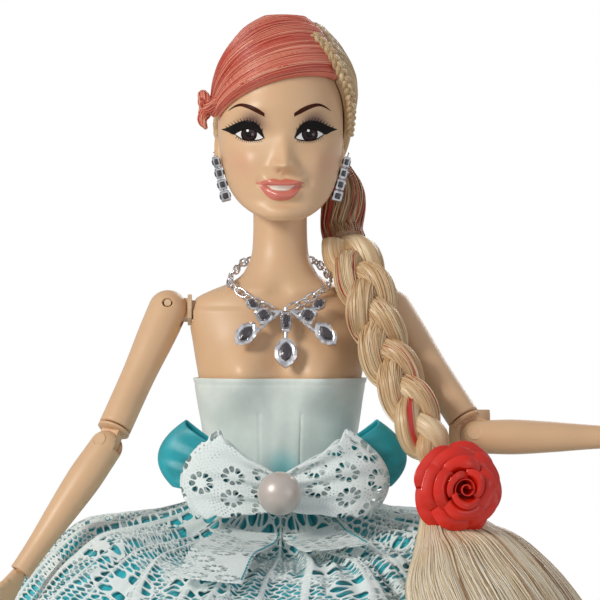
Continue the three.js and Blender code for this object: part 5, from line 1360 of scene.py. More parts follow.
UPPER_LIP_TOP = [
    (-4.7, 261.5), (-3.4, 261.85), (-2.2, 262.1), (-0.9, 262.25), (0.1, 262.0), (1.1, 262.25),
    (2.4, 262.1), (3.6, 261.85), (4.8, 261.5),
]
UPPER_LIP_LOW = [
    (-4.7, 261.35), (-3.4, 261.1), (-2.2, 260.95), (0.2, 260.9), (2.6, 260.95), (3.8, 261.1),
    (4.8, 261.35),
]
LOWER_LIP_TOP = [
    (-4.4, 261.25), (-3.2, 261.0), (-2.3, 260.75), (-1.3, 260.1), (0.3, 259.9), (1.9, 260.1),
    (2.9, 260.75), (3.7, 261.0), (4.5, 261.25),
]
LOWER_LIP_LOW = [
    (-4.4, 261.05), (-3.6, 260.1), (-2.7, 258.95), (-1.4, 258.1), (0.2, 257.9), (1.8, 258.1),
    (3.1, 258.95), (3.9, 260.1), (4.5, 261.05),
]


def mirrored(points, side):
    return points if side < 0 else [(2 * EYE_MIRROR - x, z) for x, z in points]


def face_paint():
    grid = moved(head_grid(), HEAD_PLACE)
    tree = caster(grid)
    white, iris, liner, brows = Form(), Form(), Form(), Form()
    for side in (-1, 1):
        top, low = mirrored(UPPER_LID, side), mirrored(LOWER_LID, side)
        ends = sorted((top[0][0], top[-1][0]))
        xs = np.linspace(*ends, 40)
        painted(white, tree, xs, outline(low, xs), outline(top, xs), 9, 0.04)
        middle = 2 * EYE_MIRROR + 6.15 if side > 0 else -6.15
        for radius, mark, lift, x0, z0 in (
            (1.62, 0, 0.07, 0, 271.25), (1.3, 1, 0.09, 0, 271.25), (0.72, 2, 0.11, 0, 271.25),
            (0.26, 3, 0.14, -0.28, 271.9), (0.3, 4, 0.13, 0.72, 271.15),
        ):
            xs = middle + x0 + radius * np.sin(np.linspace(-1.55, 1.55, 25))
            half = np.sqrt(np.maximum(radius**2 - (xs - middle - x0) ** 2, 0))
            upper = np.minimum(z0 + half, outline(top, xs))
            lower = np.minimum(np.maximum(z0 - half, outline(low, xs)), upper)
            painted(iris, tree, xs, lower, upper, 7, lift, mark)
        line_top, line_low = mirrored(LINER_TOP, side), mirrored(LINER_LOW, side)
        xs = np.linspace(*sorted((line_top[0][0], line_top[-1][0])), 60)
        painted(liner, tree, xs, outline(line_low, xs), outline(line_top, xs), 7, 0.1)
        xs = np.linspace(*ends, 44)
        edge = outline(low, xs)
        painted(liner, tree, xs, edge - 0.16, edge + 0.04, 3, 0.08)
        way = -1 if side < 0 else 1
        for i in range(13):
            share = i / 12
            root_x = mix(line_top[-2][0], line_top[1][0], share)
            root_z = float(outline(line_top, np.array([root_x]))[0]) - 0.15
            lean = way * mix(-0.15, 0.95, share)
            length = mix(0.55, 1.0, math.sin(math.pi * min(1, share * 0.8 + 0.1)))
            lash(liner, tree, root_x, root_z, lean * length, length * mix(1, 0.62, share), 0.1)
            foot_x = mix(ends[0], ends[1], 0.1 + 0.8 * share)
            foot_z = float(outline(low, np.array([foot_x]))[0]) - 0.1
            out = (foot_x - middle) * 0.16
            lash(liner, tree, foot_x, foot_z, out, -0.5, 0.055)
        brow_top, brow_low = mirrored(BROW_TOP, side), mirrored(BROW_LOW, side)
        xs = np.linspace(*sorted((brow_top[0][0], brow_top[-1][0])), 44)
        painted(brows, tree, xs, outline(brow_low, xs), outline(brow_top, xs), 5, 0.06)
    black = paint_material("Liner paint", "0E0909", "1A1110", 0.08)
    worn(white.piece("eye_whites", paint_material("Eye white paint", "F4F2EE", "E2DCD8")), "head", "skin")
    paints = [
        paint_material("Iris rim paint", "0A0506", "120A0C", 0.1),
        paint_material("Iris paint", "2C1414", "1A0C10", 0.1),
        paint_material("Pupil paint", "030202", "060404", 0.1),
        paint_material("Glint paint", "FFFFFF", "F4F4FF"),
        paint_material("Soft glint paint", "6C5A62", "544850", 0.1),
    ]
    worn(iris.piece("irises", *paints), "head", "skin")
    worn(liner.piece("eyeliner", black), "head", "skin")
    worn(brows.piece("brows", paint_material("Brow paint", "451D0C", "2E1206", 0.0)), "head", "skin")

    lips = Form()
    xs = np.linspace(-4.8, 4.9, 60)
    painted(lips, tree, xs, outline(UPPER_LIP_LOW, xs), outline(UPPER_LIP_TOP, xs), 6, 0.07)
    xs = np.linspace(-4.2, 4.3, 56)
    painted(lips, tree, xs, outline(LOWER_LIP_LOW, xs), outline(LOWER_LIP_TOP, xs), 8, 0.07)
    worn(lips.piece("lips", paint_material("Lip paint", "DB7866", "C05A48", 0.8)), "head", "skin")
    teeth = Form()
    xs = np.linspace(-2.4, 3.0, 40)
    top, low = outline(UPPER_LIP_LOW, xs) + 0.06, outline(LOWER_LIP_TOP, xs) - 0.06
    painted(teeth, tree, xs, np.minimum(low, top), top, 5, 0.04)
    worn(teeth.piece("teeth", paint_material("Tooth paint", "F3E6D8", "E6D2C0", 0.6)), "head", "skin")


def lash(form, tree, x, z, dx, dz, half):
    """One painted lash: a thin stroke that narrows from its root to its tip."""
    length = math.hypot(dx, dz)
    side_x, side_z = -dz / length * half, dx / length * half
    share = np.linspace(0, 1, 5)[None, :]
    width = (1 - 0.9 * share) * np.array([[-1], [1]])
    curve = 0.12 * length * np.sin(share * math.pi)
    xs = x + dx * share + side_x * width - side_x / half * curve * 0.4
    zs = z + dz * share + side_z * width
    places, _ = cast(tree, stacked(xs, -60, zs), stacked(0 * xs, 1, 0 * xs))
    outer, inner = places.copy(), places.copy()
    outer[..., 1] -= 0.09
    inner[..., 1] += 0.1
    form.slab(outer, inner)


# Hair, laid over the skull in lines from the parting to where they are gathered
FRINGE_LINES = {
    "starts": [(11.3, -8.6, 20.4), (10.4, -8.4, 24), (8.6, -6.5, 28), (6.3, -3, 31.4), (5.6, -1.2, 32.4)],
    "vias": [(-1, -15.5, 19.4), (-2, -15, 22.5), (-5, -12, 27.5), (-8.5, -4.5, 29.5), (-10, 2.5, 28.5)],
    "ends": [(-13.6, -4.6, 12.4), (-14, -3, 12.8), (-14.2, -1.2, 13.6), (-14.2, 0.6, 14.4), (-13.9, 2.6, 14.6)],
}
CROWN_LINES = {
    "starts": [
        (11.6, -8.4, 20), (10.9, -8.2, 23.6), (9.1, -6.3, 27.8), (6.8, -2.8, 31.2), (5.8, -0.9, 32.4),
        (-1, 1.8, 32.2), (-8, 4.4, 28), (-13.2, 4.6, 16), (-13.2, 5.4, 9), (-10.6, 9.6, -0.6),
    ],
    "vias": [
        (14.9, -4.2, 13.5), (15.4, -2.5, 17), (15.2, 2, 20), (14, 8, 22), (12, 12, 22),
        (8, 17, 18), (2, 18.5, 13), (-3, 18, 7), (-2, 18, 2), (1, 17.4, -1.8),
    ],
    "ends": [
        (12.2, 4.6, 2.4), (12.2, 5.0, 2.6), (12.1, 5.6, 2.6), (11.9, 6.2, 2.6), (11.6, 6.8, 2.4),
        (11.3, 7.3, 2), (11, 7.8, 1.4), (10.6, 8.2, 0.8), (10.2, 8.6, 0.2), (9.6, 9.2, -0.6),
    ],
}


def hair_shell():
    share = down_rows(70)
    angle = ring_angles(120)[None, :]
    points = hair_point(CHIN + HEAD_HEIGHT * share, 0, angle)
    points[..., 2] += HAIR_THICKNESS * np.sign(share - 0.5) * np.abs(2 * share - 1) ** 9
    crown = np.broadcast_to(points[-1].mean(0) + np.array([0, 0, 0.4]), points[-1:].shape)
    return moved(np.concatenate([points, crown]), HEAD_PLACE)


def scalp():
    share = down_rows(60)
    angle = ring_angles(96)[None, :]
    points = head_point(CHIN + HEAD_HEIGHT * share, SCALP_GAP, angle)
    crown = np.broadcast_to(points[-1].mean(0) + np.array([0, 0, SCALP_GAP]), points[-1:].shape)
    return moved(np.concatenate([points, crown]), HEAD_PLACE)


def flow_ways(lines, across, along):
    """Directions from the middle of the head for hair lines that bend from start to end."""
    centre = np.array(HAIR_CENTRE)
    knots = []
    for key in ("starts", "vias", "ends"):
        points = unit(np.array(lines[key], float) - centre)
        table = SmoothTable(np.column_stack([np.linspace(0, 1, len(points)), points]))
        knots.append(np.moveaxis(table(across), 0, -1))
    start, via, end = (k[..., None, :] if k.ndim < 3 else k for k in knots)
    t = np.asarray(along)[..., None]
    ways = (1 - t) ** 2 * start + 2 * t * (1 - t) * via + t**2 * end
    return unit(ways) @ HEAD_PLACE[:3, :3].T


def ridges(share, seed):
    """Uneven locks across a panel of hair, between minus one and one."""
    return (
        0.45 * np.sin(2 * math.pi * (13 * share + 0.12 * np.sin(19 * share + seed)))
        + 0.3 * np.sin(2 * math.pi * (31 * share + 0.2 * np.sin(11 * share + 2 * seed)))
        + 0.25 * np.sin(2 * math.pi * (67 * share + 0.3 * np.sin(7 * share + 3 * seed)))
    )


def hair_panel(lines, width, strands, seed, outer_tree, inner_tree, dyes, drawn_in=0.0):
    """A solid panel of combed hair with single strands lying on it."""
    rows, cols = 64, 260
    centre = moved(np.array(HAIR_CENTRE), HEAD_PLACE)
    across = np.linspace(0, 1, cols)
    along = np.linspace(0, 1, rows)
    ways = flow_ways(lines, np.broadcast_to(across, (rows, cols)), np.broadcast_to(along[:, None], (rows, cols)))
    outer, _ = cast(outer_tree, centre, ways)
    inner, _ = cast(inner_tree, centre, ways)
    edge = np.minimum(1, np.minimum(across, 1 - across) / 0.13)
    start = np.minimum(1, along / 0.05)[:, None]
    body = np.sqrt(np.clip(1 - (1 - edge[None, :]) ** 2, 0, 1))
    body = body * (0.62 + 0.38 * np.sqrt(np.clip(1 - (1 - start) ** 2, 0, 1)))
    body = body * (1 - drawn_in * smooth_step(along, 0.3, 0.7))[:, None]
    outer = mix(inner, outer, np.maximum(body, 0.06)[..., None])
    lock = ridges(across, seed)[None, :] * np.minimum(1, 6 * (1 - along))[:, None]
    outer = outer + (ways * (lock * body * 0.16 - 0.08 * body)[..., None])
    lengths = lengths_along(outer[:, cols // 2])
    uv = stacked(across[None, :] * width, lengths[:, None])
    form = Form().slab(outer, inner, uv=uv)
    draw = np.random.default_rng(seed)
    steps = np.linspace(0, rows - 1, 30)
    for _ in range(strands):
        where = draw.uniform(0.012, 0.988)
        drift = draw.normal(0, 0.006)
        begin, finish = draw.uniform(0, 0.1), draw.uniform(0.9, 1)
        row = mix(begin, finish, steps / (rows - 1)) * (rows - 1)
        col = where + drift * np.sin(np.linspace(0, draw.uniform(2, 7), len(steps)))
        col = np.clip(col, 0.004, 0.996) * (cols - 1)
        r0, c0 = np.minimum(row.astype(int), rows - 2), np.minimum(col.astype(int), cols - 2)
        fr, fc = (row - r0)[:, None], (col - c0)[:, None]
        near, far = (mix(outer[r, c0], outer[r, c0 + 1], fc) for r in (r0, r0 + 1))
        line = mix(near, far, fr)
        rise = draw.uniform(0.0, 0.14) * np.sin(np.linspace(0, math.pi, len(steps)))
        way = unit(line - centre)
        size = draw.uniform(0.07, 0.13) * (0.35 + 0.65 * np.sin(np.linspace(0.1, math.pi - 0.1, len(steps))))
        mark = int(draw.uniform() < dyes)
        shift = where * width + draw.uniform(0, 9)
        form.tube(line + way * rise[:, None], size, 5, (0.2, 0.1, 1), mark, 0.6, shift)
    return form


def scalp_hair_pieces():
    outer_tree, inner_tree = caster(hair_shell()), caster(scalp())
    fringe = hair_panel(FRINGE_LINES, 34, strand_count("fringe"), 11, outer_tree, inner_tree, 0.12)
    item = fringe.piece("fringe_hair", hair_of("Coral hair"), hair_of("Peach hair"))
    worn(item, "head", "pink_hair", "hair_fringe")
    crown = hair_panel(CROWN_LINES, 60, strand_count("crown"), 12, outer_tree, inner_tree, 0.08, 0.5)
    item = crown.piece("crown_hair", hair_of("Blond hair"), hair_of("Brown hair"))
    worn(item, "head", "blond_hair", "hair_crown")


def stranded(form, route, radius, strands, seed, flat=0.85, twist=0.6, count=34, dyed=0.2, grooves=9):
    """A round bundle of hair along a route: a grooved core with single strands round it."""
    line, along, length = curve_through(route, count)
    across, depth = frames_along(along, np.array([1.0, 0, 0]))
    share = np.linspace(0, 1, count)
    size = np.broadcast_to(np.asarray(radius(share) if callable(radius) else radius, float), share.shape)
    angle = ring_angles(72)
    groove = 1 - 0.07 * np.abs(np.sin(grooves * (angle[None, :] + twist * share[:, None])))
    reach = size[:, None] * groove

    def place(turn, out):
        return line + out[:, None] * (across * np.cos(turn)[:, None] + flat * depth * np.sin(turn)[:, None])

    rings = line[:, None] + reach[..., None] * (
        across[:, None] * np.cos(angle)[:, None] + flat * depth[:, None] * np.sin(angle)[:, None]
    )
    uv = stacked(np.linspace(0, 2 * math.pi * size.max(), 73)[None, :], (share * length)[:, None])
    form.loft(rings, uv=uv)
    draw = np.random.default_rng(seed)
    for _ in range(strands):
        turn = draw.uniform(0, 2 * math.pi) + share * twist * draw.uniform(0.4, 1.6)
        out = size * draw.uniform(0.95, 1.03) + 0.06 * np.sin(share * draw.uniform(3, 9))
        thin = draw.uniform(0.08, 0.15) * (0.4 + 0.6 * np.sin(np.linspace(0.1, math.pi - 0.1, count)))
        form.strand(place(turn, out), thin, (1, 0, 0), draw, dyed, 0.5)
    return form


def braid_place(across, forward, height):
    lying = smooth_step(across, 0.6, 1.3)
    return stacked(
        across * mix(SHOULDER_X, HEM_RADIUS * 0.2, lying),
        forward * mix(HIP_DEPTH, HEM_RADIUS * 0.095, lying),
        mix(WAIST, NECK_TOP, height),
    )


def braid_taper(share):
    return mix(1, 0.86, share) * (1 - 0.32 * smooth_step(share, 0.9, 1))


def braid_line(count):
    return curve_through([braid_place(*row) for row in BRAID_SHARES], count)


def gather_piece():
    line, along, _ = braid_line(60)
    top = moved(np.array([HEAD_HALF * 0.84, HEAD_DEPTH * 0.5, CHIN + HEAD_HEIGHT * 0.24]), HEAD_PLACE)
    middle = moved(np.array([HEAD_HALF * 1.03, HEAD_DEPTH * 0.32, CHIN + HEAD_HEIGHT * 0.13]), HEAD_PLACE)
    route = [top, middle, line[0] - along[0] * 4.6, line[0] - along[0] * SEAT_GAP]
    form = stranded(Form(), route, lambda s: 4.6 * mix(1, 0.86, s), STRANDS["gather"], 21, grooves=8, dyed=0.35)
    # The gather's darker tones are painted shade.
    item = form.piece("gathered_hair", hair_of("Gathered hair in painted shade"), hair_of("Red strands"))
    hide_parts("hair_gather")
    tuple((line[0] - along[0] * 2) * MM)
    tuple(top * MM)
    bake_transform(item)


def knot_piece():
    """The lock tied at the temple: a wound loop and its loose end."""
    middle = moved(hair_point(CHIN + HEAD_HEIGHT * 0.6, 1.0, -math.pi / 2), HEAD_PLACE)
    form = Form()
    for i, (wide, tall, turn) in enumerate(((1.25, 2.35, 10), (1.1, 2.0, -35), (1.3, 1.7, 55))):
        a = np.linspace(0.3, 5.9, 9)
        loop = stacked(0.45 * np.cos(2 * a), wide * np.cos(a), tall * np.sin(a))
        route = moved(loop, shifted(*middle) @ turned("x", turn))
        stranded(form, list(route), lambda s: 0.75 + 0.3 * np.sin(math.pi * s), 26, 30 + i, 0.9, 3.0, 40, 0.2, 5)
    end = [middle + np.array(p) for p in ((0, -0.8, -1.4), (-0.5, -1.5, -2.6), (-0.3, -1.9, -3.7), (0.3, -1.6, -4.7))]
    stranded(form, end, lambda s: 1.0 * (1 - s) ** 0.6 + 0.15, 30, 40, 0.8, 1.5, 20, 0.2, 5)
    inlet = [middle + np.array(p) for p in ((3.4, -5.2, 0.6), (1.9, -3.6, -0.2), (0.6, -1.4, -0.5), (-0.2, 0, -0.2))]
    stranded(form, inlet, lambda s: 1.7 - 0.5 * s, 60, 41, 0.8, 0.8, 22, 0.2, 6)
    item = form.piece("temple_knot", hair_of("Coral hair"), hair_of("Peach hair"))
    worn(item, "head", "pink_hair", "side_knot")


def woven_strands(
    form, line, along, turns, middle_half, strand_half, taper, hint, hairs, seed, grooves=9, dyed=0.07
):
    """Three bundles that pass over and under one another along a line."""
    count = len(line)
    share = np.linspace(0, 1, count)
    across, depth = frames_along(along, np.asarray(hint, float))
    size = taper(share)
    draw = np.random.default_rng(seed)
    for k in range(3):
        t = (share * turns + k / 3) * 2 * math.pi
        middle = line + across * (middle_half[0] * np.sin(t) * size)[:, None]
        middle = middle + depth * (middle_half[1] * np.sin(2 * t) * size)[:, None]
        way = unit(np.gradient(middle, axis=0))
        side, out = frames_along(way, across)
        angle = ring_angles(60)
        lay = angle[None, :] + 0.5 * np.sin(t)[:, None]
        groove = 1 - 0.06 * np.abs(np.sin(grooves * lay / 2 + k))
        groove = groove - 0.03 * np.abs(np.sin(grooves * 1.7 * lay / 2))
        wide = (strand_half[0] * size)[:, None] * groove
        deep = (strand_half[1] * size)[:, None] * groove
        rings = middle[:, None] + side[:, None] * (wide * np.cos(angle))[..., None]
        rings = rings + out[:, None] * (deep * np.sin(angle))[..., None]
        lengths = lengths_along(middle)
        uv = stacked(np.linspace(0, 2 * math.pi * strand_half[0], 61)[None, :] + 23.7 * k, lengths[:, None])
        form.loft(rings, uv=uv)
        for _ in range(hairs):
            turn = draw.uniform(0, 2 * math.pi) + draw.uniform(-0.5, 0.5) * np.sin(t)
            reach = size * draw.uniform(0.94, 1.0) + draw.uniform(0.0, 0.05)
            low = draw.integers(0, count // 2)
            high = min(count, low + draw.integers(count // 4, count // 2))
            path = middle + side * (strand_half[0] * reach * np.cos(turn))[:, None]
            path = path + out * (strand_half[1] * reach * np.sin(turn))[:, None]
            path = path[low:high]
            thin = strand_half[0] * draw.uniform(0.028, 0.055)
            thin = thin * np.sin(np.linspace(0.15, math.pi - 0.15, len(path)))
            form.strand(path, thin, (1, 0, 0), draw, dyed, 0.4)
    return form


def braid_piece():
    line, along, _ = braid_line(220)
    form = woven_strands(
        Form(), line, along, BRAID_TURNS, BRAID_HALF, STRAND_HALF, braid_taper, (1, 0, 0), strand_count("braid"), 51
    )
    item = form.piece("woven_braid", hair_of("Braided hair"), hair_of("Red strands"))
    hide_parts("braid")
    low = line[np.argmin(np.abs(line[:, 2] - BRAID_STILL))] * MM
    tuple(line[3] * MM)
    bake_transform(item)


def plait_piece():
    """The thin plait that lies beside the parting."""
    sinks = 0.6 - 2.6 * smooth_step(np.linspace(0, 1, len(PLAIT_SHARES)), 0.55, 1)
    points = [
        hair_point(CHIN + share * HEAD_HEIGHT, sink, math.radians(angle))
        for (share, angle), sink in zip(PLAIT_SHARES, sinks)
    ]
    line, along, _ = curve_through(moved(np.array(points), HEAD_PLACE), 150)
    form = woven_strands(
        Form(), line, along, 5.5, (0.66, 0.32), (0.58, 0.5), lambda s: 1 - 0.25 * s, (1, 0.3, 0),
        STRANDS["plait"], 61, 5, 0.1,
    )
    item = form.piece("thin_plait", hair_of("Blond hair"), hair_of("Brown hair"))
    worn(item, "head", "blond_hair", "side_plait")


def tail_piece():
    """The loose end of the braid, spread over the gown below the rose."""
    line, along, _ = braid_line(60)
    start = line[-1] + along[-1] * 1.5
    spread = math.radians(TAIL_ANGLE)
    outward = np.array([math.cos(spread), math.sin(spread), 0])
    depth = unit(outward - along[-1] * outward.dot(along[-1]))
    across = np.cross(along[-1], depth)
    wide = (BRAID_HALF[0] + STRAND_HALF[0]) * braid_taper(1.0) * 0.55
    table = SmoothTable([(i / 5, p, math.radians(h), t) for i, (p, h, t) in enumerate(TAIL_SHARES)])

    def point(t, share, layer):
        """t runs down the tail, share from side to side, layer from the gown to its crown."""
        place, half, thick = table(np.clip((t - 0.12) / 0.88, 0, 1))
        crown = TAIL_THICK * thick * (0.15 + 0.85 * np.sqrt(1 - 0.96 * share**2))
        low = over_gown(place, spread + share * half, CLOTH_GAP * 1.5 + crown * layer)
        bulge = wide * (2 * layer - 1) * np.sqrt(1 - 0.9 * share**2)
        bunch = start - across * (wide * share * 0.9)[..., None] + depth * bulge[..., None]
        return mix(bunch, low, smooth_step(t, 0, 0.24)[..., None])

    rows, cols = 60, 150
    t = np.broadcast_to(down_rows(rows), (rows, cols))
    share = np.broadcast_to(np.linspace(-1, 1, cols)[None, :], (rows, cols))
    lock = 0.93 + 0.05 * ridges(share * 0.5 + 0.5, 5)
    end = 1 - 0.05 * (1 + ridges(share * 0.5, 9)) * smooth_step(t, 0.8, 1)
    outer, inner = point(t * end, share, lock), point(t * end, share, 0 * lock)
    lengths = lengths_along(outer[:, cols // 2])
    form = Form().slab(outer, inner, uv=stacked((share[0] * 30 + 30)[None, :], lengths[:, None]))
    draw = np.random.default_rng(71)
    for _ in range(strand_count("tail")):
        steps = np.linspace(0, draw.uniform(0.86, 1.0), 26)
        side = draw.uniform(-0.98, 0.98)
        share = side + draw.normal(0, 0.05) * steps + 0.02 * np.sin(steps * draw.uniform(4, 12))
        share = np.clip(share, -0.995, 0.995)
        layer = np.full(26, draw.uniform(0.9, 1.03)) + 0.02 * np.sin(steps * draw.uniform(5, 14))
        path = point(steps, share, layer)
        thin = draw.uniform(0.1, 0.2) * np.minimum(1, 4 * (1.02 - steps / steps[-1]))
        # Painted shade: brown strands grow more common towards the tail's outer side.
        form.strand(path, thin, (0.6, -0.6, 0.3), draw, mix(0.0, 0.22, (side + 1) / 2), 0.5)
    item = form.piece("loose_tail", hair_of("Loose hair"), hair_of("Brown hair"))
    worn(item, "torso", "blond_hair", "braid_tail")


# Rose
def petal(form, index, count, root, rim, tall, half, turn, curl, seed):
    """One petal: a cupped sheet whose rim rolls outward in uneven waves."""
    u = np.linspace(-1, 1, 30)[None, :]
    v = down_rows(22)
    angle = turn + 2 * math.pi * index / count + u * math.radians(half) * mix(0.62, 1, v**0.7)
    roll = smooth_step(v, 0.66, 1)
    wave = 0.35 * np.sin(2.6 * u + seed) + 0.25 * np.sin(5.3 * u + 2.1 * seed)
    radius = mix(root, rim - curl, v**0.75) * (1 - 0.2 * np.abs(u) ** 3 * v)
    radius = radius + curl * roll * (1 + 0.25 * wave) + 0.4 * u
    height = tall * np.sin(v * 0.5 * math.pi) ** 0.8 * (1 - 0.16 * u**2)
    height = height - 0.6 * curl * roll**2 + 0.5 * wave * v**2
    outer = stacked(radius * np.cos(angle), radius * np.sin(angle), height)
    grain = np.gradient(outer, axis=0), np.gradient(outer, axis=1)
    normal = unit(np.cross(grain[1], grain[0]))
    thick = 0.34 * (1 - 0.45 * roll)
    form.slab(outer + normal * thick[..., None] * 0.5, outer - normal * thick[..., None] * 0.5)


def rose_piece():
    place = shifted(*braid_place(*ROSE_SHARES)) @ turned("z", 18) @ turned("x", 90)
    form = Form()
    share = np.linspace(0, 1, 90)[None, :]
    v = down_rows(12)
    turn = share * 3.2 * math.pi
    radius = 0.4 + 1.7 * share**1.2 + 0.35 * v**2
    height = 0.6 + (5.9 - 0.9 * share) * v - 0.25 * v**6
    bud = stacked(radius * np.cos(turn), radius * np.sin(turn), height)
    inward = stacked(-0.26 * np.cos(turn), -0.26 * np.sin(turn), 0 * v)
    form.slab(bud, bud + inward)
    petals = (
        (3, 1.2, 3.9, 6.3, 66, 0.4, 0.8), (4, 1.9, 6.3, 5.2, 52, 1.5, 1.5),
        (5, 2.6, 8.2, 3.3, 44, 0.5, 2.0), (5, 3.2, ROSE_RADIUS, 1.6, 45, 1.1, 2.2),
    )
    for row, (count, root, rim, tall, half, start, curl) in enumerate(petals):
        for i in range(count):
            petal(form, i, count, root, rim, tall, half, start, curl, 1.7 * i + row)
    form.lathe([(0.05, -0.6), (6.6, -0.6), (7.2, 0), (6, 0.7), (3, 0.9), (0.05, 0.9)], np.eye(4), 40)
    for points in form.points:
        points[:] = moved(points, place)
    red = coated(
        "Rose resin", "rose", "rose 0.45", (0.08, 0.05), Coat_Weight=0.5, Coat_Roughness=0.08,
        Specular_IOR_Level=0.3,
    )
    worn(form.piece("resin_rose", red), "torso", "red_rose", "rose")


# Gown
def cone_uv(angle, place):
    """Places on the flat cloth of a skirt, which unrolls to part of a ring."""
    shares = np.linspace(0, 1.1, 80)
    radius, height = GOWN(np.minimum(shares, 1))
    lengths = np.concatenate([[0], np.cumsum(np.hypot(np.diff(radius), np.diff(height)))])
    reach = 34 + np.interp(place, shares, lengths)
    turn = (angle - math.pi * 1.5) * 0.36
    return stacked(reach * np.sin(turn), reach * np.cos(turn))


def skirt_piece(layer, name, node, material, thickness):
    hem = HEM_RISE * layer
    rows, cols = 96, 640
    angle = np.linspace(math.pi / 2, math.pi * 2.5, cols, endpoint=False)[None, :]
    fine = np.linspace(0.9, 1, 40)[:, None]
    offset = (layer - 3) * LAYER
    level = gown_point(fine, angle, offset + CLOTH / 2)[..., 2]
    end = np.array([np.interp(-hem - 0.05, -level[:, i], fine[:, 0]) for i in range(cols)])
    place = down_rows(rows) * end[None, :]
    turn = angle + 0.05 * np.sin(9 * place + 4 * np.sin(3 * angle))
    streak = 0.5 * np.sin(31 * turn + 2 * np.sin(3 * turn))
    streak = streak + 0.3 * np.sin(67 * turn + 3 * np.sin(4 * turn + 1))
    streak = streak + 0.2 * np.sin(127 * turn + 2 * np.sin(9 * turn))
    depth = CREASE * smooth_step(place, 0.04, 0.16) * mix(1, 0.6, smooth_step(place, 0.4, 1))
    wrinkle = depth * (streak - 1) / 2
    outer = gown_point(place, angle, offset + CLOTH / 2 + thickness / 2 + wrinkle)
    inner = gown_point(place, angle, offset + CLOTH / 2 - thickness / 2 + wrinkle)
    wide = np.append(angle[0], math.pi * 2.5)
    place_wide = np.column_stack([place, place[:, :1]])
    uv = cone_uv(wide[None, :], place_wide)
    item = Form().slab(outer, inner, closed=True, uv=uv).piece(name, material)
    # Painted shade on the satin where its wrinkles dip, and bunched threads on the lace where they rise.
    fold = 0.5 + (-0.6 if layer == 1 else 0.6) * streak * mix(1, 0.45, smooth_step(place, 0.35, 0.9))
    mark_folds_and_painted_light(item, fold)
    worn(item, "torso", "white_lace" if layer == 2 else "turquoise_satin" if layer else "stiff_net", node)
    return item


def mark_folds_and_painted_light(item, fold):
    """Gives both faces of a cloth a share for its colour and threads: painted shade in the satin's crease hollows,
    bunched threads on the lace's crease ridges, and a painted turquoise reflection low on the bodice's front.
    """
    values = item.data.attributes.new("fold", "FLOAT", "POINT")
    values.data.foreach_set("value", np.concatenate([fold, fold]).astype(np.float32).ravel())


def gown_pieces():
    net = skirt_piece(0, "petticoat_net", "skirt_petticoat", net_material(), 0.25)
    satin = skirt_piece(1, "satin_skirt", "skirt_satin", satin_of("Turquoise satin"), 0.3)
    lace = skirt_piece(2, "lace_skirt", "skirt_lace", lace_of("Skirt lace"), 0.2)


def band_piece(
    name, slot, node, low, high, offset, thickness, material, relief, window=None, rows=BAND_ROWS,
    cols=BAND_COLS
):
    """A band of cloth round the torso, or over a window of its angles."""
    closed = window is None
    first, last = window or (0, 2 * math.pi)
    angle = np.linspace(first, last, cols, endpoint=not closed)[None, :]
    share = down_rows(rows)
    height = mix(low, high, share) + 0 * angle
    stand = offset + relief(angle, share)
    outer = torso_point(angle, height, stand + thickness)
    inner = torso_point(angle, height, stand)
    wide = np.linspace(first, last, cols + 1 if closed else cols)
    uv = stacked(wide[None, :] * SHOULDER_HALF, (height[:, :1] - low))
    item = Form().slab(outer, inner, closed=closed, uv=uv).piece(name, material, sharp=50)
    return worn(item, "torso", slot, node)


def bodice_pieces():
    low = WAIST + SEAT_GAP

    def creased(angle, share):
        seam = 0.16 * bell(share - 0.945, 0.008)
        hem = 0.1 * smooth_step(share, 0.94, 0.96)
        pulls = 0.14 * np.sin(9 * share + 5 * np.sin(2 * angle)) * np.sin(7 * angle + 6 * share)
        darts = 0.2 * sum(bell((angle - a) % (2 * math.pi), 0.03) for a in (4.3, 5.1))
        return pulls * (1 - share) ** 0.3 + hem - seam - darts * (share < 0.7)

    bodice = band_piece(
        "satin_bodice", "mint_satin", "bodice", low, BODICE_TOP, CLOTH_GAP, BODICE_THICK * 0.6,
        satin_of("Mint satin"), creased,
    )
    share = down_rows(BAND_ROWS)
    angle = ring_angles(BAND_COLS)[None, :]
    # Painted reflection: the bodice's turquoise deep tone, strongest low on its front beside the sash and bow.
    mark_folds_and_painted_light(bodice, 0.4 + 0.55 * bell(share - 0.18, 0.25) * bell(angle - 1.52 * math.pi, 0.45))

    def pleated(angle, share):
        return 0.14 * np.sin(share * 4 * 2 * math.pi + 0.6 * np.sin(5 * angle)) + 0.05 * np.sin(23 * angle)

    sash = band_piece(
        "sash_band", "turquoise_ribbon", "waist_sash", low, low + SASH_HEIGHT, SASH_OFFSET + 0.15, 0.3,
        satin_of("Turquoise ribbon"), pleated,
    )
    flap_low = low + SASH_HEIGHT + SEAT_GAP
    half = FLAP_WIDTH / 2 / 12.5
    flap = band_piece(
        "closing_flap", "mint_satin", "back_flap", flap_low, BODICE_TOP - SEAT_GAP, SASH_OFFSET, 0.45,
        satin_of("Mint satin"), lambda angle, share: 0.08 * np.sin(18 * share),
        (math.pi / 2 - half, math.pi / 2 + half), 40, 26,
    )


# Bow
WAIST_FRONT = -float(torso_point(-math.pi / 2, WAIST, SASH_OFFSET + CLOTH)[1]) + SEAT_GAP
RIBBON_Y = -(WAIST_FRONT + 3 * LAYER + LOOP_PUFF + RIBBON_THICK)
LACE_Y = RIBBON_Y - 2 * (LOOP_PUFF + RIBBON_THICK) - SEAT_GAP


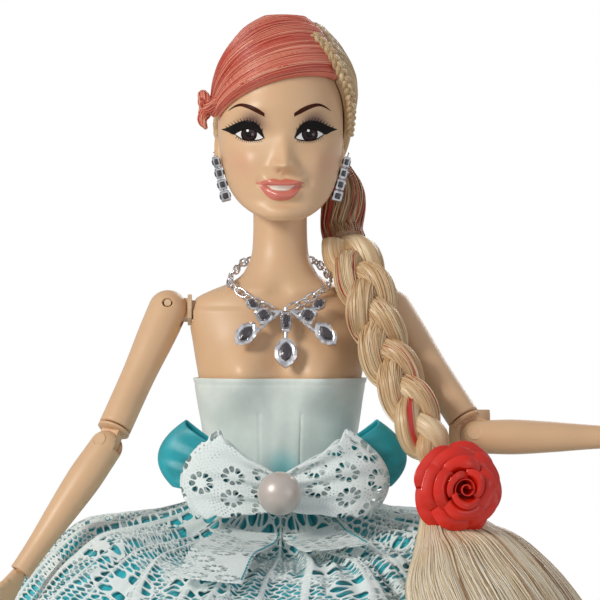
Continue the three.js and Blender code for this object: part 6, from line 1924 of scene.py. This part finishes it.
def bow_loops(form, size, y, thickness, round_end, scallops, pleats, lag, uneven):
    """Two flattened loops of ribbon, rounded at their outer ends, with backs that stand above their fronts."""
    long, tall, rise = size
    share = np.linspace(0.002, 0.998, 100)[:, None]
    w = np.linspace(-1, 1, 61)[None, :]
    out = np.sin(share * math.pi)
    for side in (-1, 1):
        grow = 1 + uneven * side
        reach = out * (1 - round_end * (w + 0.18) ** 2 * out)
        x = side * long * grow * reach
        belly = -LOOP_PUFF * np.sin(share * 2 * math.pi) - RIBBON_THICK * np.cos(share * math.pi)
        depth = belly + LOOP_SWEEP * (x / RIBBON_LOOP[0]) ** 2
        half = tall / 2 * mix(0.36, 1, out**0.8)
        edge = 1 - scallops * (1 - np.abs(np.sin(share * math.pi * 7 + 0.4))) * out
        pleat = pleats * (1 - out) ** 0.7 * np.cos(w * 3.2 * math.pi)
        curl = 0.4 * np.sin(w * 2.2 + share * 5 + side) * out * pleats
        back = lag * out * smooth_step(share, 0.42, 0.6)
        z = rise * (out + 0.25 * uneven * side) + half * w * edge + 0.3 * pleat + back
        middle = moved(stacked(x, depth + pleat + curl, z), shifted(0, y, BOW_HEIGHT))
        slope = np.gradient(middle, axis=0), np.gradient(middle, axis=1)
        normal = unit(np.cross(slope[0], slope[1]))
        lengths = lengths_along(middle[:, 30])
        uv = stacked((w * tall / 2 - 2.15)[0][None, :], lengths[:, None] + 70 * (side > 0))
        form.slab(middle + normal * thickness / 2, middle - normal * thickness / 2, uv=uv)
    return form


def bow_knot(form, y, wide, deep, tall):
    """The wrap round the middle of a bow, pleated along its length."""
    share = np.linspace(0.04, 0.96, 40)[:, None]
    angle = ring_angles(80)[None, :]
    size = np.sin(share * math.pi) ** 0.55 * (1 + 0.05 * np.cos(9 * angle))
    points = stacked(wide * size * np.cos(angle), deep * size * np.sin(angle), tall * (2 * share - 1))
    form.loft(moved(points, shifted(0, y, BOW_HEIGHT)))


def bow_tail(name, node, direction, length, start):
    """A strip of lace that hangs from the bow and lies over the gown."""
    rows, cols = 90, 36
    share = down_rows(rows)
    across = np.linspace(-1, 1, cols)[None, :]
    place = start + share * length / GOWN_PROFILE
    half = TAIL_WIDTH / 2 / GOWN(place)[0]
    edge = 1 + 0.045 * np.abs(np.sin(share * length / 3.2 * math.pi)) * (np.abs(across) > 0.98)
    angle = math.radians(direction) + across * half * edge
    wave = 0.12 * (1 + np.sin(share * 9 + across * 2))
    point = over_gown(place, angle, CLOTH_GAP + 0.1 + wave)
    under = over_gown(place, angle, CLOTH_GAP + wave - 0.12)
    uv = stacked(across * TAIL_WIDTH / 2 + 40, share * length)
    form = Form().slab(point, under, uv=uv)
    mark = over_gown(place[:, 0], math.radians(direction) + 0.97 * half[:, 0], CLOTH_GAP + 0.35)
    for i in range(0, rows - 3, 3):
        form.tube(mark[i : i + 3], 0.17, 6, (1, 0, 0), mark=1)
    item = form.piece(name, lace_of("Tail lace"), satin_of("Turquoise ribbon"))
    worn(item, "torso", "white_lace", node)


def bow_pieces():
    form = bow_loops(Form(), RIBBON_LOOP, RIBBON_Y, 0.35, 0.16, 0, 0.5, 1.3, 0.02)
    bow_knot(form, RIBBON_Y, KNOT_HALF, 1.7, 2.1)
    low = WAIST + SEAT_GAP * 3
    seat = np.linspace(0.3, -RIBBON_Y - WAIST_FRONT, 14)[:, None]
    angle = ring_angles(40)[None, :]
    tall = SASH_HEIGHT - SEAT_GAP * 3
    wide = KNOT_HALF / 2 * (1 + 0.05 * np.cos(6 * angle))
    form.loft(stacked(wide * np.cos(angle), RIBBON_Y + seat, low + tall / 2 + tall / 2 * np.sin(angle)))
    ribbon = form.piece("satin_bow", satin_of("Turquoise ribbon"))
    worn(ribbon, "torso", "turquoise_ribbon", "ribbon_bow")
    long, tall, rise = LACE_LOOP
    form = bow_loops(Form(), (long, tall * 1.13, rise), LACE_Y, 0.3, 0.28, 0.13, 0.6, 0.5, 0.05)
    bow_knot(form, LACE_Y, KNOT_HALF * 0.9, 1.6, 2.1)
    lace = form.piece("lace_loops", lace_of("Bow lace"))
    worn(lace, "torso", "white_lace", "lace_bow")
    bow_tail("lace_tail_right", "bow_tail_right", -106, 62, 0.12)
    bow_tail("lace_tail_left", "bow_tail_left", -72, 34, 0.12)

    pearl_y = LACE_Y - LOOP_PUFF - RIBBON_THICK / 2 - SEAT_GAP - PEARL_RADIUS
    seat = shifted(0, pearl_y, BOW_HEIGHT) @ turned("x", 90)
    turn = np.linspace(0.02, math.pi - 0.02, 60)
    bead = Form().lathe(np.stack([PEARL_RADIUS * np.sin(turn), -PEARL_RADIUS * np.cos(turn)], 1), seat, 96)
    cup = [(0.05, -4.4), (1.6, -4.4), (2.6, -3.9), (3.1, -3.4), (3.0, -3.2), (0.05, -3.6)]
    bead.lathe(cup, seat, 36, mark=1)
    coat = coated(
        "Pearl coat", "C9BEB6", "A3978E", (0.02, 0.02), Coat_Weight=0.8, Coat_Roughness=0.15, Metallic=0.25,
        Sheen_Weight=0.3,
    )
    worn(bead.piece("bow_pearl", coat, silver_material()), "torso", "pearl_coat", "pearl")


# Jewellery
def ring_link(form, matrix, long, wide, wire, sides=10, steps=28):
    """One oval link of round wire."""
    a = np.linspace(0, 2 * math.pi, steps)
    line = stacked(0 * a, wide / 2 * np.sin(a), long / 2 * np.cos(a) * np.abs(np.cos(a)) ** -0.12)
    along = unit(stacked(0 * a, wide / 2 * np.cos(a), -long / 2 * np.sin(a)))
    across = stacked(1 + 0 * a, 0, 0)
    out = np.cross(along, across)
    turn = ring_angles(sides)
    rings = line[:, None] + wire * (across[:, None] * np.cos(turn)[:, None] + out[:, None] * np.sin(turn)[:, None])
    form.loft(moved(rings, matrix), ends=(False, False))


def necklace_piece():
    share = np.linspace(0.522, 1.478, 900)
    front = (1 - np.cos(2 * math.pi * share)) / 2
    angle = math.pi / 2 + share * 2 * math.pi
    height = CHAIN_BACK - CHAIN_DROP * front**2.4
    here = torso_point(angle, height, CHAIN_OFFSET)
    below = torso_point(angle, height - 0.9, CHAIN_OFFSET)
    farther = np.hypot(below[:, 0], below[:, 1]) > np.hypot(here[:, 0], here[:, 1])
    here[farther, :2] = below[farther, :2]
    lengths = lengths_along(here)
    long, wide, wire = LINK
    count = int(round(lengths[-1] / (long * 0.7)))
    even = np.linspace(long / 2, lengths[-1] - long / 2, count)
    line = np.stack([np.interp(even, lengths, here[:, i]) for i in range(3)], 1)
    along = unit(np.gradient(line, axis=0))
    out = unit(line * np.array([1, 1, 0]))
    form = Form()
    for i in range(count):
        side = unit(np.cross(along[i], out[i]))
        matrix = np.eye(4)
        matrix[:3] = np.stack([np.cross(side, along[i]), side, along[i], line[i]], 1)
        ring_link(form, matrix @ turned("z", 28 if i % 2 else -28), long, wide * 0.78, wire * 0.68)
    worn(form.piece("chain_links", silver_material(), weld=True), "torso", "silver", "necklace_chain")


def faceted(form, outline, matrix, low, girdle, high, table, mark):
    """A stone cut from an outline: straight girdle, sloping facets, flat table."""
    outline = np.array(outline, float)
    levels = [(1, low), (1, girdle), (mix(1, table, 0.45), mix(girdle, high, 0.72)), (table, high)]
    rings = np.stack([stacked(outline[:, 0] * s, outline[:, 1] * s, z) for s, z in levels])
    form.loft(moved(rings, matrix), mark=mark)


def stone_outline(wide, tall, leaf):
    """A stone seen from above: pointed at both ends like a leaf, or with its corners cut off."""
    end = [(0.62, 0.72), (0, 1), (-0.62, 0.72)] if leaf else [(0.7, 1), (-0.7, 1)]
    half = [(1, 0.3), *end, (-1, 0.3)]
    outline = [(1, -0.3), *half, *[(-x, -y) for x, y in half[:-1]]]
    return [(x * wide, y * tall) for x, y in outline]


def pendant_piece():
    depth = float(chest_y(0, PENDANT_HEIGHT)) - 2.45
    place = shifted(PENDANT_SHIFT, depth, PENDANT_HEIGHT) @ turned("x", 90 - PENDANT_TILT)
    stones = [(0, -0.22, 0.1, 0.34, 0, False), (0, -0.72, 0.2, 0.5, 0, True)]
    for x, z, wide, tall, turn, leaf in (
        (0.2, -0.12, 0.17, 0.24, 62, False), (0.36, -0.42, 0.17, 0.46, 40, True),
        (0.3, 0.06, 0.1, 0.24, -60, True),
    ):
        stones += [(x, z, wide, tall, turn, leaf), (-x, z, wide, tall, -turn, leaf)]
    form = Form()
    for x, z, wide, tall, turn, leaf in stones:
        seat = place @ shifted(x * PENDANT[0], z * PENDANT[1], 0) @ turned("z", turn)
        half_wide, half_tall = wide * PENDANT[0] / 2, tall * PENDANT[1] / 2
        outline = stone_outline(half_wide * 0.56, half_tall * 0.66, leaf)
        faceted(form, outline, seat, 0.1, 0.75, 1.45, 0.5, 1)
        rim = np.array(stone_outline(half_wide, half_tall, leaf))
        stone = np.array(outline)
        levels = ((rim, -0.2), (rim, 0.6), (mix(rim, stone, 0.6), 0.95), (stone, 0.8))
        rings = np.stack([stacked(edge[:, 0], edge[:, 1], z) for edge, z in levels])
        form.loft(moved(rings, seat))
        for a in (0, len(rim) // 2):
            form.lathe([(0.05, 0.3), (0.2, 0.3), (0.2, 1), (0.05, 1.15)], seat @ shifted(*(stone[a] * 0.97), 0), 10)
    for points, size in (
        ([(-6.1, -0.65, 0), (6.1, -0.65, 0)], 0.42), ([(0, 0, 0), (0, -10.2, 0)], 0.42),
        ([(1, -0.6, 0), (7.6, -6.4, 0)], 0.4), ([(-1, -0.6, 0), (-7.6, -6.4, 0)], 0.4),
    ):
        line = np.linspace(*np.array(points, float), 6)
        form.tube(moved(line, place), size, 12, (0.1, 1, 0.3))
    dark = stone_material("Dark stone", "3A3238", "1C1720", 0.45)
    item = form.piece("pendant_stones", silver_material(), dark, sharp=25)
    worn(item, "torso", "silver", "necklace_pendant")


def ear_drop_piece(side, name):
    place = HEAD_PLACE @ shifted(side * 13.7, -3.6, CHIN + 14.2) @ turned("y", side * 15)
    pitch = DROP_LENGTH / 4.5
    form = Form()
    for i in range(4):
        size = DROP_WIDTH * (0.85 + 0.12 * i)
        middle = place @ shifted(0, 0, -pitch * (i + 1))
        half = np.array([0.36 * size, 0.5 * size, 1.12])
        square = np.array([[-1, -1], [1, -1], [1, 1], [-1, 1]])
        levels = ((0.8, -1), (1, -0.82), (1, 0.82), (0.8, 1))
        rings = np.stack([np.column_stack([square * half[:2] * s, np.full(4, z * half[2])]) for s, z in levels])
        form.loft(moved(rings, middle))
        for axis, degrees, wide in (("y", 90, size * 0.32), ("y", -90, size * 0.32), ("x", 90, size * 0.22)):
            face, reach = turned(axis, degrees), half["yx".index(axis)]
            cut = [(wide, 0.45), (0.7 * wide, 0.6), (-0.7 * wide, 0.6), (-wide, 0.45)]
            cut += [(a, -b) for a, b in cut[::-1]]
            if axis == "y":
                cut = [(b, a) for a, b in cut][::-1]
            faceted(form, cut, middle @ face @ shifted(0, 0, reach - 0.12), 0, 0.14, 0.36, 0.5, 1)
        if i:
            ring_link(form, middle @ shifted(0, 0, pitch / 2), 0.7, 0.6, 0.12, 8, 16)
    ring_link(form, place @ shifted(0, 0, -pitch * 0.42), 1.2, 0.8, 0.14, 8, 16)
    clear = stone_material("Clear stone", "241E22", "0C0A0C", 0.0)
    item = form.piece("crystal_drop_" + name, silver_material(), clear, sharp=25, weld=True)
    worn(item, "head", "silver", "ear_drop_" + name)


# Joint finishes and the stage
PHOTO_LENS = 268.5
PHOTO_PLACE = (0.004, -0.9, 0.2382)


def repaint(node, material):
    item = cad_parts[node]
    if not item.material_slots:
        item.data.materials.append(None)
    for place in item.material_slots:
        place.link = "OBJECT"
        place.material = material


def finish_joints():
    shell = plastic_material("Joint plastic", "E2C29C", "CFA67C")
    steel = silver_material("Pin steel", "C6C8CC", "6A6A70")
    given = {"Cloth": colour("3A3032"), "Shade": colour("1A1416"), "Thread": 3.0, "Crease": 0.4}
    band = WARDROBE.dress("Hair elastic", woven_cloth, given, (0.2, 0.1))
    repaint("neck_swivel", shell)
    repaint("neck_pin", steel)
    repaint("braid_band", band)
    for side in ("right", "left"):
        repaint("shoulder_yoke_" + side, shell)
        repaint("hip_yoke_" + side, shell)
        repaint("shoulder_pin_" + side, shell)
        for pin in ("hip_pin_", "knee_pin_"):
            repaint(pin + side, steel)


def soft_lamp(name, place, target, size, power, tint):
    data = bpy.data.lights.new(name, "AREA")
    data.shape, data.size, data.energy, data.color = "DISK", size, power, tint
    lamp = bpy.data.objects.new(name, data)
    lamp.location = place
    lamp.rotation_euler = (Vector(target) - Vector(place)).to_track_quat("-Z", "Y").to_euler()
    bpy.context.scene.collection.objects.link(lamp)


def build_stage():
    scene = bpy.context.scene
    data = bpy.data.cameras.new("Camera")
    data.lens, data.sensor_width, data.clip_start = PHOTO_LENS, 36, 0.01
    camera = bpy.data.objects.new("Camera", data)
    camera.location, camera.rotation_euler = PHOTO_PLACE, (math.pi / 2, 0, 0)
    scene.collection.objects.link(camera)
    scene.camera = camera
    scene.view_settings.view_transform = "Standard"

    side = np.linspace(-2.0, 2.0, 5) / MM
    floor = np.stack([stacked(side, y, -0.02) for y in side])
    paint, wires, surface = WARDROBE.start("Stage floor", Roughness=0.8)
    cloud = wires.noise(wires.place(), 3.0, 2)
    wires.feed(surface.inputs["Base Color"], wires.mixed(cloud, colour("F0F0F0"), colour("E9E9E9")))
    ground = Form().slab(floor).piece("stage_floor", paint)

    world = bpy.data.worlds.new("Studio")
    world.use_nodes = True
    scene.world = world
    wires = Wiring(world.node_tree)
    sky = world.node_tree.nodes["Background"]
    path = wires.add("LightPath").outputs
    seen = wires.math("MAXIMUM", path["Is Camera Ray"], path["Is Transmission Ray"])
    seen = wires.math("MAXIMUM", seen, wires.math("MULTIPLY", path["Is Glossy Ray"], 0.35))
    wires.feed(sky.inputs["Color"], wires.mixed(seen, (0.33, 0.34, 0.36, 1), (1.0, 1.0, 1.0, 1)))
    sky.inputs["Strength"].default_value = 1.0
    middle = (0, 0, 0.235)
    soft_lamp("Key", (-0.58, -0.55, 0.6), middle, 0.28, 4.3, (1, 0.96, 0.9))
    soft_lamp("Fill", (0.6, -0.55, 0.28), middle, 0.5, 0.55, (0.95, 0.97, 1))
    soft_lamp("Back", (0.3, 0.6, 0.55), middle, 0.4, 1.6, (1, 1, 1))


# Settings and operators
def paint_property(label, text, code):
    return bpy.props.FloatVectorProperty(
        name=label, description=text, subtype="COLOR", size=4, min=0, max=1, default=colour(code)
    )


class DollColours(bpy.types.PropertyGroup):
    """Colours of the doll's finishes."""

    skin: paint_property("Skin", "Colour of the moulded vinyl", "E3BB92")
    fringe: paint_property("Fringe", "Colour of the coral fringe", "DC6A56")
    blond: paint_property("Blond", "Light tone of the blond hair", "F0D9AC")
    dye: paint_property("Dyed strands", "Colour of the strands dyed red", "C8352A")
    bodice: paint_property("Bodice", "Colour of the bodice's satin", "ECF5EE")
    gown: paint_property("Gown", "Colour of the satin under the lace", "3CCBD8")
    ribbon: paint_property("Ribbon", "Colour of the sash and the ribbon bow", "20AEBB")
    rose: paint_property("Rose", "Colour of the resin rose", "E6260F")


class DollSizes(bpy.types.PropertyGroup):
    """Sizes of the fine detail that the solids leave out."""

    hair_fullness: bpy.props.FloatProperty(
        name="Hair fullness", description="Share of the single strands that are laid", default=1.0, min=0.1,
        max=1.5, subtype="FACTOR",
    )
    lace_cell: bpy.props.FloatProperty(
        name="Lace cell", description="Width of one cell of the skirt's lace", default=0.00125, min=0.0005,
        max=0.005, unit="LENGTH", precision=5,
    )


class DOLL_OT_stage(bpy.types.Operator):
    """Set the camera, the soft lamps and the floor"""

    bl_idname = "doll.stage"
    bl_label = "Stage"

    def execute(self, context):
        build_stage()
        return {"FINISHED"}


class DOLL_OT_torso(bpy.types.Operator):
    """Mould the torso as one smooth form with its joint sockets"""

    bl_idname = "doll.torso"
    bl_label = "Torso"

    def execute(self, context):
        torso_piece()
        return {"FINISHED"}


class DOLL_OT_arms(bpy.types.Operator):
    """Mould both arms, their elbow joints and their hands"""

    bl_idname = "doll.arms"
    bl_label = "Arms and hands"

    def execute(self, context):
        for name, arm in ARMS.items():
            arm_pieces(name, arm)
            hand_piece(name, arm)
        return {"FINISHED"}


class DOLL_OT_legs(bpy.types.Operator):
    """Mould both legs with their feet and shoes"""

    bl_idname = "doll.legs"
    bl_label = "Legs and shoes"

    def execute(self, context):
        for name, arm in ARMS.items():
            leg_pieces(name, arm["side"])
        return {"FINISHED"}


class DOLL_OT_head(bpy.types.Operator):
    """Mould the head and its ears, and paint the face"""

    bl_idname = "doll.head"
    bl_label = "Head and face"

    def execute(self, context):
        head_piece()
        face_paint()
        return {"FINISHED"}


class DOLL_OT_hair(bpy.types.Operator):
    """Lay the fringe, the crown, the temple knot and the thin plait"""

    bl_idname = "doll.hair"
    bl_label = "Hair"

    def execute(self, context):
        scalp_hair_pieces()
        knot_piece()
        plait_piece()
        return {"FINISHED"}


class DOLL_OT_braid(bpy.types.Operator):
    """Weave the braid from its gather to its loose end"""

    bl_idname = "doll.braid"
    bl_label = "Braid"

    def execute(self, context):
        gather_piece()
        braid_piece()
        tail_piece()
        return {"FINISHED"}


class DOLL_OT_rose(bpy.types.Operator):
    """Cup the petals of the resin rose"""

    bl_idname = "doll.rose"
    bl_label = "Rose"

    def execute(self, context):
        rose_piece()
        return {"FINISHED"}


class DOLL_OT_bodice(bpy.types.Operator):
    """Wrap the bodice, the sash and the closing flap round the torso"""

    bl_idname = "doll.bodice"
    bl_label = "Bodice and sash"

    def execute(self, context):
        bodice_pieces()
        return {"FINISHED"}


class DOLL_OT_gown(bpy.types.Operator):
    """Gather the gown's net, satin and lace layers"""

    bl_idname = "doll.gown"
    bl_label = "Gown"

    def execute(self, context):
        gown_pieces()
        return {"FINISHED"}


class DOLL_OT_bow(bpy.types.Operator):
    """Tie the ribbon bow, the lace bow, their tails and the pearl"""

    bl_idname = "doll.bow"
    bl_label = "Bow"

    def execute(self, context):
        bow_pieces()
        return {"FINISHED"}


class DOLL_OT_jewellery(bpy.types.Operator):
    """Link the necklace and set its stones and the ear drops"""

    bl_idname = "doll.jewellery"
    bl_label = "Jewellery"

    def execute(self, context):
        necklace_piece()
        pendant_piece()
        ear_drop_piece(-1, "right")
        ear_drop_piece(1, "left")
        return {"FINISHED"}


class DOLL_OT_joints(bpy.types.Operator):
    """Give the swivels, pins and the hair band their finishes"""

    bl_idname = "doll.joints"
    bl_label = "Joint finishes"

    def execute(self, context):
        finish_joints()
        return {"FINISHED"}


OPERATORS = (
    DOLL_OT_stage, DOLL_OT_torso, DOLL_OT_arms, DOLL_OT_legs, DOLL_OT_head, DOLL_OT_hair, DOLL_OT_braid,
    DOLL_OT_rose, DOLL_OT_bodice, DOLL_OT_gown, DOLL_OT_bow, DOLL_OT_jewellery, DOLL_OT_joints,
)


class DOLL_PT_sidebar(bpy.types.Panel):
    """The doll's colours, sizes and steps"""

    bl_idname = "DOLL_PT_sidebar"
    bl_label = "Jointed fashion doll"
    bl_space_type = "VIEW_3D"
    bl_region_type = "UI"
    bl_category = "Doll"

    def draw(self, context):
        layout = self.layout
        for group in (context.scene.doll_colours, context.scene.doll_sizes):
            for name in group.__annotations__:
                layout.prop(group, name)
        for step in OPERATORS:
            layout.operator(step.bl_idname)


CLASSES = (DollColours, DollSizes, *OPERATORS, DOLL_PT_sidebar)


def register():
    for item in CLASSES:
        bpy.utils.register_class(item)
    bpy.types.Scene.doll_colours = bpy.props.PointerProperty(type=DollColours)
    bpy.types.Scene.doll_sizes = bpy.props.PointerProperty(type=DollSizes)


def unregister():
    del bpy.types.Scene.doll_sizes, bpy.types.Scene.doll_colours
    for item in reversed(CLASSES):
        bpy.utils.unregister_class(item)


def main():
    register()
    steps = bpy.ops.doll
    steps.stage()
    steps.torso()
    steps.arms()
    steps.legs()
    steps.head()
    steps.hair()
    steps.braid()
    steps.rose()
    steps.bodice()
    steps.gown()
    steps.bow()
    steps.jewellery()
    steps.joints()


if __name__ == "__main__":
    main()
